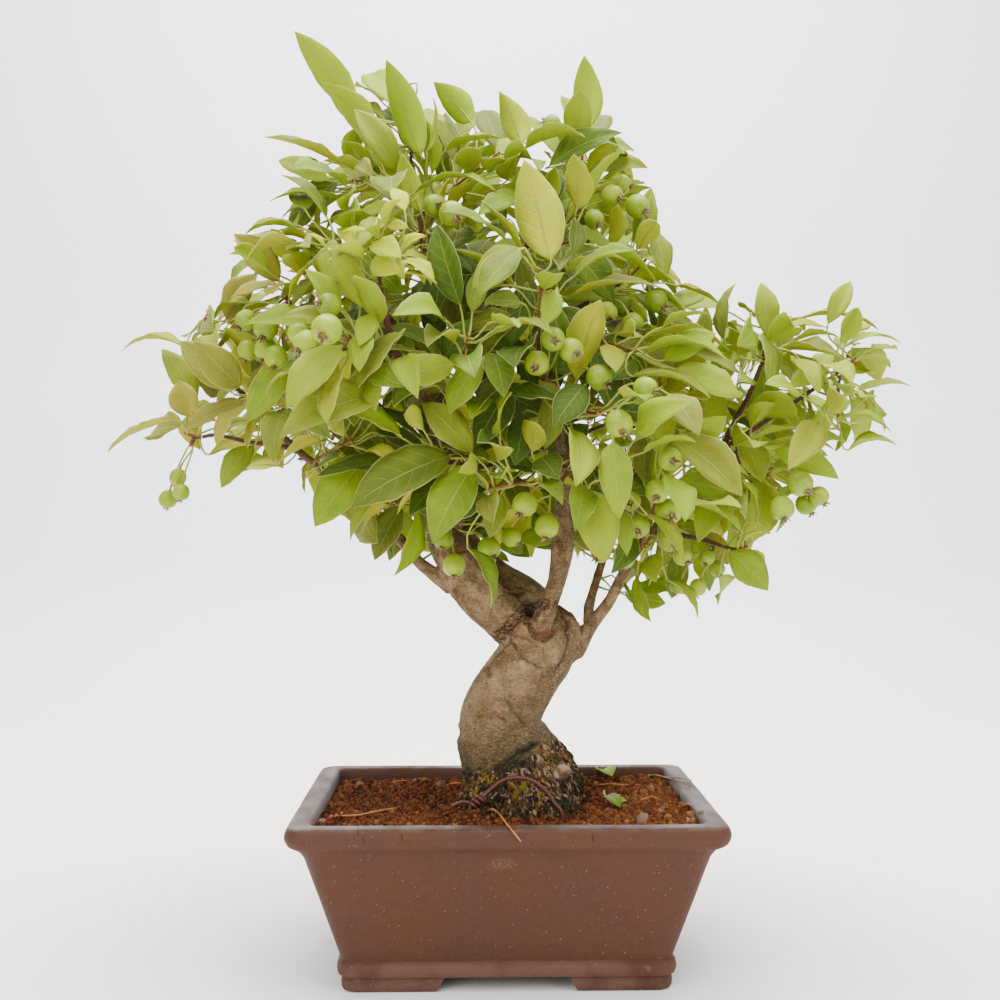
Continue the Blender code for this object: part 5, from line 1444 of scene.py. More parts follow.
@dataclass(frozen=True)
class Clay:
    """Unglazed brown clay, with pale grog in it, a smoother rim with dust and painted sheen on its top, a greyer base
    roll and feet, and painted shade inside the rim, in its pores and in its nicks.
    """

    body: Colour = (0.058, 0.0195, 0.0095)
    warm: Colour = (0.070, 0.0240, 0.0112)
    bloom: Colour = (0.100, 0.0440, 0.0290)
    dust_and_sheen: Colour = (0.095, 0.0600, 0.0440)
    grog: Colour = (0.30, 0.21, 0.14)
    dents: tuple[tuple[float, float], ...] = ((-0.0525, 0.0852), (-0.0712, 0.0834), (-0.0740, 0.0880), (0.0413, 0.0842))
    roughness: float = 0.56

    def material(self) -> bpy.types.Material:
        """The finish as a material."""
        paint = Surface("brown_clay")
        height = paint.place.split()[2]
        level = paint.attribute("level")
        mottle = paint.cloud(26, 4)
        colour = paint.mix(mottle.rise(0.35, 0.68), self.body, self.warm)
        roll = 1 - height.rise(0.0145, 0.0170)
        colour = paint.mix(roll * paint.cloud(40, 3, shift=3.0).rise(0.3, 0.6), colour, self.bloom)
        scuff = paint.cloud(130, 4, 0.65, (1, 1, 1.6), 4.0).rise(0.60, 0.70) * (roll * 0.8 + 0.12)
        colour = paint.mix(scuff, colour, self.dust_and_sheen)
        # Dust and painted sheen: where the rim's top faces up, the dusty tone is laid on in patches, paler and greyer
        # than the clay.
        sheen_smear = paint.cloud(60, 4, 0.6, (1, 0.5, 1), 7.0)
        colour = paint.mix(level.rise(0.35, 0.9) * sheen_smear.rise(0.35, 0.65) * 0.75, colour, self.dust_and_sheen)
        fine = paint.cloud(420, 2, 0.6)
        colour = paint.mix(fine.rise(0.35, 0.7) * 0.10, colour, self.dust_and_sheen)
        chosen = paint.cells(820, (1, 1, 0.8), output="Color").split()
        specks = paint.cells(820, (1, 1, 0.8)).rise(0.26, 0.12) * chosen[0].over(0.90) * chosen[1].rise(0.1, 1.0)
        pores = paint.cells(520, (1, 1, 1.3)).rise(0.2, 0.1) * paint.cells(520, (1, 1, 1.3), output="Color").split()[1].over(0.95)
        nicks = paint.cells(46, (1, 1, 0.6)).rise(0.10, 0.05) * paint.cells(46, (1, 1, 0.6), output="Color").split()[0].over(0.72)
        nicks = nicks * height.rise(0.079, 0.082)
        across, depth, _ = paint.place.split()
        for side, level_at in self.dents:
            aside, above = (across - side + (height - level_at) * 0.15) * 1900.0, (height - level_at) * 430.0
            nicks = nicks.most((1 - (aside * aside + above * above)).rise(0.0, 0.5) * depth.rise(-0.07, -0.08))
        colour = paint.mix(specks * 0.8, colour, self.grog)
        aside, above = (across + 0.0027) * 115.0, (height - 0.0697) * 260.0
        rub = (1 - (aside * aside + above * above)).rise(0.0, 1.0) * paint.cloud(900, 3, 0.7, shift=8.0).rise(0.42, 0.66)
        colour = paint.mix(rub * depth.rise(-0.06, -0.07) * 0.42, colour, (0.22, 0.13, 0.10))
        # Painted shade: the inner wall darkens from the rim's top down into the pot.
        inside = height.rise(0.0870, 0.0835) * paint.attribute("inner")
        colour = paint.mix(inside * 0.5, colour, (0.022, 0.009, 0.006))
        # Painted shade: the pores and the nicks, whose relief is pressed in below, are painted dark.
        colour = paint.mix(pores.most(nicks) * 0.7, colour, (0.022, 0.009, 0.006))
        rough = self.roughness + 0.2 * mottle.rise(0.3, 0.7) - level * (0.05 + 0.12 * sheen_smear.rise(0.35, 0.65))
        bumps = fine * 0.5 + paint.cloud(110, 3) + specks * 0.25 - pores - nicks * 2
        return paint.finish(colour, rough, paint.relief(bumps, 0.00035, 0.5), Specular_IOR_Level=0.25)


@dataclass(frozen=True)
class Crumb:
    """Red-brown granular soil, each grain with a tone of its own."""

    name: str = "soil_grains"
    dark: Colour = (0.040, 0.0125, 0.0050)
    middle: Colour = (0.160, 0.0480, 0.0145)
    light: Colour = (0.31, 0.135, 0.0440)

    def material(self) -> bpy.types.Material:
        """The finish as a material."""
        paint = Surface(self.name)
        across = paint.place.split()[0]
        tone = paint.attribute("tone") + across.rise(0.03, 0.095) * 0.26 + (paint.cloud(30, 2) - 0.5) * 0.6
        colour = paint.mix(tone.rise(0.0, 0.55), self.dark, self.middle)
        colour = paint.mix(tone.rise(0.72, 1.35), colour, self.light)
        grit = paint.cloud(1300, 3, 0.7)
        colour = paint.mix(grit.rise(0.55, 0.8) * 0.4, colour, self.light)
        colour = paint.mix(grit.rise(0.45, 0.2) * 0.5, colour, self.dark)
        return paint.finish(colour, 0.93, paint.relief(grit, 0.0006, 0.9), Specular_IOR_Level=0.15)


@dataclass(frozen=True)
class Bark:
    """Smooth tan-grey bark with fine lines, flaking at the foot, with scars, moss and lichen, and painted shade in its
    hollows and crevices, on its back and under the crown.
    """

    bright: Colour = (0.400, 0.285, 0.170)
    pale: Colour = (0.285, 0.185, 0.092)
    tan: Colour = (0.140, 0.083, 0.036)
    olive: Colour = (0.090, 0.062, 0.022)
    dark: Colour = (0.020, 0.011, 0.006)
    rust: Colour = (0.105, 0.040, 0.013)
    husk: Colour = (0.085, 0.044, 0.019)
    flake: Colour = (0.275, 0.175, 0.105)
    lichen: Colour = (0.225, 0.135, 0.014)
    moss: Colour = (0.015, 0.016, 0.006)
    green: Colour = (0.050, 0.070, 0.012)

    def plates(self, paint: Surface, lean: float, shift: float) -> Term:
        """The foot's long flakes: dark, tan, pinkish grey or mustard, with dark gaps between them.

        Args:
            paint: the material.
            lean: which way they run, in radians.
            shift: moves their tones, so that two sets differ.

        Returns:
            The colour.
        """
        shape = (1, 1, 0.34)
        tone, other, _ = paint.cells(560, shape, output="Color", lean=lean).split()
        tone = (tone + shift).part()
        colour = paint.mix(tone.rise(0.30, 0.42), self.dark, self.husk)
        colour = paint.mix(tone.rise(0.58, 0.68), colour, self.flake)
        patch = paint.cloud(75, 3, shift=shift)
        colour = paint.mix(other.over(0.50) * patch.rise(0.51, 0.60), colour, self.lichen)
        gap = paint.cells(560, shape, "DISTANCE_TO_EDGE", lean=lean).rise(0.10, 0.0)
        return paint.mix(gap * 0.85, colour, self.dark)

    def material(self) -> bpy.types.Material:
        """The finish as a material."""
        paint = Surface("bark")
        foot, crease, scar, shade, mossy, spot, leafy, collar, stub = (
            paint.attribute(name) for name in ("foot", "crease", "scar", "shade", "moss", "lichen", "olive", "collar", "stub"))
        across, _, height = paint.place.split()
        broad, mid, fine = paint.cloud(45, 3), paint.cloud(190, 4, 0.6), paint.cloud(900, 3, 0.65)
        colour = paint.mix(broad.rise(0.36, 0.62), self.tan, self.pale)
        colour = paint.mix(paint.cloud(120, 5, 0.68, shift=9.0).rise(0.52, 0.68) * 0.6, colour, self.bright)
        colour = paint.mix(paint.cloud(85, 5, 0.68, shift=5.0).rise(0.56, 0.70) * 0.45, colour, self.tan)
        colour = paint.mix(mid.rise(0.5, 0.72) * 0.5, colour, self.olive)
        colour = paint.mix(leafy * 0.6, colour, self.olive)
        lines = paint.cloud(300, 4, 0.6, (1, 1, 4.5), 2.0)
        colour = paint.mix(lines.rise(0.57, 0.76) * 0.42, colour, self.rust)
        dots = paint.cells(330, (1, 1, 1.9))
        pick = paint.cells(330, (1, 1, 1.9), output="Color").split()[0].over(0.45)
        colour = paint.mix(dots.rise(0.30, 0.12) * pick * 0.75 * (1 - foot), colour, (0.075, 0.034, 0.014))
        grime = (height + 0.45 * (across + 0.02) * -1.0).rise(0.152, 0.098)
        speckle = paint.cloud(420, 4, 0.7, (1, 1, 2.2), 6.0)
        colour = paint.mix(grime * 0.62, colour, self.olive)
        colour = paint.mix(grime * speckle.rise(0.58, 0.46) * 0.55, colour, self.dark)
        grit = paint.cloud(640, 4, 0.75, (1, 1, 1.6), 3.0)
        colour = paint.mix(grit.rise(0.52, 0.68) * 0.38 * (1 - foot), colour, (0.080, 0.039, 0.017))
        colour = paint.mix(grit.rise(0.49, 0.34) * 0.60 * (1 - foot) * (1 - grime * 0.6), colour, self.bright)
        hairs = paint.cells(250, (1, 1, 3.2), "DISTANCE_TO_EDGE").rise(0.035, 0.0) * mid.rise(0.44, 0.60)
        colour = paint.mix(hairs * 0.7 * (1 - foot), colour, self.dark)
        # Darker towards the crown: browner bark higher up, with painted shade under the crown mixed in.
        high = height.rise(0.162, 0.205)
        colour = paint.mix(high * (0.20 + 0.35 * mid.rise(0.42, 0.60)), colour, (0.072, 0.037, 0.014))
        flank = across.rise(0.034, 0.046) * foot
        right = across.rise(0.004, 0.020)
        plates = paint.mix(right, self.plates(paint, 0.1, 0.0), self.plates(paint, 0.55, 0.37))
        colour = paint.mix(foot, colour, plates)
        colour = paint.mix(flank * 0.75, colour, (0.026, 0.028, 0.018))
        colour = paint.mix(stub, colour, paint.mix(mid.rise(0.50, 0.62), (0.37, 0.24, 0.165), (0.17, 0.085, 0.045)))
        scales = paint.cells(430, (1, 1, 0.34), "DISTANCE_TO_EDGE", lean=-0.85).rise(0.16, 0.02)
        scaly = paint.mix(scales, paint.mix(speckle.rise(0.4, 0.6), self.rust, self.tan), self.dark)
        colour = paint.mix(collar.rise(0.06, 0.50) * speckle.rise(0.66, 0.46), colour, scaly)
        colour = paint.mix(spot * speckle.rise(0.34, 0.46), colour, self.lichen)
        mossed = paint.mix(fine.rise(0.52, 0.7) * 0.7, self.moss, self.green)
        colour = paint.mix(mossy * mid.rise(0.28, 0.5), colour, mossed)
        colour = paint.mix(scar * mid.rise(0.25, 0.55) * 0.8, colour, self.rust)
        # Painted shade in the crevices between the foot's flakes.
        colour = paint.mix(crease * 0.8, colour, self.dark)
        # Painted shade in the marked hollows and on the trunk's back.
        colour = paint.mix(shade * 0.75, colour, self.dark)
        bumps = mid * 0.7 + fine * 0.35 - lines.rise(0.5, 0.75) * 0.6 + foot * fine * 0.8 - collar * scales * 0.6 - hairs * 0.6
        return paint.finish(colour, 0.84, paint.relief(bumps, 0.0010, 0.75), Specular_IOR_Level=0.25)


@dataclass(frozen=True)
class Shard:
    """The loose flakes at the foot and its moss tufts, each with a tone of its own."""

    name: str
    first: Colour
    second: Colour
    third: Colour
    spots: float

    def material(self) -> bpy.types.Material:
        """The finish as a material."""
        paint = Surface(self.name)
        tone = paint.attribute("tone")
        colour = paint.mix(tone.rise(0.22, 0.42), self.first, self.second)
        colour = paint.mix(tone.rise(0.64, 0.78), colour, self.third)
        patch = paint.cloud(95, 3, shift=2.0)
        colour = paint.mix(patch.rise(0.51, 0.59) * (tone * 5.0).part().over(0.35) * self.spots, colour, (0.215, 0.125, 0.014))
        fine = paint.cloud(1100, 3, 0.65)
        colour = paint.mix(fine.rise(0.52, 0.72) * 0.5, colour, self.first)
        return paint.finish(colour, 0.9, paint.relief(fine, 0.0004, 0.8), Specular_IOR_Level=0.2)


@dataclass(frozen=True)
class Shoot:
    """The bark of shoots, spurs and stalks: green where young, with red-brown nodes."""

    green: Colour = (0.330, 0.360, 0.055)
    ruddy: Colour = (0.190, 0.062, 0.017)
    brown: Colour = (0.082, 0.037, 0.016)
    limb: Colour = (0.158, 0.089, 0.033)

    def material(self) -> bpy.types.Material:
        """The finish as a material; the mesh's age runs from 0, green, to 1, brown."""
        paint = Surface("shoot_bark")
        age = paint.attribute("age")
        colour = paint.mix(age.rise(0.1, 0.45), self.green, self.ruddy)
        colour = paint.mix(age.rise(0.45, 0.8), colour, self.brown)
        colour = paint.mix(age.rise(0.85, 1.0), colour, self.limb)
        colour = paint.mix(paint.cloud(110, 4, 0.65, (1, 1, 2.2), 3.0).rise(0.44, 0.60) * age.rise(0.8, 1.0) * 0.5, colour, self.brown)
        colour = paint.mix(paint.cloud(240, 4, 0.6).rise(0.48, 0.62) * age * 0.5, colour, (0.032, 0.016, 0.009))
        fine = paint.cloud(700, 3, 0.6)
        colour = paint.mix(fine.rise(0.55, 0.75) * 0.35, colour, (0.22, 0.16, 0.09))
        return paint.finish(colour, 0.66, paint.relief(fine, 0.0003, 0.6), Specular_IOR_Level=0.25)


@dataclass(frozen=True)
class Wire:
    """Brown anodised aluminium wire."""

    colour: Colour = (0.098, 0.026, 0.017)
    pale: Colour = (0.20, 0.075, 0.055)

    def material(self) -> bpy.types.Material:
        """The finish as a material."""
        paint = Surface("anodised_wire")
        worn = paint.cloud(260, 3)
        colour = paint.mix(worn.rise(0.58, 0.78) * 0.35, self.colour, self.pale)
        return paint.finish(colour, 0.36 + 0.15 * worn, paint.relief(paint.cloud(900, 2), 0.0001, 0.5), Metallic=0.35)


@dataclass(frozen=True)
class Blade:
    """A leaf blade: its upper side, its pale under side, its veins and its fine pale margin."""

    name: str
    deep: Colour
    fresh: Colour
    under: Colour
    vein: Colour
    margin: Colour = (0.56, 0.56, 0.20)
    bronze: Colour = (0.40, 0.32, 0.040)
    brown: Colour = (0.20, 0.065, 0.012)
    veins: float = 6.5
    through: float = 0.37
    shine: Colour = (0.37, 0.46, 0.028)

    def material(self) -> bpy.types.Material:
        """The finish as a material, on the attributes that each leaf's mesh carries."""
        paint = Surface(self.name)
        share, across, side, tone, age = (paint.attribute(name) for name in ("share", "across", "side", "tone", "age"))
        off = abs(across)
        under = side.rise(1.4, 1.6)
        along = (share - 0.24 * off ** 1.3) * self.veins + 0.5 * across.over(0)
        lateral = abs(along.part() - 0.5).rise(0.080, 0.020) * off.rise(1.0, 0.7) * share.rise(0.0, 0.06)
        midrib = off.rise(0.055, 0.014)
        ribs = midrib.most(lateral * 0.55)
        net = paint.cells(900, feature="DISTANCE_TO_EDGE").rise(0.09, 0.0) * 0.35
        patch = paint.cloud(70, 3)
        # The leaf's tone, which picks deep or fresh green, carries painted shade and painted light from where the leaf
        # stands.
        top = paint.mix((tone + (patch - 0.5) * 0.6).rise(0.0, 1.0), self.deep, self.fresh)
        top = paint.mix((midrib * 0.70 + lateral * 0.32 + net * 0.14) * (0.55 + 0.45 * tone), top, self.vein)
        top = paint.mix(age * (0.55 + 0.45 * off), top, self.bronze)
        back = paint.mix((tone * 0.6 + patch * 0.5).rise(0.1, 1.0), self.under, self.fresh)
        back = paint.mix(ribs * 0.6 + net * 0.2, back, self.vein)
        back = paint.mix(age * 0.55, back, self.bronze)
        colour = paint.mix(under, top, back)
        colour = paint.mix(off.rise(0.935, 0.98) * 0.7, colour, self.margin)
        spots = paint.cells(260, output="Color").split()[0].over(0.985) * paint.cells(260).rise(0.3, 0.15)
        burnt = spots.most(off.rise(0.9, 1.0) * patch.rise(0.64, 0.72))
        colour = paint.mix(burnt * (0.25 + age) * 0.7, colour, self.brown)
        height = paint.mix(under, 1 - ribs, ribs, NUMBER) + net * 0.3 + patch * 0.3
        return paint.finish(colour, 0.55 + 0.15 * under, paint.relief(height, 0.0007, 0.6),
                            (self.through * (0.35 + 0.65 * tone) * (1 - age * 0.5), self.shine), Specular_IOR_Level=0.14)


@dataclass(frozen=True)
class Skin:
    """The skin of an unripe fruit: green with pale dots and a light bloom, russet round its ends."""

    green: Colour = (0.285, 0.375, 0.012)
    pale: Colour = (0.40, 0.47, 0.016)
    shade: Colour = (0.160, 0.250, 0.006)
    russet: Colour = (0.16, 0.070, 0.020)

    def material(self) -> bpy.types.Material:
        """The finish as a material; the mesh gives the share of the way from its stalk to its calyx."""
        paint = Surface("fruit_skin")
        way, tone = paint.attribute("share"), paint.attribute("tone")
        colour = paint.mix((paint.cloud(120, 3) + (tone - 0.5) * 0.5).rise(0.25, 0.75), self.shade, self.green)
        colour = paint.mix(paint.cloud(300, 3, 0.6).rise(0.42, 0.72) * 0.35, colour, self.pale)
        dots = paint.cells(620).rise(0.22, 0.10) * paint.cells(620, output="Color").split()[0].over(0.5)
        colour = paint.mix(dots * 0.4, colour, (0.50, 0.50, 0.08))
        ends = way.rise(0.94, 0.99).most(way.rise(0.05, 0.0))
        colour = paint.mix(ends * 0.75, colour, self.russet)
        return paint.finish(colour, 0.44, paint.relief(paint.cloud(260, 2) + dots * 0.3, 0.0003, 0.5),
                            Specular_IOR_Level=0.3)


@dataclass(frozen=True)
class Plain:
    """A finish of two colours in soft patches, for small things."""

    name: str
    first: Colour
    second: Colour
    roughness: float = 0.8
    scale: float = 400.0
    depth: float = 0.0004

    def material(self) -> bpy.types.Material:
        """The finish as a material."""
        paint = Surface(self.name)
        patch = paint.cloud(self.scale, 4, 0.6)
        colour = paint.mix(patch.rise(0.35, 0.65), self.first, self.second)
        return paint.finish(colour, self.roughness, paint.relief(patch, self.depth, 0.7))


# Geometry Nodes and meshes

class Growth(Nodes):
    """A Geometry Nodes tree in the making, with inputs by name."""

    def __init__(self, name: str) -> None:
        """Start an empty tree that takes and gives a mesh."""
        tree = bpy.data.node_groups.new(name, "GeometryNodeTree")
        tree.interface.new_socket("Geometry", in_out="OUTPUT", socket_type="NodeSocketGeometry")
        super().__init__(tree)
        self.start = tree.nodes.new("NodeGroupInput")
        self.inputs: dict[str, str] = {}
        self.own = self.input("Geometry", "Geometry")

    def input(self, name: str, kind: str) -> Term:
        """Add an input.

        Args:
            name: its name.
            kind: its type, such as Float or Object.

        Returns:
            Its value.
        """
        made = self.tree.interface.new_socket(name, in_out="INPUT", socket_type="NodeSocket" + kind)
        self.inputs[name] = made.identifier
        return Term(self, self.start.outputs[name])

    def named(self, name: str, kind: str = "FLOAT") -> Term:
        """An attribute of the mesh by its name."""
        return self.node("GeometryNodeInputNamedAttribute", {"data_type": kind}, {"Name": name})

    def shape(self, name: str) -> Term:
        """The geometry of an object that is given by name."""
        return self.node("GeometryNodeObjectInfo", {}, {"Object": self.input(name, "Object")}, "Geometry")

    def sweep(self, sides: Term) -> Term:
        """A round skin along the mesh's own lines, as thick as their girth, with closed ends."""
        curve = self.node("GeometryNodeMeshToCurve", {}, {0: self.own})
        ring = self.node("GeometryNodeCurvePrimitiveCircle", {"mode": "RADIUS"}, {"Resolution": sides, "Radius": 1.0})
        return self.node("GeometryNodeCurveToMesh", {}, {0: curve, 1: ring, "Scale": self.named("girth"),
                                                         "Fill Caps": True})

    def end(self, shapes: list[Term], finishes: dict[str, Term | bool]) -> None:
        """Join the shapes, make their copies real and give them their finishes.

        Args:
            shapes: the shapes to join.
            finishes: each finish's input name, and where it goes.
        """
        joined = self.tree.nodes.new("GeometryNodeJoinGeometry")
        for shape in shapes:
            self.tree.links.new(shape.socket, joined.inputs[0])
        result = self.node("GeometryNodeRealizeInstances", {}, {0: Term(self, joined.outputs[0])})
        for name, where in finishes.items():
            values = {"Geometry": result, "Selection": where, "Material": self.input(name, "Material")}
            result = self.node("GeometryNodeSetMaterial", {}, values)
        self.tree.links.new(result.socket, self.tree.nodes.new("NodeGroupOutput").inputs[0])

    def grow(self, name: str, mesh: bpy.types.Mesh, **values: object) -> bpy.types.Object:
        """Run the tree on a mesh and keep the result as a plain mesh.

        Args:
            name: the new piece's name.
            mesh: the mesh to start from.
            values: the tree's inputs, with _ for a space.

        Returns:
            The piece.
        """
        piece = shown(name, mesh)
        modifier = piece.modifiers.new("growth", "NODES")
        modifier.node_group = self.tree
        for key, value in values.items():
            modifier[self.inputs[key.replace("_", " ")]] = value
        made = bpy.data.meshes.new_from_object(piece.evaluated_get(bpy.context.evaluated_depsgraph_get()))
        piece.modifiers.clear()
        piece.data = made
        made.name = name
        return piece


@dataclass
class Chain:
    """A line to be swept: its points, and at each how thick and how brown it is."""

    points: list[Vector]
    girths: list[float]
    ages: list[float]


def shown(name: str, mesh: bpy.types.Mesh) -> bpy.types.Object:
    """A mesh as an object of the scene."""
    made = bpy.data.objects.new(name, mesh)
    bpy.context.scene.collection.objects.link(made)
    return made


def solid_mesh(name: str, solid: Solid) -> bpy.types.Mesh:
    """A closed body as a mesh, its faces smooth."""
    mesh = bpy.data.meshes.new(name)
    mesh.from_pydata([tuple(vert) for vert in solid[0]], [], solid[1])
    mesh.shade_smooth()
    return mesh


def note(mesh: bpy.types.Mesh, name: str, values: "list | np.ndarray") -> None:
    """Store a number or a vector at each of a mesh's points."""
    values = np.asarray(values, np.float32)
    kind = ("FLOAT", "value") if values.ndim == 1 else ("FLOAT_VECTOR", "vector")
    mesh.attributes.new(name, kind[0], "POINT").data.foreach_set(kind[1], values.ravel())


def line_mesh(name: str, chains: list[Chain]) -> bpy.types.Mesh:
    """A mesh of lines to be swept.

    Args:
        name: its name.
        chains: the lines.

    Returns:
        The mesh.
    """
    points: list[tuple[float, ...]] = []
    edges: list[tuple[int, int]] = []
    for chain in chains:
        edges += [(len(points) + i, len(points) + i + 1) for i in range(len(chain.points) - 1)]
        points += [tuple(point) for point in chain.points]
    mesh = bpy.data.meshes.new(name)
    mesh.from_pydata(points, edges, [])
    note(mesh, "girth", [girth for chain in chains for girth in chain.girths])
    note(mesh, "age", [age for chain in chains for age in chain.ages])
    return mesh


def point_mesh(name: str, rows: list[dict[str, float | Vector]]) -> bpy.types.Mesh:
    """A mesh of points at the origin that carry what each copy needs.

    Args:
        name: its name.
        rows: for each point its attributes; "at" moves the point.

    Returns:
        The mesh.
    """
    mesh = bpy.data.meshes.new(name)
    mesh.from_pydata([tuple(row.get("at", (0, 0, 0))) for row in rows], [], [])
    for key in rows[0]:
        if key != "at":
            note(mesh, key, [row[key] for row in rows])
    return mesh


def bend(start: Vector, out: Vector, end: Vector, into: Vector, spans: int) -> list[Vector]:
    """A curve that leaves one point one way and comes to another another way.

    Args:
        start: the first point.
        out: the way out of it.
        end: the last point.
        into: the way into it.
        spans: how many spans the curve has.

    Returns:
        The points.
    """
    reach = (end - start).length
    a, b = start + out * reach * 0.35, end - into * reach * 0.38
    steps = [k / spans for k in range(spans + 1)]
    return [start * (1 - t) ** 3 + a * 3 * t * (1 - t) ** 2 + b * 3 * t * t * (1 - t) + end * t ** 3 for t in steps]


def keep(piece: bpy.types.Object, slot: str, *nodes: str) -> bpy.types.Object:
    """Hand a finished piece to the frame, and report it.

    Args:
        piece: the piece.
        slot: not used.
        nodes: the solids that it stands for.

    Returns:
        The piece.
    """
    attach(piece, "root")
    if nodes:
        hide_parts(*nodes)
    LOG.info("%s: %d faces", piece.name, len(piece.data.polygons))
    return piece


def drop(*things: bpy.types.Object) -> None:
    """Take helper objects out of the scene."""
    for thing in things:
        bpy.data.objects.remove(thing)


def sprung_leaf(foot: Vector, out: Vector, along: Vector, size: float, draw: random.Random) -> Leaf:
    """A leaf by the rule: out from its stem, then over towards the crown's outside and down.

    Args:
        foot: where its petiole leaves the stem.
        out: the way out of the stem.
        along: the stem's own way.
        size: the shoot's leaf size.
        draw: the seeded draw.

    Returns:
        The leaf.
    """
    out = (out + along.cross(out) * draw.uniform(-0.5, 0.5)).normalized()
    away = (Matrix.Diagonal((1, 1, 0.6)) @ (foot - CROWN_CENTRE)).normalized()
    petiole = (along * draw.uniform(0.2, 0.9) + out + UP * 0.25 + away * 0.2).normalized()
    base = foot + petiole * draw.uniform(13, 25) * size * MM
    heading = petiole + out * 0.3 + away * 0.45 - UP * draw.uniform(0.0, 0.75)
    length = draw.uniform(24, 48) * size * MM
    face = UP + away * 0.55 + Vector([draw.uniform(-0.5, 0.5) for _ in range(3)])
    return Leaf(foot, base, base + heading.normalized() * length, face, length * draw.uniform(0.42, 0.5),
                draw.uniform(0.03, 0.13), draw.uniform(0.2, 0.55), draw.uniform(0, math.tau))


def draped_leaf(foot: Vector, out: Vector, along: Vector, size: float, draw: random.Random) -> Leaf:
    """A leaf that hangs to one side with its broad face turned out of the crown.

    Args:
        foot: where its petiole leaves the stem.
        out: the way out of the stem.
        along: the stem's own way.
        size: the shoot's leaf size.
        draw: the seeded draw.

    Returns:
        The leaf.
    """
    away = foot - CROWN_CENTRE
    away = Vector((away.x / CROWN_HALF.x, away.y / CROWN_HALF.y, 0.35 * away.z / CROWN_HALF.z))
    away = (away + Vector((0, -0.15, 0))).normalized()
    aside = away.cross(UP).normalized() * draw.choice((-1, 1))
    petiole = (out + along * draw.uniform(0.1, 0.7) + away * 0.5 + UP * draw.uniform(-0.1, 0.4)).normalized()
    base = foot + petiole * draw.uniform(11, 24) * size * MM
    heading = aside * draw.uniform(0.0, 1.0) + petiole * 0.3 + away * 0.15 - UP * draw.uniform(0.15, 1.0)
    length = (22 + 30 * draw.random()) * size * MM
    face = away + UP * draw.uniform(0.0, 0.9) + Vector([draw.uniform(-0.45, 0.45) for _ in range(3)])
    return Leaf(foot, base, base + heading.normalized() * length, face, length * draw.uniform(0.46, 0.56),
                draw.uniform(0.03, 0.10), draw.uniform(0.05, 0.32), draw.uniform(0, math.tau))


def reaching_leaf(root: Vector, foot: Vector, middle: Vector, size: float, draw: random.Random) -> Leaf | None:
    """A leaf whose blade lies over a place near its stem.

    Args:
        root: the middle of the stem.
        foot: where its petiole leaves the stem.
        middle: where the middle of its blade comes.
        size: the leaf's size.
        draw: the seeded draw.

    Returns:
        The leaf, unless its petiole would be too short, too long or turned back.
    """
    way = (middle - foot).normalized()
    heading = way + UP * draw.uniform(-0.9, 0.4) + Vector([draw.uniform(-0.6, 0.6) for _ in range(3)])
    half = heading.normalized() * draw.uniform(12, 21) * size * MM
    petiole = middle - half - foot
    if not 6 * MM < petiole.length < 33 * MM or petiole.dot(half) < 0 or petiole.dot(foot - root) < 0:
        return None
    face = UP * draw.uniform(0.2, 1.0) - Vector((0, draw.uniform(0.1, 1.0), 0))
    face += (middle - CROWN_CENTRE).normalized() * 0.4 + Vector([draw.uniform(-0.4, 0.4) for _ in range(3)])
    return Leaf(foot, middle - half, middle + half, face, half.length * draw.uniform(0.94, 1.14),
                draw.uniform(0.03, 0.10), draw.uniform(0.06, 0.34), draw.uniform(0, math.tau))


# The crown

@dataclass
class Cover:
    """Which places of the front view have leaves."""

    cell: float = 6.0
    rim: float = 21.0
    filled: set[tuple[int, int]] = field(default_factory=set)
    guarded: dict[tuple[int, int], float] = field(default_factory=dict)

    def guard(self, places: set[tuple[int, int]], depth: float) -> None:
        """Keep new leaves from hiding what shows at these places, at this depth."""
        for place in places:
            self.guarded[place] = min(self.guarded.get(place, depth), depth)

    def hides(self, leaf: Leaf, places: set[tuple[int, int]]) -> bool:
        """Whether a leaf over these places would hide something that is to show."""
        depth = leaf.point(0.5, 0, 0).y
        return any(depth < self.guarded.get(place, -1.0) for place in places)

    def round_places(self, middle: Vector, radius: float) -> set[tuple[int, int]]:
        """The places that a ball lies over."""
        across, down = in_view(middle)
        reach = radius / MM * 1.8
        steps = [reach * k / 3 for k in range(-3, 4)]
        return {(int((across + x) / self.cell), int((down + y) / self.cell)) for x in steps for y in steps
                if math.hypot(x, y) <= reach}

    def open_places(self) -> list[tuple[int, int]]:
        """The places well inside the crown's outline that no leaf lies over yet."""
        found = []
        for across in range(int(90 / self.cell), int(920 / self.cell)):
            for down in range(int(50 / self.cell), int(630 / self.cell)):
                place = (across, down)
                middle = [(part + 0.5) * self.cell for part in place]
                round_it = ((0, 0), (self.rim, 0), (-self.rim, 0), (0, self.rim), (0, -self.rim))
                if place not in self.filled and all(inside_outline(middle[0] + x, middle[1] + y) for x, y in round_it):
                    found.append(place)
        return found

    def places(self, leaf: Leaf) -> set[tuple[int, int]]:
        """The places that a leaf's blade lies over.

        Args:
            leaf: the leaf.

        Returns:
            The places, as numbers across and down.
        """
        spots = [in_view(leaf.point(share, across, 0)) for share in (0.12, 0.28, 0.44, 0.6, 0.76, 0.9)
                 for across in (-0.8, -0.4, 0.0, 0.4, 0.8)]
        return {(int(across / self.cell), int(down / self.cell)) for across, down in spots}


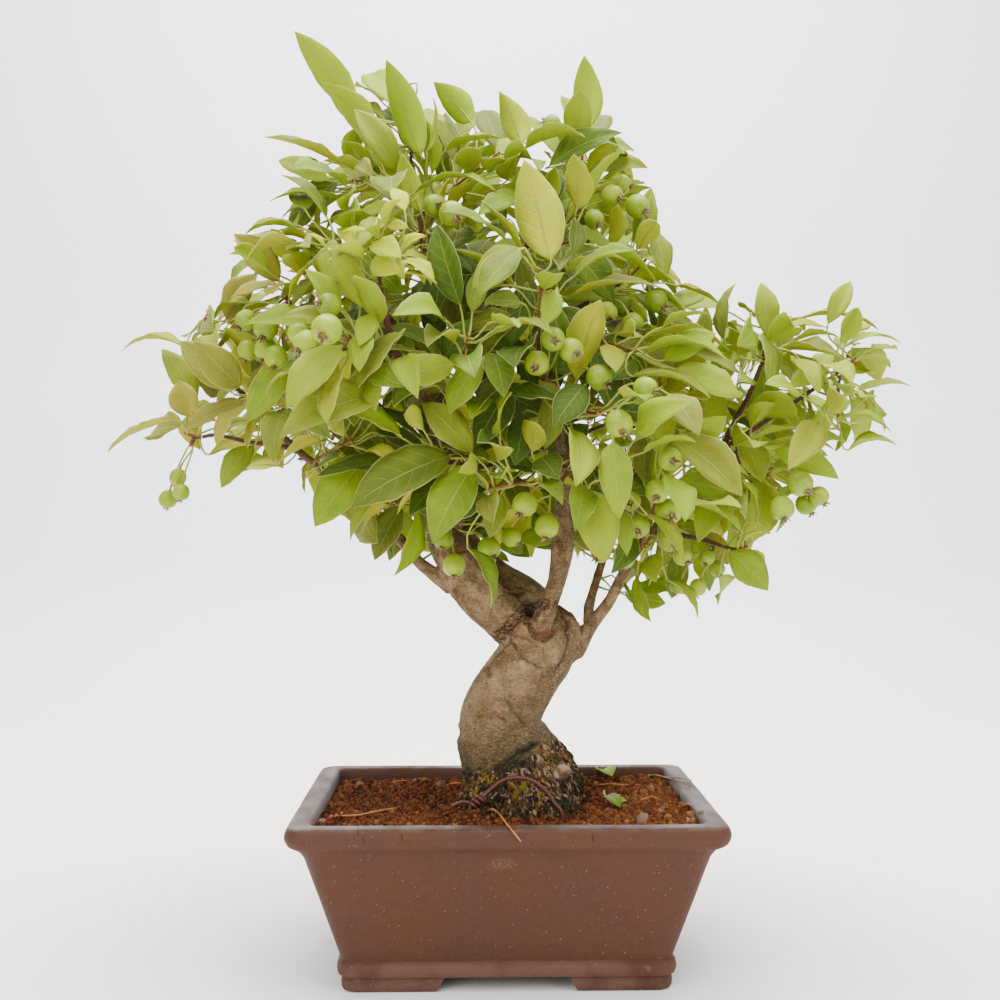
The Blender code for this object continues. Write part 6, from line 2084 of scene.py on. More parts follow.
@dataclass
class Crown:
    """The leafy shoots and the bunches of fruit, grown as in the source and then filled out with finer leaves."""

    more_seed: int = 77
    most_on_one: int = 17
    rounds: int = 70
    gap_rounds: int = 50
    reach_rounds: int = 14
    most_leaves: int = 1040
    depths: tuple[float, float] = (-100, 105)
    least_gain: int = 5
    draped_share: float = 0.75
    more_size: float = 0.92
    thin_branch: float = 3.4 * MM
    filler_pad: float = 0.1 * MM
    stations: int = 13
    columns: tuple[float, ...] = (-1.0, -0.5, 0.0, 0.5, 1.0)
    tooth: float = 0.022
    broadest: float = 0.45
    thickness: float = 0.45 * MM
    margin: float = 0.16 * MM
    stalk_sides: int = 4
    petiole_girth: float = 0.62 * MM
    midrib_girth: float = 0.46 * MM
    ripple: float = 0.13
    fruit_sides: int = 22
    sepals: int = 5
    shoots: dict[str, list[Twig]] = field(default_factory=dict)
    spurs: dict[str, Twig] = field(default_factory=dict)
    room: Room = field(default_factory=Room)
    draw: random.Random = field(default_factory=lambda: random.Random(SEED))
    loose: list[tuple[Vector, Leaf]] = field(default_factory=list)
    in_sight: list[Leaf] = field(default_factory=list)
    more: dict[str, list[tuple[Vector, Leaf]]] = field(default_factory=dict)

    def lay_out(self) -> None:
        """Grow the shoots, bunches and leaves in the same order as the part's source."""
        room = self.room
        room.add(trunk_solid(), "wood")
        stems: dict[str, Stem] = {branch.name: branch for branch in BRANCHES}
        for branch in BRANCHES:
            room.add(branch.solid(), "wood")
        for solid in wire_solids():
            room.add(solid, "wire")
        for plan in SHOOTS:
            shown_here = sum(leaf.shoot == plan.name for leaf in LEAVES)
            self.shoots[plan.name] = shoot_twigs(plan, stems, shown_here)
            stems[plan.name] = self.shoots[plan.name][0]
            for twig in self.shoots[plan.name]:
                room.add(twig.solid(), plan.name)
        for plan in BUNCHES:
            for nudge in nudges(0.04, 8):
                self.spurs[plan.name] = bunch_spur(plan, min(max(plan.share + nudge, 0.05), 0.98), stems)
                solid = self.spurs[plan.name].solid()
                if room.clear(solid, solid, plan.name):
                    break
            room.add(self.spurs[plan.name].solid(), plan.name)
            hang_bunch(plan, self.spurs[plan.name], room)
        for number, plan in enumerate(LEAVES):
            for nudge in nudges(3, 10):
                twig, spot = best_side(self.shoots[plan.shoot], seen((*plan.base[:2], plan.base[2] + nudge)))
                leaf = shown_leaf(plan, twig.side(*spot)[0], nudge, number)
                if room.free(leaf, plan.shoot):
                    room.add(closed(leaf), plan.shoot)
                    twig.taken[spot] = leaf
                    self.in_sight.append(leaf)
                    break
        for plan in SHOOTS:
            grow_shoot(plan, self.shoots[plan.name], room, self.draw)

    def fill_out(self) -> None:
        """Add leaves between the nodes of the shoots and along the thin branches, first where the crown is open."""
        draw = random.Random(self.more_seed)
        cover = Cover()
        for twigs in self.shoots.values():
            for _, leaf in self.grown(twigs[0]):
                cover.filled |= cover.places(leaf)
        for leaf in self.in_sight:
            cover.guard(cover.places(leaf), leaf.point(0.5, 0, 0).y)
        for spur in self.spurs.values():
            for _, fruit in self.grown(spur):
                cover.guard(cover.round_places(fruit.centre, fruit.radius), fruit.centre.y)
        branches = []
        for branch in BRANCHES:
            shares = [k / 40 for k in range(41) if branch.radius(k / 40) < self.thin_branch]
            if shares:
                branches.append((branch, shares))
        for number in range(self.rounds):
            least = self.least_gain if number < self.gap_rounds else 0
            for plan in SHOOTS:
                leaves = self.more.setdefault(plan.name, [])
                if len(leaves) < self.most_on_one * (2 if plan.fork else 1):
                    self.add_leaf(draw.choice(self.shoots[plan.name]), draw.random() ** 0.8, plan.size, plan.name,
                                  leaves, draw, cover, least)
            for branch, shares in branches:
                if sum(leaf.holder == branch.name for _, leaf in self.loose) < self.most_on_one:
                    self.add_leaf(branch, draw.choice(shares), 0.85, branch.name, self.loose, draw, cover, least)

        self.reach_out(branches, cover, draw)

    def reach_out(self, branches: list[tuple[Stem, list[float]]], cover: Cover, draw: random.Random) -> None:
        """Grow leaves towards the places of the front view that are still open, then all through the crown.

        Args:
            branches: the thin branches, with the shares of their way where leaves may stand.
            cover: what the leaves cover so far.
            draw: the seeded draw.
        """
        holders = [(twig, k / 24, plan.size, plan.name, self.more[plan.name])
                   for plan in SHOOTS for twig in self.shoots[plan.name] for k in range(2, 24)]
        holders += [(branch, share, 0.9, branch.name, self.loose) for branch, shares in branches for share in shares]
        near = KDTree(len(holders))
        for number, (holder, share, *_) in enumerate(holders):
            near.insert(holder.at(share)[0], number)
        near.balance()
        count = sum(len(self.grown(twigs[0])) + len(self.more[name]) for name, twigs in self.shoots.items()) + len(self.loose)
        for number in range(self.reach_rounds):
            wanted = cover.open_places()
            draw.shuffle(wanted)
            LOG.info("round %d: %d open places, %d leaves", number, len(wanted), count)
            for place in wanted:
                sight = [(part + draw.random()) * cover.cell for part in place]
                middle = seen((*sight, draw.uniform(*self.depths)))
                if place in cover.filled or not inside_crown(middle):
                    continue
                count += self.reach_to(middle, holders, near, cover, draw)
        for _ in range(6 * self.most_leaves):
            if count >= self.most_leaves:
                break
            middle = CROWN_CENTRE + Vector([draw.uniform(-0.75, 0.75) * half for half in CROWN_HALF])
            if inside_crown(middle):
                count += self.reach_to(middle, holders, near, cover, draw)

    def reach_to(self, middle: Vector, holders: list[tuple[Stem, float, float, str, list[tuple[Vector, Leaf]]]],
                 near: KDTree, cover: Cover, draw: random.Random) -> bool:
        """Try to grow a leaf over one place from a stem near it.

        Args:
            middle: the place.
            holders: where leaves may stand: the stem, the share of its way, the leaf's size, its owner and their list.
            near: finds the holders near a place.
            cover: what the leaves cover so far.
            draw: the seeded draw.

        Returns:
            Whether a leaf was grown.
        """
        found = [number for _, number, away in near.find_range(middle, 46 * MM) if away > 15 * MM]
        if not found:
            return False
        holder, share, size, owner, leaves = holders[draw.choice(found)]
        root, along = holder.at(share)
        out = square_to(along, middle - root)
        leaf = reaching_leaf(root, root + out * holder.radius(share), middle, size, draw)
        if not leaf or not all(inside_crown(leaf.point(part, 0, 0)) for part in (0.0, 0.6, 1.0)):
            return False
        places = cover.places(leaf)
        if cover.hides(leaf, places):
            return False
        leaf.holder = owner
        if not self.room.clear(closed(leaf, self.filler_pad), closed(leaf, self.filler_pad, STEM_CLEAR), owner):
            return False
        self.room.add(closed(leaf), owner)
        leaves.append((root, leaf))
        cover.filled |= places
        return True

    def add_leaf(self, holder: Stem, share: float, size: float, owner: str,
                 leaves: list[tuple[Vector, Leaf]], draw: random.Random, cover: "Cover", least: int) -> None:
        """Try one more leaf on a stem, and keep it where there is room for it.

        Args:
            holder: the stem.
            share: how far along it.
            size: the leaf's size.
            owner: the name of what it belongs to.
            leaves: where it is kept.
            draw: the seeded draw.
            cover: what the leaves cover so far.
            least: how many open places of the front view it has to cover.
        """
        root, along = holder.at(share)
        out = ring_of(Vector(), along, 1.0, draw.uniform(0, math.tau))[0]
        rule = draped_leaf if draw.random() < self.draped_share else sprung_leaf
        leaf = rule(root + out * holder.radius(share), out, along, size * self.more_size, draw)
        leaf.holder = owner
        places = cover.places(leaf)
        if len(places - cover.filled) < least or cover.hides(leaf, places):
            return
        if not all(inside_crown(leaf.point(part, 0, 0)) for part in (0.0, 0.6, 1.0)):
            return
        if self.room.clear(closed(leaf, self.filler_pad), closed(leaf, self.filler_pad, STEM_CLEAR), owner):
            self.room.add(closed(leaf), owner)
            leaves.append((root, leaf))
            cover.filled |= places

    def grown(self, twig: Twig) -> list[tuple[Vector, "Leaf | Fruit"]]:
        """What grows on a stem's nodes: for each the middle of the stem there, and the piece.

        Args:
            twig: the stem.

        Returns:
            The middles and the pieces, those of a side stem with them.
        """
        found = []
        for (node, _), piece in twig.taken.items():
            if isinstance(piece, Twig):
                found += self.grown(piece)
            else:
                found.append((twig.at(sum(twig.spread()[node]) / 2)[0], piece))
        return found

    def blade_shape(self) -> bpy.types.Object:
        """The leaf that all blades are copies of, laid out as its share, its reach across and its lift.

        Returns:
            A helper object.
        """
        rows = self.stations
        verts, faces, marks = [], [], []
        for side in (1, 2):
            for row in range(rows):
                share = 0.004 + 0.993 * row / (rows - 1)
                if share < self.broadest:
                    broad = math.sin(math.pi / 2 * share / self.broadest) ** 0.7
                else:
                    broad = (1 - ((share - self.broadest) / (1 - self.broadest)) ** 2.0) ** 0.98
                for reach in self.columns:
                    across = reach * (1 - self.tooth * (row % 2)) if abs(reach) == 1 else reach
                    thick = self.margin if abs(reach) == 1 else self.thickness
                    lift = thick / 2 if side == 1 else -thick / 2
                    if side == 1 and reach == 0:
                        lift -= 0.16 * MM
                    verts.append((share, across, lift))
                    marks.append((share, reach, side, broad))
        wide = len(self.columns)
        under = rows * wide
        for row in range(rows - 1):
            for k in range(wide - 1):
                a = row * wide + k
                faces.append((a, a + wide, a + wide + 1, a + 1))
                faces.append((under + a, under + a + 1, under + a + wide + 1, under + a + wide))
            for k, ways in ((0, (0, 1, 2, 3)), (wide - 1, (3, 2, 1, 0))):
                a, b = row * wide + k, (row + 1) * wide + k
                rim = (a, under + a, under + b, b)
                faces.append(tuple(rim[way] for way in ways))
        first, last = list(range(wide)), [(rows - 1) * wide + k for k in range(wide)]
        faces.append(tuple(first + [under + k for k in reversed(first)]))
        faces.append(tuple(list(reversed(last)) + [under + k for k in last]))
        mesh = solid_mesh("blade", ([Vector(vert) for vert in verts], faces))
        for number, name in enumerate(("share", "across", "side", "broad")):
            note(mesh, name, [mark[number] for mark in marks])
        return shown("blade", mesh)

    def leafy_tree(self) -> Growth:
        """The tree that sweeps stems and stalks, and bends a copy of the blade to each leaf's own form.

        Returns:
            The tree.
        """
        tree = Growth("leafy shoot")
        stalks = tree.sweep(tree.input("Stalk sides", "Int"))
        copies = tree.node("GeometryNodeInstanceOnPoints", {}, {"Points": tree.shape("Leaves"),
                                                                 "Instance": tree.shape("Blade")})
        blades = tree.node("GeometryNodeRealizeInstances", {}, {0: copies})
        base, run, right, up = (tree.named(name, "FLOAT_VECTOR") for name in ("base", "run", "right", "up"))
        half, arch, lean, rise, phase, droop = (tree.named(name) for name in
                                                ("half", "arch", "lean", "rise", "phase", "droop"))
        share, across, lift = tree.node("GeometryNodeInputPosition", {}, {}).split()
        reach = across * tree.named("broad") * half
        off = abs(across)
        beat = 8.5 * share + 2.1 * across.over(0) + phase
        wave = tree.input("Ripple", "Float") * (beat.sine() * off + 0.4 * (beat * 2.7).sine() * off * off)
        high = arch * share * (1 - share) + lift + abs(reach) * (rise * (0.6 + 0.4 * off) + wave)
        high = high - droop * (share - 0.55).most(0.0) ** 2
        place = base + run * share + right * (reach * lean) + up * high
        blades = tree.node("GeometryNodeSetPosition", {}, {"Geometry": blades, "Position": place})
        leaf = tree.named("side").over(0.5)
        tree.end([stalks, blades], {"Stalk finish": 1 - leaf, "Blade finish": leaf})
        return tree

    def leaf_row(self, leaf: Leaf, tone: float, age: float) -> dict[str, float | Vector]:
        """What the tree needs to bend the blade to one leaf.

        Args:
            leaf: the leaf.
            tone: how fresh its green is, darker by painted shade deep in the crown and at its back, lighter by painted
                light to its right and top.
            age: how bronze it is.

        Returns:
            The attributes.
        """
        along, right, up = leaf.axes()
        length = (leaf.tip - leaf.base).length
        return {"base": leaf.base, "run": along * length, "right": right, "up": up, "half": leaf.width / 2,
                "arch": 4 * leaf.arch * length, "lean": math.cos(leaf.fold), "rise": math.sin(leaf.fold),
                "phase": leaf.phase, "droop": length * 0.25 * (0.5 + 0.5 * math.sin(7 * leaf.phase)),
                "tone": tone, "age": age}

    def stalk(self, root: Vector, leaf: Leaf, age: float) -> Chain:
        """A leaf's petiole, from inside its stem, with the midrib that runs on under its blade.

        Args:
            root: the middle of the stem.
            leaf: the leaf.
            age: how bronze the leaf is.

        Returns:
            The line to be swept.
        """
        along, _, up = leaf.axes()
        points = [root, *bend(leaf.foot, (leaf.foot - root).normalized(), leaf.base - up * 0.2 * MM, along, 5)]
        girths = [self.petiole_girth * (1.25 - 0.42 * min(k / 6, 1)) for k in range(7)]
        for k in range(1, 5):
            girth = self.midrib_girth * (1 - 0.9 * k / 4)
            share = 0.2 * k + 0.02
            lift = -girth * 0.75
            if share > 0.55:
                lift -= (leaf.tip - leaf.base).length * 0.25 * (0.5 + 0.5 * math.sin(7 * leaf.phase)) * (share - 0.55) ** 2
            points.append(leaf.point(share, 0, lift))
            girths.append(girth)
        ages = [0.40, 0.30, 0.14] + [0.04 + 0.16 * age] * (len(points) - 3)
        return Chain(points, girths, ages)

    def stem_chain(self, twig: Twig) -> Chain:
        """A shoot's stem, swollen a little at its nodes and browner towards its foot.

        Args:
            twig: the stem.

        Returns:
            The line to be swept.
        """
        steps = 8 * twig.nodes
        shares = [k / steps for k in range(steps + 1)]
        middles = [sum(ends) / 2 for ends in twig.spread()]
        swell = [1 + 0.22 * max(0.0, 1 - min(abs(share - middle) for middle in middles) * 22) for share in shares]
        return Chain([twig.at(share)[0] for share in shares],
                     [twig.radius(share) * bulge * 0.95 for share, bulge in zip(shares, swell)],
                     [0.95 - 0.55 * share for share in shares])

    def build_shoots(self, young: bpy.types.Material, leaf: bpy.types.Material, bark: bpy.types.Material,
                     fallen: list[tuple[Vector, Leaf]]) -> None:
        """Each shoot as a finer piece: its stems, petioles and leaves.

        Args:
            young: the young leaves' finish.
            leaf: the other leaves' finish.
            bark: the stems' finish.
            fallen: the leaves on the soil.
        """
        tree, blade = self.leafy_tree(), self.blade_shape()
        draw = random.Random(self.more_seed + 1)
        jobs = [(name, twigs, [pair for pair in self.grown(twigs[0])] + self.more[name])
                for name, twigs in self.shoots.items()]
        jobs += [("leaves_on_branches", [], self.loose), ("leaves_on_soil", [], fallen)]
        LOG.info("%d leaves", sum(len(pairs) for _, _, pairs in jobs))
        for name, twigs, pairs in jobs:
            rows, chains = [], [self.stem_chain(twig) for twig in twigs]
            for root, piece in pairs:
                middle = piece.point(0.5, 0, 0)
                # The tone holds painted shade and light: darker deep in the crown and at its back, lighter to the right
                # and at the top, with a random spread.
                way = Matrix.Diagonal([1 / half for half in CROWN_HALF]) @ (middle - CROWN_CENTRE)
                lit = 0.42 * min(max((middle.x - 0.04) / 0.08, 0.0), 1.0) + 0.14 * min(max((middle.z - 0.37) / 0.08, 0.0), 1.0)
                tone = draw.gauss(1.3 * way.length - 0.50 + lit - 2.5 * min(max(middle.y - 0.01, 0.0), 0.1), 0.32)
                tone = min(max(tone, 0.0), 1.0)
                left = max(0.0, min(1.0, (-0.045 - middle.x) / 0.1))
                right = max(0.0, min(1.0, (middle.x - 0.03) / 0.1))
                age = min(1.0, max(0.0, draw.gauss(0.03 + 0.48 * left + 0.30 * right, 0.20)))
                rows.append(self.leaf_row(piece, tone, age))
                chains.append(self.stalk(root, piece, age))
            helper = shown("points", point_mesh("points", rows))
            fresh = name == "shoot_young"
            piece = tree.grow(name.replace("shoot_", "leaves_"), line_mesh(name, chains), Leaves=helper, Blade=blade,
                              Stalk_sides=self.stalk_sides, Ripple=self.ripple, Stalk_finish=bark,
                              Blade_finish=young if fresh else leaf)
            drop(helper)
            keep(piece, "young_leaf" if fresh else "leaf", *([name] if twigs else []))
        drop(blade)

    def fruit_shape(self) -> bpy.types.Object:
        """The fruit that all are copies of, one unit in radius, its stalk end down and dry sepals at its top.

        Returns:
            A helper object.
        """
        profile = [(0.0, -0.86), (0.13, -0.91), (0.30, -0.945), (0.52, -0.86), (0.75, -0.67), (0.91, -0.40), (0.99, -0.07),
                   (0.985, 0.26), (0.89, 0.55), (0.70, 0.77), (0.48, 0.90), (0.31, 0.94), (0.17, 0.915), (0.0, 0.90)]
        sides = self.fruit_sides
        verts = [Vector((0, 0, profile[0][1]))]
        marks = [0.0]
        for row, (reach, high) in enumerate(profile[1:-1], 1):
            for k in range(sides):
                turn = math.tau * k / sides
                lobe = 1 + 0.02 * math.cos(5 * turn) * (high > 0.5)
                verts.append(Vector((reach * lobe * math.cos(turn), reach * lobe * math.sin(turn), high)))
                marks.append(row / (len(profile) - 1))
        verts.append(Vector((0, 0, profile[-1][1])))
        marks.append(1.0)
        faces: list[tuple[int, ...]] = []
        for k in range(sides):
            after = (k + 1) % sides
            faces.append((0, 1 + after, 1 + k))
            for row in range(len(profile) - 3):
                a, b = 1 + row * sides + k, 1 + row * sides + after
                faces.append((a, b, b + sides, a + sides))
            top = 1 + (len(profile) - 3) * sides
            faces.append((top + k, top + after, len(verts) - 1))
        for k in range(self.sepals):
            turn = math.tau * k / self.sepals
            out, aside = Vector((math.cos(turn), math.sin(turn), 0)), Vector((-math.sin(turn), math.cos(turn), 0))
            start = len(verts)
            curl = 0.12 * math.sin(4.7 * k)
            for reach, high, wide, thick in ((0.14, 0.86, 0.12, 0.05), (0.23, 1.04, 0.11, 0.04),
                                             (0.35 + curl, 1.20, 0.075, 0.035), (0.44 + 3 * curl, 1.32, 0.022, 0.02)):
                middle = out * reach + Vector((0, 0, high))
                away = out * 0.8 * thick + Vector((0, 0, -0.6 * thick))
                verts += [middle - aside * wide - away, middle + aside * wide - away, middle + aside * wide + away,
                          middle - aside * wide + away]
                marks += [2.0] * 4
            faces += [tuple(start + corner for corner in face) for face in skin(4, 4)]
        mesh = solid_mesh("fruit", (verts, faces))
        outward(mesh)
        note(mesh, "share", marks)
        return shown("fruit", mesh)

    def bunch_tree(self) -> Growth:
        """The tree that sweeps spurs and stalks, and sets a fruit at each point, turned to its axis.

        Returns:
            The tree.
        """
        tree = Growth("bunch of fruit")
        stalks = tree.sweep(tree.input("Stalk sides", "Int"))
        turned = tree.node("FunctionNodeAxesToRotation", {"primary_axis": "Z", "secondary_axis": "X"},
                           {0: tree.named("axis", "FLOAT_VECTOR"), 1: tree.named("aside", "FLOAT_VECTOR")})
        size = tree.node("ShaderNodeCombineXYZ", {}, {0: tree.named("size"), 1: tree.named("size"),
                                                      2: tree.named("tall")})
        fruits = tree.node("GeometryNodeInstanceOnPoints", {}, {"Points": tree.shape("Fruits"),
                           "Instance": tree.shape("Fruit"), "Rotation": turned, "Scale": size})
        fruit, dry = tree.named("size").over(0), tree.named("share").over(1.5)
        tree.end([stalks, fruits], {"Stalk finish": 1 - fruit, "Skin finish": fruit, "Sepal finish": dry})
        return tree

    def build_bunches(self, fruit_skin: bpy.types.Material, dry: bpy.types.Material, bark: bpy.types.Material) -> None:
        """Each bunch as a finer piece: its spur, its stalks and its fruits.

        Args:
            fruit_skin: the fruits' finish.
            dry: the sepals' finish.
            bark: the stalks' finish.
        """
        tree, shape = self.bunch_tree(), self.fruit_shape()
        draw = random.Random(self.more_seed + 2)
        for name, spur in self.spurs.items():
            chains, rows = [self.stem_chain(spur)], []
            for root, fruit in self.grown(spur):
                axis = fruit.axis()
                end = fruit.centre - axis * fruit.radius * 0.88
                points = [root, *bend(fruit.foot, (fruit.foot - root).normalized(), end, axis, 9)]
                girths = [0.62 * MM * (1.3 if k < 2 else 1.15 if k > 8 else 0.85) for k in range(len(points))]
                chains.append(Chain(points, girths, [0.5, 0.4, 0.3] + [0.12 + 0.02 * k for k in range(len(points) - 3)]))
                rows.append({"at": fruit.centre, "axis": axis, "size": fruit.radius, "tone": draw.random(),
                             "tall": fruit.radius * draw.uniform(0.96, 1.04),
                             "aside": ring_of(Vector(), axis, 1.0, draw.uniform(0, math.tau))[0]})
            helper = shown("points", point_mesh("points", rows))
            piece = tree.grow(name.replace("fruit_", "bunch_"), line_mesh(name, chains), Fruits=helper, Fruit=shape,
                              Stalk_sides=8, Stalk_finish=bark, Skin_finish=fruit_skin, Sepal_finish=dry)
            drop(helper)
            keep(piece, "fruit", name)
        drop(shape)


def outward(mesh: bpy.types.Mesh) -> None:
    """Turn a closed mesh's faces outwards."""
    shape = bmesh.new()
    shape.from_mesh(mesh)
    bmesh.ops.recalc_face_normals(shape, faces=shape.faces)
    shape.to_mesh(mesh)
    shape.free()


# The wood

class Sign(Enum):
    """What a mark on the bark is."""

    KNOB = "knob"
    SCAR = "scar"
    HOLLOW = "shade"
    MOSS = "moss"
    LICHEN = "lichen"
    COLLAR = "collar"


@dataclass(frozen=True)
class Mark:
    """A mark on the bark: what it is, its line in the front view, its reach and its height in mm."""

    sign: Sign
    line: tuple[tuple[float, float], ...]
    reach: float
    height: float = 0.0


MARKS = (
    Mark(Sign.KNOB, ((459, 725),), 3.0, 1.9),
    Mark(Sign.KNOB, ((546, 640), (533, 636), (527, 628)), 3.2, 1.8),
    Mark(Sign.SCAR, ((530, 624), (538, 634), (550, 632)), 3.4, 0.9),
    Mark(Sign.HOLLOW, ((508, 632), (513, 645), (520, 655), (530, 663), (541, 668)), 0.9, -1.0),
    Mark(Sign.HOLLOW, ((556, 668), (564, 660), (567, 640), (566, 625), (560, 612)), 1.0, -1.0),
    Mark(Sign.HOLLOW, ((478, 662), (490, 650), (500, 640)), 0.7, -0.7),
    Mark(Sign.HOLLOW, ((504, 636), (514, 626), (525, 617), (548, 608)), 0.9, -0.9),
    Mark(Sign.HOLLOW, ((487, 668), (505, 648), (518, 636)), 0.6, -0.5),
    Mark(Sign.SCAR, ((508, 632), (528, 640), (548, 638), (567, 625)), 2.0, 0.4),
    Mark(Sign.COLLAR, ((470, 668), (482, 652), (500, 635), (520, 614), (545, 604)), 5.6, 0.45),
    Mark(Sign.COLLAR, ((558, 605), (568, 611), (576, 622), (580, 630)), 3.6, 0.45),
    Mark(Sign.COLLAR, ((526, 622), (534, 633), (544, 638), (551, 634)), 3.4, 0.4),
    Mark(Sign.KNOB, ((573, 616), (578, 632), (577, 650)), 8.0, 2.6), Mark(Sign.KNOB, ((462, 742), (463, 768), (464, 788)), 8.0, 2.6),
    Mark(Sign.HOLLOW, ((527, 612), (534, 616), (540, 612)), 2.0, -1.6),
    Mark(Sign.SCAR, ((575, 625), (577, 634)), 2.2, 0.7),
    Mark(Sign.SCAR, ((455, 588), (458, 592)), 2.4, 0.6), Mark(Sign.SCAR, ((470, 598), (475, 601)), 2.2, 0.5),
    Mark(Sign.SCAR, ((487, 671), (490, 676)), 2.6, -0.4),
    Mark(Sign.SCAR, ((494, 713), (503, 720), (510, 727)), 1.8, -0.8),
    Mark(Sign.SCAR, ((478, 716), (492, 717)), 1.6, -0.7),
    Mark(Sign.HOLLOW, ((505, 700), (514, 712), (525, 725)), 1.6, -0.7),
    Mark(Sign.HOLLOW, ((503, 586), (512, 589), (522, 588)), 0.9, -0.9),
    Mark(Sign.HOLLOW, ((505, 592), (514, 595), (523, 593)), 0.9, -0.9),
    Mark(Sign.HOLLOW, ((464, 768), (472, 770), (480, 768)), 0.9, -1.0),
    Mark(Sign.HOLLOW, ((466, 774), (478, 777), (492, 771), (508, 760), (524, 750), (538, 741)), 2.0, -1.4),
    Mark(Sign.KNOB, ((548, 738), (556, 745)), 3.4, 1.4), Mark(Sign.KNOB, ((543, 752),), 3.2, 1.2),
    Mark(Sign.KNOB, ((562, 553), (560, 545)), 2.6, 1.3), Mark(Sign.SCAR, ((558, 556), (565, 540)), 2.0, 0.4),
    Mark(Sign.KNOB, ((463, 556),), 3.0, 1.5), Mark(Sign.KNOB, ((437, 577), (445, 583)), 2.8, 1.2),
    Mark(Sign.MOSS, ((500, 772), (512, 763), (528, 760)), 6.5, 0.5), Mark(Sign.MOSS, ((493, 801), (497, 808)), 3.4, 0.7),
    Mark(Sign.MOSS, ((575, 772), (583, 783), (580, 797)), 4.0, 0.6), Mark(Sign.MOSS, ((484, 790), (500, 783)), 4.5, 0.4),
    Mark(Sign.MOSS, ((560, 800), (574, 806)), 4.5, 0.3), Mark(Sign.MOSS, ((520, 752), (534, 744)), 4.0, 0.3),
    Mark(Sign.LICHEN, ((519, 786), (517, 798)), 3.2, 0.3), Mark(Sign.LICHEN, ((503, 811), (513, 808)), 3.0, 0.3),
    Mark(Sign.LICHEN, ((538, 748), (547, 756), (549, 764)), 3.6, 0.3), Mark(Sign.LICHEN, ((537, 781),), 2.0, 0.2),
    Mark(Sign.LICHEN, ((466, 786), (474, 783)), 3.0, 0.2), Mark(Sign.LICHEN, ((536, 770), (540, 775)), 2.2, 0.2),
)


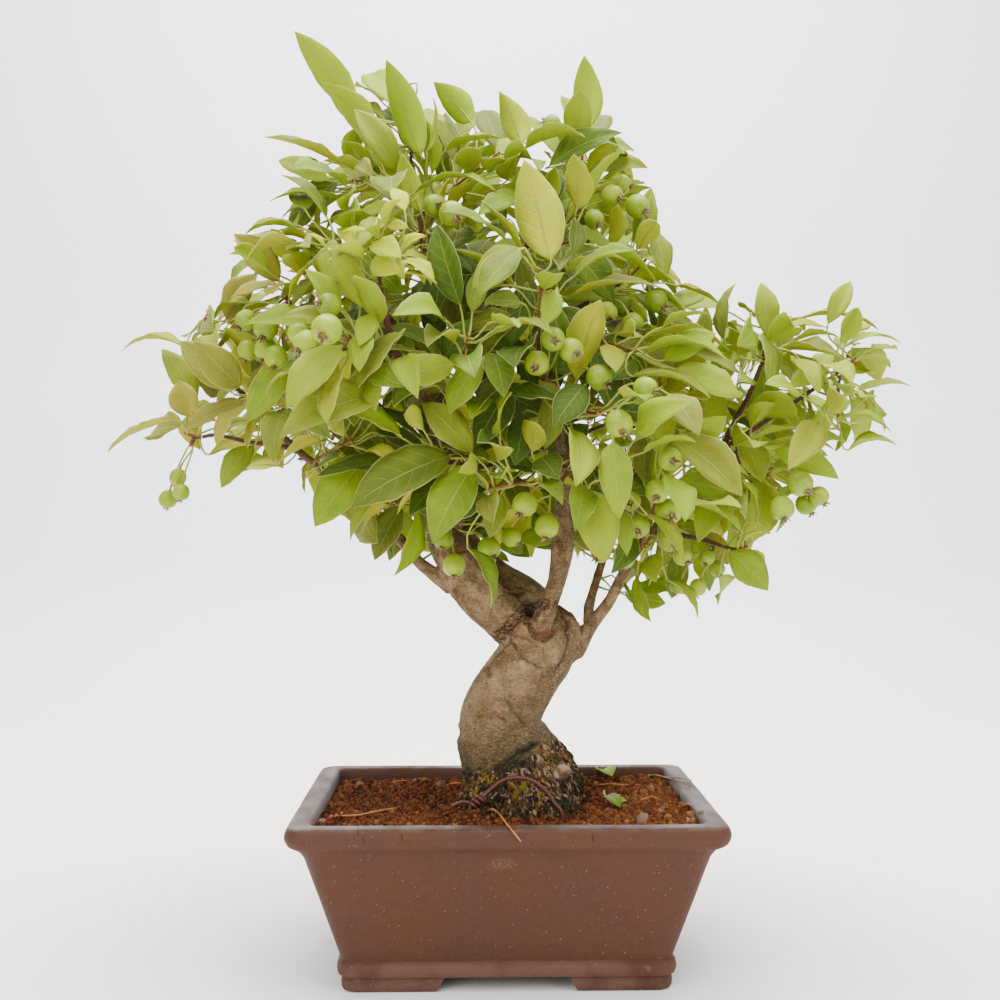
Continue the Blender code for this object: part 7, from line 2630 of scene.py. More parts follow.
@dataclass
class Wood:
    """The trunk and thick limbs under one skin of bark, and the thin branches."""

    voxel: float = 1.0 * MM
    thick: float = 2.4 * MM
    ring_points: int = 60
    branch_sides: int = 12
    foot_low: float = 0.101
    foot_lean: float = 0.42
    plate: float = 5.2 * MM
    plate_depth: float = 1.5 * MM
    stub_at: tuple[float, float] = (562, 772)
    stub_radius: float = 3.6 * MM
    stub_length: float = 4.2 * MM
    sunk: float = 0.22
    ridge: float = 1.8

    def trunk(self) -> Solid:
        """The lower trunk in fine rings.

        Returns:
            The closed body.
        """
        middles = smooth([mm(*ring[:3]) for ring in TRUNK_RINGS], 5)
        sizes = smooth([Vector((*ring[3:], 0)) for ring in TRUNK_RINGS], 5)
        verts, side = [], Vector((1, 0, 0))
        for i, middle in enumerate(middles):
            along = (middles[min(i + 1, len(middles) - 1)] - middles[i - 1]).normalized() if i > 5 else UP
            side = square_to(along, side)
            other = along.cross(side)
            for k in range(self.ring_points):
                turn = math.tau * k / self.ring_points
                lobes = math.cos(ROOT_LOBES * (turn - ROOT_TURN)) + 0.5 * math.cos(3 * turn + 0.8)
                reach = sizes[i].x * MM * (1 + sizes[i].y * lobes)
                verts.append(middle + reach * (side * math.cos(turn) + other * math.sin(turn)))
        return verts, skin(len(middles), self.ring_points)

    def thick_part(self, branch: Stem) -> Solid | None:
        """The stretch of a branch that the trunk's skin takes in.

        Args:
            branch: the branch.

        Returns:
            The closed body, if there is such a stretch.
        """
        line = smooth(branch.line, 3) if len(branch.line) > 2 else branch.line
        radii = [branch.radius(i / (len(line) - 1)) for i in range(len(line))]
        count = sum(radius > self.thick for radius in radii)
        if count < 3:
            return None
        return tube(line[:count], radii[:count], 18)

    def skin_mesh(self) -> bpy.types.Mesh:
        """All thick wood under one skin, before its bark is raised.

        Returns:
            The mesh.
        """
        parts = [self.trunk(), *filter(None, (self.thick_part(branch) for branch in BRANCHES))]
        tree = BVHTree.FromPolygons(*parts[0])
        start = VIEW_FROM
        hit, normal, _, _ = tree.ray_cast(start, (seen((*self.stub_at, 0)) - start).normalized())
        out = (normal + Vector((0.35, 0, 0.15))).normalized()
        parts.append(tube([hit - out * 3 * MM, hit, hit + out * self.stub_length],
                          [self.stub_radius * size for size in (1.2, 1.1, 0.9)], 14))
        body = Body()
        for points, faces in parts:
            body.add(points, faces)
        piece = shown("trunk", solid_mesh("trunk", (body.points, body.faces)))
        remesh = piece.modifiers.new("skin", "REMESH")
        remesh.mode, remesh.voxel_size, remesh.use_smooth_shade = "VOXEL", self.voxel, True
        made = bpy.data.meshes.new_from_object(piece.evaluated_get(bpy.context.evaluated_depsgraph_get()))
        drop(piece)
        return made

    def raise_bark(self, mesh: bpy.types.Mesh) -> None:
        """Raise the bark's relief from the skin, and note where its finish changes.

        Args:
            mesh: the skin.
        """
        count = len(mesh.vertices)
        points, normals = np.zeros(count * 3), np.zeros(count * 3)
        mesh.vertices.foreach_get("co", points)
        mesh.vertex_normals.foreach_get("vector", normals)
        points, normals = points.reshape(-1, 3), normals.reshape(-1, 3)
        rows = np.array(view_axes())
        away = (points - np.array(VIEW_FROM)) @ rows
        across = VIEW_MIDDLE + VIEW_UNITS * away[:, 0] / away[:, 1]
        down = VIEW_MIDDLE - VIEW_UNITS * away[:, 2] / away[:, 1]
        facing = np.clip(-(normals @ rows[:, 1]) * 4, 0, 1)
        scale = away[:, 1] / VIEW_UNITS / MM
        sway = np.array([2.2 * noise.noise(Vector(point) * 260) for point in points])
        other_sway = np.array([2.2 * noise.noise(Vector(point) * 260 + UP * 9) for point in points])
        noted = {sign: np.zeros(count) for sign in Sign}
        lift = np.zeros(count)
        for mark in MARKS:
            near = self.distance(across + sway, down + other_sway, mark.line) * scale
            weight = np.clip(1 - near / mark.reach, 0, 1) * facing
            weight = weight * weight * (3 - 2 * weight)
            ridge = np.cos(near * math.tau / self.ridge) if mark.sign is Sign.COLLAR else 1.0
            lift += weight * mark.height * ridge * MM
            noted[mark.sign] = np.maximum(noted[mark.sign], weight)
        foot, crease, olive = np.zeros(count), np.zeros(count), np.zeros(count)
        stub = np.hypot(across - self.stub_at[0], down - self.stub_at[1]) * scale * MM / self.stub_radius
        stub = np.clip((1.35 - stub) * 4, 0, 1) * (facing > 0) * (points[:, 1] < 0)
        for i in range(count):
            point = Vector(points[i])
            edge = self.foot_low + self.foot_lean * (point.x + 0.019) + 0.004 * noise.noise(point * 180)
            rough = min(max((edge + 0.004 - point.z) / 0.009, 0.0), 1.0)
            foot[i] = rough * rough * (3 - 2 * rough) * (1 - stub[i])
            height = 0.55 * noise.noise(point * 70) + 0.28 * noise.noise(Vector((point.x * 260, point.y * 260, point.z * 55)))
            height += 0.16 * noise.noise(Vector((point.x * 150, point.y * 150, point.z * 620)))
            if foot[i] > 0:
                warp = Vector((point.x, point.y, point.z * 0.55)) + noise.noise_vector(point * 160) * 0.0012
                near, spots = noise.voronoi(warp / self.plate)
                gap = min((near[1] - near[0]) * 3.2, 1.0)
                small, _ = noise.voronoi(warp / self.plate * 2.3)
                flake = min((small[1] - small[0]) * 3.5, 1.0)
                block = noise.cell(spots[0] * 7.7)
                height += foot[i] * (0.75 * block + 1.5 * (gap - 0.75) + 0.7 * (flake - 0.6))
                # The gaps between the flakes are pressed in, and noted for painted shade.
                crease[i] = foot[i] * max(1 - gap * 1.6, 0.7 * (1 - flake * 1.8), 0.0)
            lift[i] += height * MM * (1 if points[i, 2] < 0.2 else 0.6)
            olive[i] = max(0.0, 1 - abs(point.z - 0.2) / 0.05) * (point.x > 0.02 and point.y < -0.012)
        damp = np.array([noise.noise(Vector(point) * 120) for point in points])
        mossy = np.clip((damp + 0.22 - (points[:, 2] - 0.086) * 42) * 2.2, 0, 1) * foot
        noted[Sign.MOSS] = np.maximum(noted[Sign.MOSS], mossy * 0.85)
        # Painted shade on the far side of the trunk above the foot, where it stands behind the limbs.
        noted[Sign.HOLLOW] = np.maximum(noted[Sign.HOLLOW], np.clip((points[:, 1] - 0.003) * 45, 0, 0.60) * (points[:, 2] > 0.14))
        points += normals * lift[:, None]
        mesh.vertices.foreach_set("co", points.ravel())
        mesh.update()
        for name, values in (("foot", foot), ("crease", crease), ("olive", olive), ("scar", noted[Sign.SCAR]),
                             ("shade", noted[Sign.HOLLOW]), ("moss", noted[Sign.MOSS]), ("lichen", noted[Sign.LICHEN]),
                             ("collar", noted[Sign.COLLAR]), ("stub", stub)):
            note(mesh, name, values)

    def distance(self, across: np.ndarray, down: np.ndarray, line: tuple[tuple[float, float], ...]) -> np.ndarray:
        """How far each place in the front view is from a line.

        Args:
            across: the places across the view.
            down: the places down the view.
            line: the line's places.

        Returns:
            The distances, in the view's units.
        """
        least = np.full(len(across), 1e9)
        for (x0, y0), (x1, y1) in zip(line, line[1:] or line):
            length = max((x1 - x0) ** 2 + (y1 - y0) ** 2, 1e-9)
            share = np.clip(((across - x0) * (x1 - x0) + (down - y0) * (y1 - y0)) / length, 0, 1)
            least = np.minimum(least, np.hypot(across - x0 - share * (x1 - x0), down - y0 - share * (y1 - y0)))
        return least

    def scatter(self, trunk: bpy.types.Object, flakes: bpy.types.Material, moss: bpy.types.Material) -> None:
        """The loose flakes and the moss tufts that stand on the foot.

        Args:
            trunk: the trunk's skin.
            flakes: the flakes' finish.
            moss: the tufts' finish.
        """
        marks = {}
        for name in ("foot", "moss", "stub"):
            marks[name] = np.zeros(len(trunk.data.vertices), np.float32)
            trunk.data.attributes[name].data.foreach_get("value", marks[name])
        above = np.array([vert.co.z > SOIL_TOP - 0.004 for vert in trunk.data.vertices])
        bare = marks["stub"] == 0
        weights = {"bark_flakes": np.clip(marks["foot"] * 1.4 - marks["moss"] - 0.3, 0, 1) * bare,
                   "moss_tufts": marks["moss"] ** 1.5 * bare}
        sizes = {"bark_flakes": ((0.30, 0.22, 0.7), (1.15, 0.50, 2.8)), "moss_tufts": ((0.3, 0.3, 0.3), (0.62, 0.55, 0.55))}
        for name, spacing, finish, seed in (("bark_flakes", 1.40 * MM, flakes, 8), ("moss_tufts", 0.95 * MM, moss, 9)):
            mesh = trunk.data.copy()
            note(mesh, "weight", weights[name] * above)
            lump = grain("lump", 1, 0.3, seed)
            low, high = (tuple(size * MM for size in row) for row in sizes[name])
            piece = scatter_tree(name, True).grow(name, mesh, Lump=lump, Spacing=spacing, Seed=seed, Low_size=low,
                                                  High_size=high, Finish=finish)
            drop(lump)
            keep(piece, "bark")

    def branch_tree(self) -> Growth:
        """The tree that sweeps the thin branches."""
        tree = Growth("branches")
        tree.end([tree.sweep(tree.input("Sides", "Int"))], {"Finish": True})
        return tree

    def build(self, bark: bpy.types.Material, young_bark: bpy.types.Material) -> bpy.types.Object:
        """The trunk's skin and the branches.

        Args:
            bark: the trunk's finish.
            young_bark: the branches' finish.

        Returns:
            The trunk.
        """
        mesh = self.skin_mesh()
        self.raise_bark(mesh)
        mesh.materials.clear()
        mesh.materials.append(bark)
        trunk = keep(shown("trunk_skin", mesh), "bark", "wood")
        chains = []
        draw = random.Random(5)
        for branch in BRANCHES:
            steps = 10 * (len(branch.points) - 1)
            shares = [k / steps for k in range(steps + 1)]
            fine = Stem("fine", [], branch.radii, line=smooth(branch.line, 4))
            sizes = [branch.radius(share) for share in shares]
            sizes = [size * (1 - self.sunk * min(max((size - self.thick) / MM, 0.0), 1.0)) for size in sizes]
            knots = [1 + 0.16 * max(0.0, noise.noise(Vector((share * 30, draw.random() * 0.2, len(branch.name))))) for share in shares]
            brown = [0.76 + 0.24 * min(max((size / self.thick - 0.7) / 0.3, 0.0), 1.0) for size in sizes]
            chains.append(Chain([fine.at(share)[0] for share in shares],
                                [size * knot for size, knot in zip(sizes, knots)], brown))
        piece = self.branch_tree().grow("branches", line_mesh("branches", chains), Sides=self.branch_sides, Finish=young_bark)
        keep(piece, "bark", "wood")
        return trunk


# The pot and what it holds

def even_ring(half_x: float, half_y: float, radius: float, height: float, spans: tuple[int, int, int]) -> list[Vector]:
    """A ring round a rectangle with round corners, with even points along its sides.

    Args:
        half_x: half its length.
        half_y: half its depth.
        radius: its corners' radius.
        height: its height.
        spans: the spans of a corner, of a long side and of a short side.

    Returns:
        The points.
    """
    corners = rounded(half_x, half_y, radius, height, spans[0])
    points = []
    for k, point in enumerate(corners):
        points.append(point)
        number, step = divmod(k, spans[0] + 1)
        if step == spans[0]:
            after, count = corners[(k + 1) % len(corners)], spans[2 if number % 2 else 1]
            points += [point.lerp(after, i / count) for i in range(1, count)]
    return points


@dataclass
class Pot:
    """The rectangular pot: bracket feet, base roll, tapered body and a rounded overhanging rim."""

    corner_steps: int = 8
    long_steps: int = 26
    short_steps: int = 20
    foot_round: float = 1.6 * MM
    unevenness: float = 0.35 * MM

    def ring(self, inset: float, height: float, radius: float) -> list[Vector]:
        """A ring round the pot with even points along its sides.

        Args:
            inset: how far inside the rim's outline.
            height: its height.
            radius: its corners' radius.

        Returns:
            The points.
        """
        return even_ring(POT_LENGTH / 2 - inset, POT_DEPTH / 2 - inset, radius, height,
                         (self.corner_steps, self.long_steps, self.short_steps))

    def shape(self) -> Solid:
        """The pot before its openings are cut.

        Returns:
            The closed body.
        """
        low, body = POT_HEIGHT - RIM_DROP, RIM_OVERHANG + BODY_TAPER
        foot = [(body + 0.0006 + self.foot_round, 0.0, 0.008), (body + 0.0006 + 0.3 * self.foot_round, 0.0005, 0.008),
                (body + 0.0006, self.foot_round, 0.008), (body + 0.0002, 0.0042, 0.009), (body + 0.0006, 0.0064, 0.009),
                (body + 0.0009, FOOT_HEIGHT - 0.0002, 0.009)]
        roll = [(body - 0.6 * ROLL_PROUD, FOOT_HEIGHT + 0.0006, 0.010), (body - ROLL_PROUD, 0.0108, 0.011),
                (body - 0.8 * ROLL_PROUD, 0.0138, 0.011), (body - 0.1 * ROLL_PROUD, ROLL_TOP - 0.0004, 0.009)]
        wall = [(body + 0.0002 + (RIM_OVERHANG - body) * k / 12, ROLL_TOP + (low - ROLL_TOP) * k / 12, 0.009)
                for k in range(12)]
        rim = [(RIM_OVERHANG + 0.0002, low - 0.0022, 0.008), (RIM_OVERHANG - 0.0016, low - 0.0002, 0.008),
               (0.0042, low + 0.0006, 0.009), (0.0016, low + 0.0026, 0.010), (0.0, POT_HEIGHT - 0.0056, 0.011),
               (0.0008, POT_HEIGHT - 0.0020, 0.010), (0.0028, POT_HEIGHT - 0.0001, 0.0085),
               (RIM_WIDTH - 0.0020, POT_HEIGHT, 0.006), (RIM_WIDTH - 0.0008, POT_HEIGHT - 0.0002, 0.006)]
        inner = []
        for k in range(13):
            height = POT_HEIGHT - 0.0012 + (FLOOR_TOP - POT_HEIGHT + 0.0012) * k / 12
            inner.append((POT_LENGTH / 2 - pot_inside(height)[0], height, 0.006))
        profile = [Vector(row) for row in foot] + smooth([Vector(row) for row in roll], 4)
        profile += [Vector(row) for row in wall] + smooth([Vector(row) for row in rim], 4) + [Vector(row) for row in inner]
        return rings_solid([self.ring(*row) for row in profile])

    def slot(self, width: float, reach: float, across: bool) -> Solid:
        """A cutter for the opening between two feet, whose ends it leaves round at the ground.

        Args:
            width: the opening's width at its top.
            reach: half the cutter's length.
            across: whether it runs along the pot.

        Returns:
            The closed body.
        """
        wide = width / 2 + FOOT_END_SLANT
        side = [(wide + 1.4 * self.foot_round, -MM), (wide + self.foot_round, 0.0), (wide + 0.3 * self.foot_round, 0.0005),
                (wide, self.foot_round), (width / 2 + 0.0012, 0.0045), (width / 2 + 0.0002, 0.0066), (width / 2 - 0.0012, FOOT_HEIGHT)]
        outline = [(-place, high) for place, high in side] + [(place, high) for place, high in reversed(side)]
        ends = (-reach, reach)
        rings = [[Vector((end, a, z)) if across else Vector((a, end, z)) for a, z in outline] for end in ends]
        return rings_solid(rings)

    def build(self, clay: bpy.types.Material) -> None:
        """The pot with its openings cut and its surface a little uneven.

        Args:
            clay: its finish.
        """
        pot = shown("fine_pot", solid_mesh("fine_pot", self.shape()))
        body = RIM_OVERHANG + BODY_TAPER + FOOT_WALL
        recess = rings_solid([rounded(POT_LENGTH / 2 - body, POT_DEPTH / 2 - body, 0.004, z, 6) for z in (-MM, FOOT_HEIGHT)])
        turns = [math.tau * k / 32 for k in range(32)]
        drains = [rings_solid([[Vector((side * DRAIN_SPREAD + DRAIN_RADIUS * math.cos(turn), DRAIN_RADIUS * math.sin(turn), z))
                                for turn in turns] for z in (-MM, POT_HEIGHT)]) for side in (-1, 1)]
        group = bpy.data.collections.new("cutters")
        for cutter in (recess, self.slot(FRONT_FOOT_GAP, POT_DEPTH, False), self.slot(SIDE_FOOT_GAP, POT_LENGTH, True), *drains):
            mesh = solid_mesh("cutter", cutter)
            outward(mesh)
            group.objects.link(bpy.data.objects.new("cutter", mesh))
        cut = pot.modifiers.new("cut", "BOOLEAN")
        cut.operation, cut.operand_type, cut.collection, cut.solver = "DIFFERENCE", "COLLECTION", group, "EXACT"
        made = bpy.data.meshes.new_from_object(pot.evaluated_get(bpy.context.evaluated_depsgraph_get()))
        pot.modifiers.clear()
        pot.data = made
        drop(*group.objects)
        bpy.data.collections.remove(group)
        for vert in made.vertices:
            share = min(max((vert.co.z - 0.0195) / 0.06, 0.0), 1.0)
            soft = noise.noise(vert.co * 26) + 0.4 * noise.noise(vert.co * 90)
            vert.co += Vector((vert.normal.x, vert.normal.y, 0.6 * vert.normal.z)) * self.unevenness * soft * share
        note(made, "level", [max(0.0, vert.normal.z) * (vert.co.z > 0.08) for vert in made.vertices])
        inner = []
        for vert in made.vertices:
            half_x, half_y = pot_inside(max(vert.co.z, FLOOR_TOP))
            inner.append(float(abs(vert.co.x) < half_x + 1.2 * MM and abs(vert.co.y) < half_y + 1.2 * MM and vert.normal.z < 0.5))
        note(made, "inner", inner)
        made.materials.clear()
        made.materials.append(clay)
        made.shade_smooth()
        smooth_by_angle(made, 0.7)
        keep(pot, "clay", "pot")


def smooth_by_angle(mesh: bpy.types.Mesh, angle: float) -> None:
    """Leave the edges that bend more than an angle sharp."""
    shape = bmesh.new()
    shape.from_mesh(mesh)
    for edge in shape.edges:
        edge.smooth = len(edge.link_faces) == 2 and edge.calc_face_angle(0.0) < angle
    shape.to_mesh(mesh)
    shape.free()


def grain(name: str, detail: int, rough: float, seed: int) -> bpy.types.Object:
    """A small irregular lump, one unit in radius.

    Args:
        name: its name.
        detail: how finely it is split.
        rough: how irregular it is.
        seed: the seed of its form.

    Returns:
        A helper object.
    """
    draw = random.Random(seed)
    shape = bmesh.new()
    bmesh.ops.create_icosphere(shape, subdivisions=detail, radius=1.0)
    for vert in shape.verts:
        vert.co *= 1 + draw.uniform(-rough, rough)
    mesh = bpy.data.meshes.new(name)
    shape.to_mesh(mesh)
    shape.free()
    return shown(name, mesh)


def scatter_tree(name: str, flat: bool = False) -> Growth:
    """A tree that scatters lumps over a surface, each with a turn, a size and a tone of its own.

    Args:
        name: the tree's name.
        flat: whether they lie flat on it, their length running down and to the right.

    Returns:
        The tree.
    """
    tree = Growth(name)
    seed = tree.input("Seed", "Int")
    spread = tree.node("GeometryNodeDistributePointsOnFaces", {"distribute_method": "POISSON"},
                       {"Mesh": tree.own, "Distance Min": tree.input("Spacing", "Float"), "Density Max": 900000.0,
                        "Density Factor": tree.named("weight"), "Seed": seed})
    if flat:
        sway = tree.node("FunctionNodeRandomValue", {"data_type": "FLOAT_VECTOR"},
                         {0: (-0.55,) * 3, 1: (0.55,) * 3, "Seed": seed})
        across = tree.node("GeometryNodeInputPosition", {}, {}).split()[0]
        lean = tree.node("ShaderNodeCombineXYZ", {}, {0: (across * 30.0).least(0.8).most(-0.15), 2: -1.0})
        normal = Term(tree, spread.socket.node.outputs["Normal"])
        turn = tree.node("FunctionNodeAxesToRotation", {"primary_axis": "Y", "secondary_axis": "Z"},
                         {0: normal + 0.6 * sway, 1: lean + sway})
    else:
        turn = tree.node("FunctionNodeRandomValue", {"data_type": "FLOAT_VECTOR"}, {1: (math.tau,) * 3, "Seed": seed})
    low, high = tree.input("Low size", "Vector"), tree.input("High size", "Vector")
    size = tree.node("FunctionNodeRandomValue", {"data_type": "FLOAT_VECTOR"}, {0: low, 1: high, "Seed": seed + 1.0})
    copies = tree.node("GeometryNodeInstanceOnPoints", {}, {"Points": spread, "Instance": tree.shape("Lump"),
                                                            "Rotation": turn, "Scale": size})
    tone = tree.node("FunctionNodeRandomValue", {"data_type": "FLOAT"}, {"Seed": seed + 2.0}, 1)
    copies = tree.node("GeometryNodeStoreNamedAttribute", {"data_type": "FLOAT", "domain": "INSTANCE"},
                       {"Geometry": copies, "Name": "tone", "Value": tone})
    tree.end([copies], {"Finish": True})
    return tree


@dataclass
class Soil:
    """The soil: its body, heaped up at the pot's ends, and the grains on it."""

    spans: tuple[int, int, int] = (3, 62, 46)
    rows: int = 46
    spacing: float = 2.0 * MM
    coarse_spacing: float = 5.4 * MM
    bank: float = 2.6 * MM
    bank_reach: float = 26 * MM
    roots: tuple[float, float, float] = (0.0095, -0.0015, 0.031)
    heap: tuple[float, float, float, float] = (-0.0175, -0.0455, 0.0085, 0.0090)
    back_bank: float = 2.2 * MM

    def top(self, x: float, y: float) -> float:
        """The height of the soil's top at a place."""
        half_x, half_y = pot_inside(SOIL_TOP - SOIL_FALL)
        wave = math.sin(x * 640 + y * 210) + math.sin(y * 720 - x * 330)
        end = min(max((abs(x) - half_x + self.bank_reach) / self.bank_reach, 0.0), 1.0)
        lumps = 0.9 * noise.noise(Vector((x, y, 0)) * 120) + 0.5 * noise.noise(Vector((x, y, 0.3)) * 420)
        heap_x, heap_y, heap_reach, heap_high = self.heap
        lumps += heap_high / MM * math.exp(-((x - heap_x) ** 2 + (y - heap_y) ** 2) / heap_reach ** 2)
        level = SOIL_TOP - SOIL_FALL * (0.5 + 0.3 * y / half_y - 0.2 * x / half_x)
        level += self.back_bank * min(max((y - 0.02) / 0.05, 0.0), 1.0)
        return level + SOIL_LUMP * wave + lumps * MM + self.bank * end * end * (0.75 - 0.25 * y / half_y)

    def body(self) -> bpy.types.Mesh:
        """The soil's body, with how thickly grains lie on it.

        Returns:
            The mesh.
        """
        bottom = FLOOR_TOP + 1.4 * MM
        half_x, half_y = (half - GAP for half in pot_inside(bottom))
        rings = [even_ring(half_x, half_y, 0.006, bottom, self.spans)]
        half_x, half_y = (half - 2 * GAP for half in pot_inside(SOIL_TOP - SOIL_FALL))
        for row in range(self.rows):
            share = 1 - 0.93 * row / (self.rows - 1)
            ring = even_ring(half_x * share, half_y * share, 0.0065 * share, 0.0, self.spans)
            for vert in ring:
                vert.z = self.top(vert.x, vert.y)
            rings.append(ring)
        mesh = solid_mesh("soil_bed", rings_solid(rings))
        x, y, reach = self.roots
        tops = [vert.co.z > 0.06 and (vert.co.xy - Vector((x, y))).length > reach for vert in mesh.vertices]
        note(mesh, "weight", [float(top) for top in tops])
        coarse = []
        for vert in mesh.vertices:
            side = max(abs(vert.co.x) - half_x + 0.012, abs(vert.co.y) - half_y + 0.012, 0.0) / 0.012
            coarse.append(min(1.0, max(0.07, (vert.co.x - 0.02) / 0.06) + 0.35 * side))
        note(mesh, "coarse", [top * share for top, share in zip(tops, coarse)])
        return mesh

    def build(self, crumb: bpy.types.Material) -> None:
        """The soil's body, and its fine and coarse grains.

        Args:
            crumb: their finish.
        """
        mesh = self.body()
        tree = scatter_tree("soil grains")
        for name, detail, spacing, low, high, seed in (
                ("soil_fine", 1, self.spacing, 0.85, 1.85, 3), ("soil_coarse", 2, self.coarse_spacing, 1.5, 2.9, 4)):
            lump = grain("lump", detail, 0.24, seed)
            sizes = [tuple(size * MM * part for part in (1, 1, 0.8)) for size in (low, high)]
            sheet = mesh.copy()
            if detail == 2:
                shares = np.zeros(len(sheet.vertices), np.float32)
                sheet.attributes["coarse"].data.foreach_get("value", shares)
                sheet.attributes["weight"].data.foreach_set("value", shares)
            piece = tree.grow(name, sheet, Lump=lump, Spacing=spacing, Seed=seed, Low_size=sizes[0],
                              High_size=sizes[1], Finish=crumb)
            drop(lump)
            keep(piece, "soil")
        mesh.materials.append(crumb)
        note(mesh, "tone", [0.15] * len(mesh.vertices))
        keep(shown("soil_bed", mesh), "soil", "soil")


@dataclass
class Litter:
    """What lies on the soil: stalks, dry grass, stones, a seedling and fallen leaves."""

    soil: Soil
    sides: int = 7

    def spot(self, across: float, down: float, lift: float) -> Vector:
        """The point over the soil, or over the rim, that a place in the front view shows.

        Args:
            across: the place across the view.
            down: the place down the view.
            lift: how far over the ground it is, in mm.

        Returns:
            The point.
        """
        height = SOIL_TOP
        ray = seen((across, down, 0)) - VIEW_FROM
        for _ in range(4):
            point = VIEW_FROM + ray * ((height + lift * MM - VIEW_FROM.z) / ray.z)
            inside = all(abs(place) < half for place, half in zip(point, pot_inside(POT_HEIGHT)))
            height = self.soil.top(point.x, point.y) + 1.1 * MM if inside else POT_HEIGHT
        return point

    def chain(self, places: tuple[tuple[float, float, float], ...], girth: float, age: float,
              past: tuple[Sight, ...] = ()) -> Chain:
        """A stalk over its places.

        Args:
            places: across and down the view, and how far over the ground, in mm.
            girth: its radius in mm.
            age: how brown it is.
            past: where it goes on over the rim.

        Returns:
            The line to be swept.
        """
        points = smooth([*(self.spot(*place) for place in places), *(seen(sight) for sight in past)], 5)
        count = len(points) - 1
        return Chain(points, [girth * MM * (1.15 - 0.5 * k / count) for k in range(count + 1)], [age] * (count + 1))

    def build_stalks(self, fresh: bpy.types.Material, dry: bpy.types.Material) -> None:
        """The stalks and the dry grass.

        Args:
            fresh: the stalks' finish.
            dry: the grass's finish.
        """
        stalks = [self.chain(*row) for row in (
            (((341, 816, 1.0), (358, 815, 2.2), (378, 811, 2.0), (396, 808, 1.2)), 0.5, 0.36),
            (((476, 818, 0.5), (484, 812, 3.4), (493, 809.5, 4.6), (500, 815, 4.2)), 0.52, 0.42,
             ((503.5, 819.5, -72), (506, 823, -77), (510, 828, -85), (513.5, 832, -86.9), (521, 841.5, -86.9))),
            (((597, 785, 1.8), (614, 784, 2.0), (635, 786, 1.0)), 0.45, 0.40),
            (((393, 782, 0.6), (402, 780.5, 1.6), (412, 781, 0.7)), 0.4, 0.45),
            (((603, 793, 3.0), (606, 797, 2.0), (608, 801, -0.5)), 0.45, 0.10),
            (((612, 803, 2.6), (608, 801, 1.4), (606, 802, -0.5)), 0.40, 0.10),
            (((336, 815, 4.0), (338, 816, 1.5), (341, 817, 0.2)), 0.5, 0.02),
            (((331, 816, 3.0), (335, 817, 1.2), (340, 817, 0.2)), 0.5, 0.05),
            (((342, 812, 3.0), (341, 815, 1.4), (341, 817, 0.2)), 0.5, 0.04),
            (((684, 806, 0.4), (688, 804, 1.2), (693, 806, 0.4)), 0.6, 0.04),
            (((450, 784, 0.3), (458, 783, 1.0), (468, 785, 0.4)), 0.5, 0.6),
            (((640, 800, 0.4), (652, 797, 1.0), (661, 801, 0.4)), 0.45, 0.5))]
        grass = [self.chain(*row) for row in (
            (((664, 777, 0.8), (680, 778, 2.2), (692, 780, 1.0)), 0.42, 0.5),
            (((664, 777, 0.8), (678, 781, 1.8), (692, 787, 0.8)), 0.40, 0.5),
            (((664, 777, 0.8), (655, 775, 1.8), (648, 776, 0.9)), 0.45, 0.5))]
        for name, chains, finish in (("fallen_stalks", stalks, fresh), ("dry_grass", grass, dry)):
            tree = Growth(name)
            tree.end([tree.sweep(tree.input("Sides", "Int"))], {"Finish": True})
            keep(tree.grow(name, line_mesh(name, chains), Sides=self.sides, Finish=finish), "bark")

    def build_stones(self, stone: bpy.types.Material, bud: bpy.types.Material) -> None:
        """The pale stones and the fallen buds.

        Args:
            stone: the stones' finish.
            bud: the buds' finish.
        """
        stones = ((322, 823, 3.0), (347, 787, 1.9), (360, 784, 2.0), (415, 781, 1.9), (439, 784, 1.8), (409, 825, 1.8),
                  (627, 822, 1.8), (643, 821, 4.4), (687, 821, 2.0), (377, 822, 1.5), (590, 826, 1.6),
                  (660, 812, 1.9), (673, 796, 1.7), (652, 788, 1.5), (392, 792, 1.4), (701, 812, 1.8), (455, 826, 1.5))
        buds = ((596, 784, 1.7), (424, 780, 1.9), (480, 817, 1.3))
        for name, rows, finish, seed in (("pale_stones", stones, stone, 12), ("fallen_buds", buds, bud, 13)):
            tree, draw = Growth(name), random.Random(seed)
            copies = tree.node("GeometryNodeInstanceOnPoints", {}, {
                "Points": tree.own, "Instance": tree.shape("Lump"), "Rotation": tree.named("turn", "FLOAT_VECTOR"),
                "Scale": tree.named("size", "FLOAT_VECTOR")})
            tree.end([copies], {"Finish": True})
            points = [{"at": self.spot(across, down, 0.15 * radius),
                       "turn": Vector([draw.uniform(0, math.tau) for _ in range(3)]),
                       "size": Vector([radius * MM * draw.uniform(0.75, 1.1) for _ in range(3)])}
                      for across, down, radius in rows]
            lump = grain("lump", 2, 0.16, seed)
            keep(tree.grow(name, point_mesh(name, points), Lump=lump, Finish=finish), "soil")
            drop(lump)

    def leaves(self) -> list[tuple[Vector, Leaf]]:
        """The seedling's two leaves and the small leaf that lies behind it.

        Returns:
            For each the middle of its stem, and the leaf.
        """
        rows = (((604, 794, 3.2), (606, 796, 4.2), (620, 806, 2.6), 0.45), ((612, 803, 2.6), (617, 802, 3.6), (627, 800, 2.4), 0.5),
                ((596, 771, 0.8), (600, 772, 2.4), (612, 774.5, 1.0), 0.55))
        found = []
        for foot, base, tip, wide in rows:
            start, near, far = (self.spot(*place) for place in (foot, base, tip))
            leaf = Leaf(start, near, far, Vector((0, -0.7, 1)), (far - near).length * wide, 0.08, 0.25, 1.3)
            found.append((start - UP * MM, leaf))
        return found


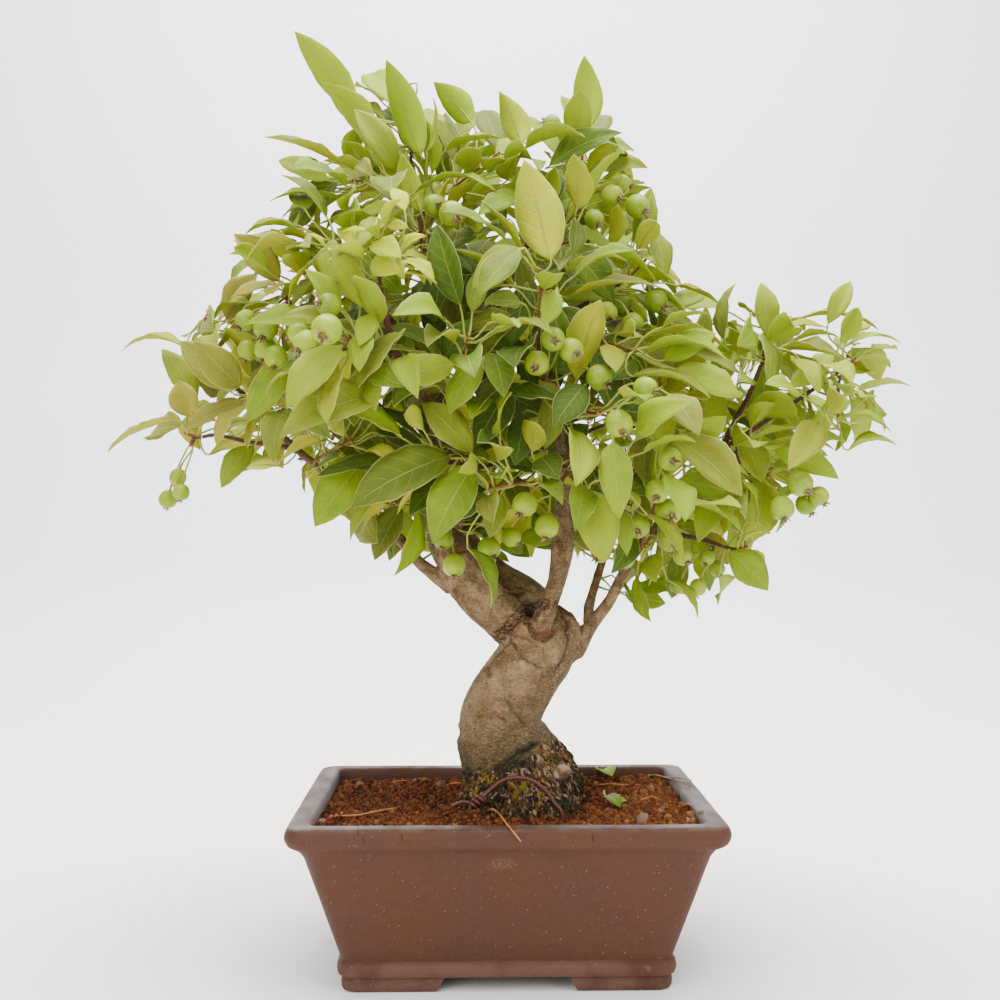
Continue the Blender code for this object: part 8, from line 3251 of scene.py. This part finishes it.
@dataclass
class TieWire:
    """The tie wire over the roots, with its end wound round itself."""

    sides: int = 14
    turns: int = 3
    steps: int = 14

    def build(self, finish: bpy.types.Material) -> None:
        """Sweep the wire.

        Args:
            finish: its finish.
        """
        arc = [seen(sight) for sight in WIRE_ARC]
        legs = [Vector((end.x, end.y, WIRE_DEEP)) for end in (arc[0], arc[-1])]
        line = smooth([legs[0], *arc, legs[1]], 7)
        start, end = seen(KNOT_START), seen(KNOT_END)
        axis = (end - start).normalized()
        side = square_to(axis, UP)
        other = axis.cross(side)
        wound = []
        for step in range(self.turns * self.steps + 1):
            share, turn = step / (self.turns * self.steps), math.tau * step / self.steps
            wound.append(start + (end - start) * share + KNOT_REACH * 1.05 * (side * math.cos(turn) + other * math.sin(turn)))
        tail = seen(WIRE_TAIL)
        wound += [wound[-1].lerp(tail, share) + UP * 0.0012 * math.sin(math.pi * share) for share in (0.25, 0.5, 0.75, 1.0)]
        tree = Growth("wire")
        tree.end([tree.sweep(tree.input("Sides", "Int"))], {"Finish": True})
        chains = [Chain(line, [WIRE_RADIUS] * len(line), [0.0] * len(line)),
                  Chain(wound, [WIRE_RADIUS * 0.95] * len(wound), [0.0] * len(wound))]
        keep(tree.grow("wound_wire", line_mesh("wire", chains), Sides=self.sides, Finish=finish), "wire", "tie_wire")


# Where it stands

@dataclass
class Studio:
    """A pale seamless sheet, soft lights and the camera."""

    sheet_near: float = -1.3
    sheet_far: float = 1.5
    sheet_width: float = 5.0
    sheet_high: float = 2.6
    bend_radius: float = 0.7
    lens: float = 46.44
    sensor: float = 36.0
    upper: Colour = (0.86, 0.81, 0.825)
    middle: Colour = (0.76, 0.85, 0.86)
    lower: Colour = (0.97, 0.935, 0.88)

    def paper(self) -> bpy.types.Material:
        """The sheet's finish: cream underfoot, through pale blue to lilac grey."""
        paint = Surface("studio_paper")
        height = paint.place.split()[2]
        colour = paint.mix(height.rise(-0.05, 0.22), self.lower, self.middle)
        colour = paint.mix(height.rise(0.25, 0.75), colour, self.upper)
        return paint.finish(colour, 0.95)

    def build(self) -> None:
        """Make the sheet, the lights and the camera."""
        steps = 14
        profile = [(self.sheet_near, 0.0), (self.sheet_far - self.bend_radius, 0.0)]
        for k in range(1, steps + 1):
            turn = math.pi / 2 * k / steps
            profile.append((self.sheet_far - self.bend_radius * (1 - math.sin(turn)), self.bend_radius * (1 - math.cos(turn))))
        profile.append((self.sheet_far, self.sheet_high))
        verts = [Vector((side * self.sheet_width / 2, y, z - 0.0002)) for y, z in profile for side in (-1, 1)]
        faces = [(2 * k, 2 * k + 1, 2 * k + 3, 2 * k + 2) for k in range(len(profile) - 1)]
        sheet = shown("studio_sheet", solid_mesh("studio_sheet", (verts, faces)))
        sheet.data.materials.append(self.paper())
        for name, place, aim, size, power in (
                ("top_light", (0.1, -0.35, 1.7), (0, 0, 0.2), 1.3, 40), ("front_light", (-0.75, -1.5, 1.0), (0, 0, 0.25), 1.2, 22),
                ("right_light", (1.2, -1.0, 0.9), (0, 0, 0.25), 1.0, 13), ("back_light", (0.0, 0.35, 1.7), (0, 1.4, 0.5), 1.4, 80)):
            lamp = bpy.data.lights.new(name, "AREA")
            lamp.size, lamp.energy = size, power
            made = bpy.data.objects.new(name, lamp)
            made.location = place
            made.rotation_euler = (Vector(aim) - Vector(place)).to_track_quat("-Z", "Y").to_euler()
            bpy.context.scene.collection.objects.link(made)
        world = bpy.data.worlds.new("studio")
        world.use_nodes = True
        world.node_tree.nodes["Background"].inputs[0].default_value = (0.96, 0.97, 1.0, 1)
        world.node_tree.nodes["Background"].inputs[1].default_value = 0.53
        bpy.context.scene.world = world
        camera = bpy.data.cameras.new("camera")
        camera.lens, camera.sensor_width, camera.clip_start = self.lens, self.sensor, 0.01
        made = bpy.data.objects.new("camera", camera)
        turn = (view_axes() @ Matrix.Rotation(math.pi / 2, 3, "X")).to_4x4()
        made.matrix_world = Matrix.Translation(VIEW_FROM) @ turn
        bpy.context.scene.collection.objects.link(made)
        bpy.context.scene.camera = made


def main() -> None:
    """Build each sub-assembly in order."""
    logging.basicConfig(level=logging.INFO, format="%(name)s %(message)s")
    Studio().build()
    crown = Crown()
    crown.lay_out()
    crown.fill_out()
    bark = Shoot().material()
    leaf = Blade("leaf_blade", (0.058, 0.110, 0.012), (0.320, 0.470, 0.008), (0.440, 0.455, 0.022), (0.520, 0.520, 0.120)).material()
    young = Blade("young_leaf_blade", (0.42, 0.50, 0.006), (0.66, 0.74, 0.008), (0.58, 0.66, 0.012), (0.66, 0.68, 0.06)).material()
    soil = Soil()
    litter = Litter(soil)
    crown.build_shoots(young, leaf, bark, litter.leaves())
    crown.build_bunches(Skin().material(), Plain("dry_sepals", (0.070, 0.028, 0.013), (0.34, 0.21, 0.11)).material(), bark)
    wood = Wood()
    trunk = wood.build(Bark().material(), bark)
    flakes = Shard("bark_flake", (0.018, 0.010, 0.006), (0.085, 0.044, 0.019), (0.285, 0.182, 0.112), 1.0)
    tufts = Shard("moss", (0.010, 0.012, 0.004), (0.022, 0.030, 0.007), (0.060, 0.085, 0.014), 0.0)
    wood.scatter(trunk, flakes.material(), tufts.material())
    Pot().build(Clay().material())
    crumb = Crumb().material()
    soil.build(crumb)
    litter.build_stalks(Plain("fallen_stalk", (0.38, 0.095, 0.020), (0.50, 0.20, 0.060)).material(), Plain("straw", (0.22, 0.13, 0.055), (0.36, 0.26, 0.13)).material())
    litter.build_stones(Crumb("pale_stone", (0.20, 0.12, 0.075), (0.38, 0.27, 0.19), (0.55, 0.44, 0.35)).material(),
                        Plain("fallen_bud", (0.16, 0.04, 0.02), (0.24, 0.16, 0.03)).material())
    black = Plain("black_mesh", (0.02, 0.02, 0.02), (0.05, 0.05, 0.05), 0.5).material()
    for name in ("drainage_mesh_left", "drainage_mesh_right"):
        frame["nodes"][name].data.materials[0] = black
    TieWire().build(Wire().material())
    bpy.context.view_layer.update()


if __name__ == "__main__":
    main()
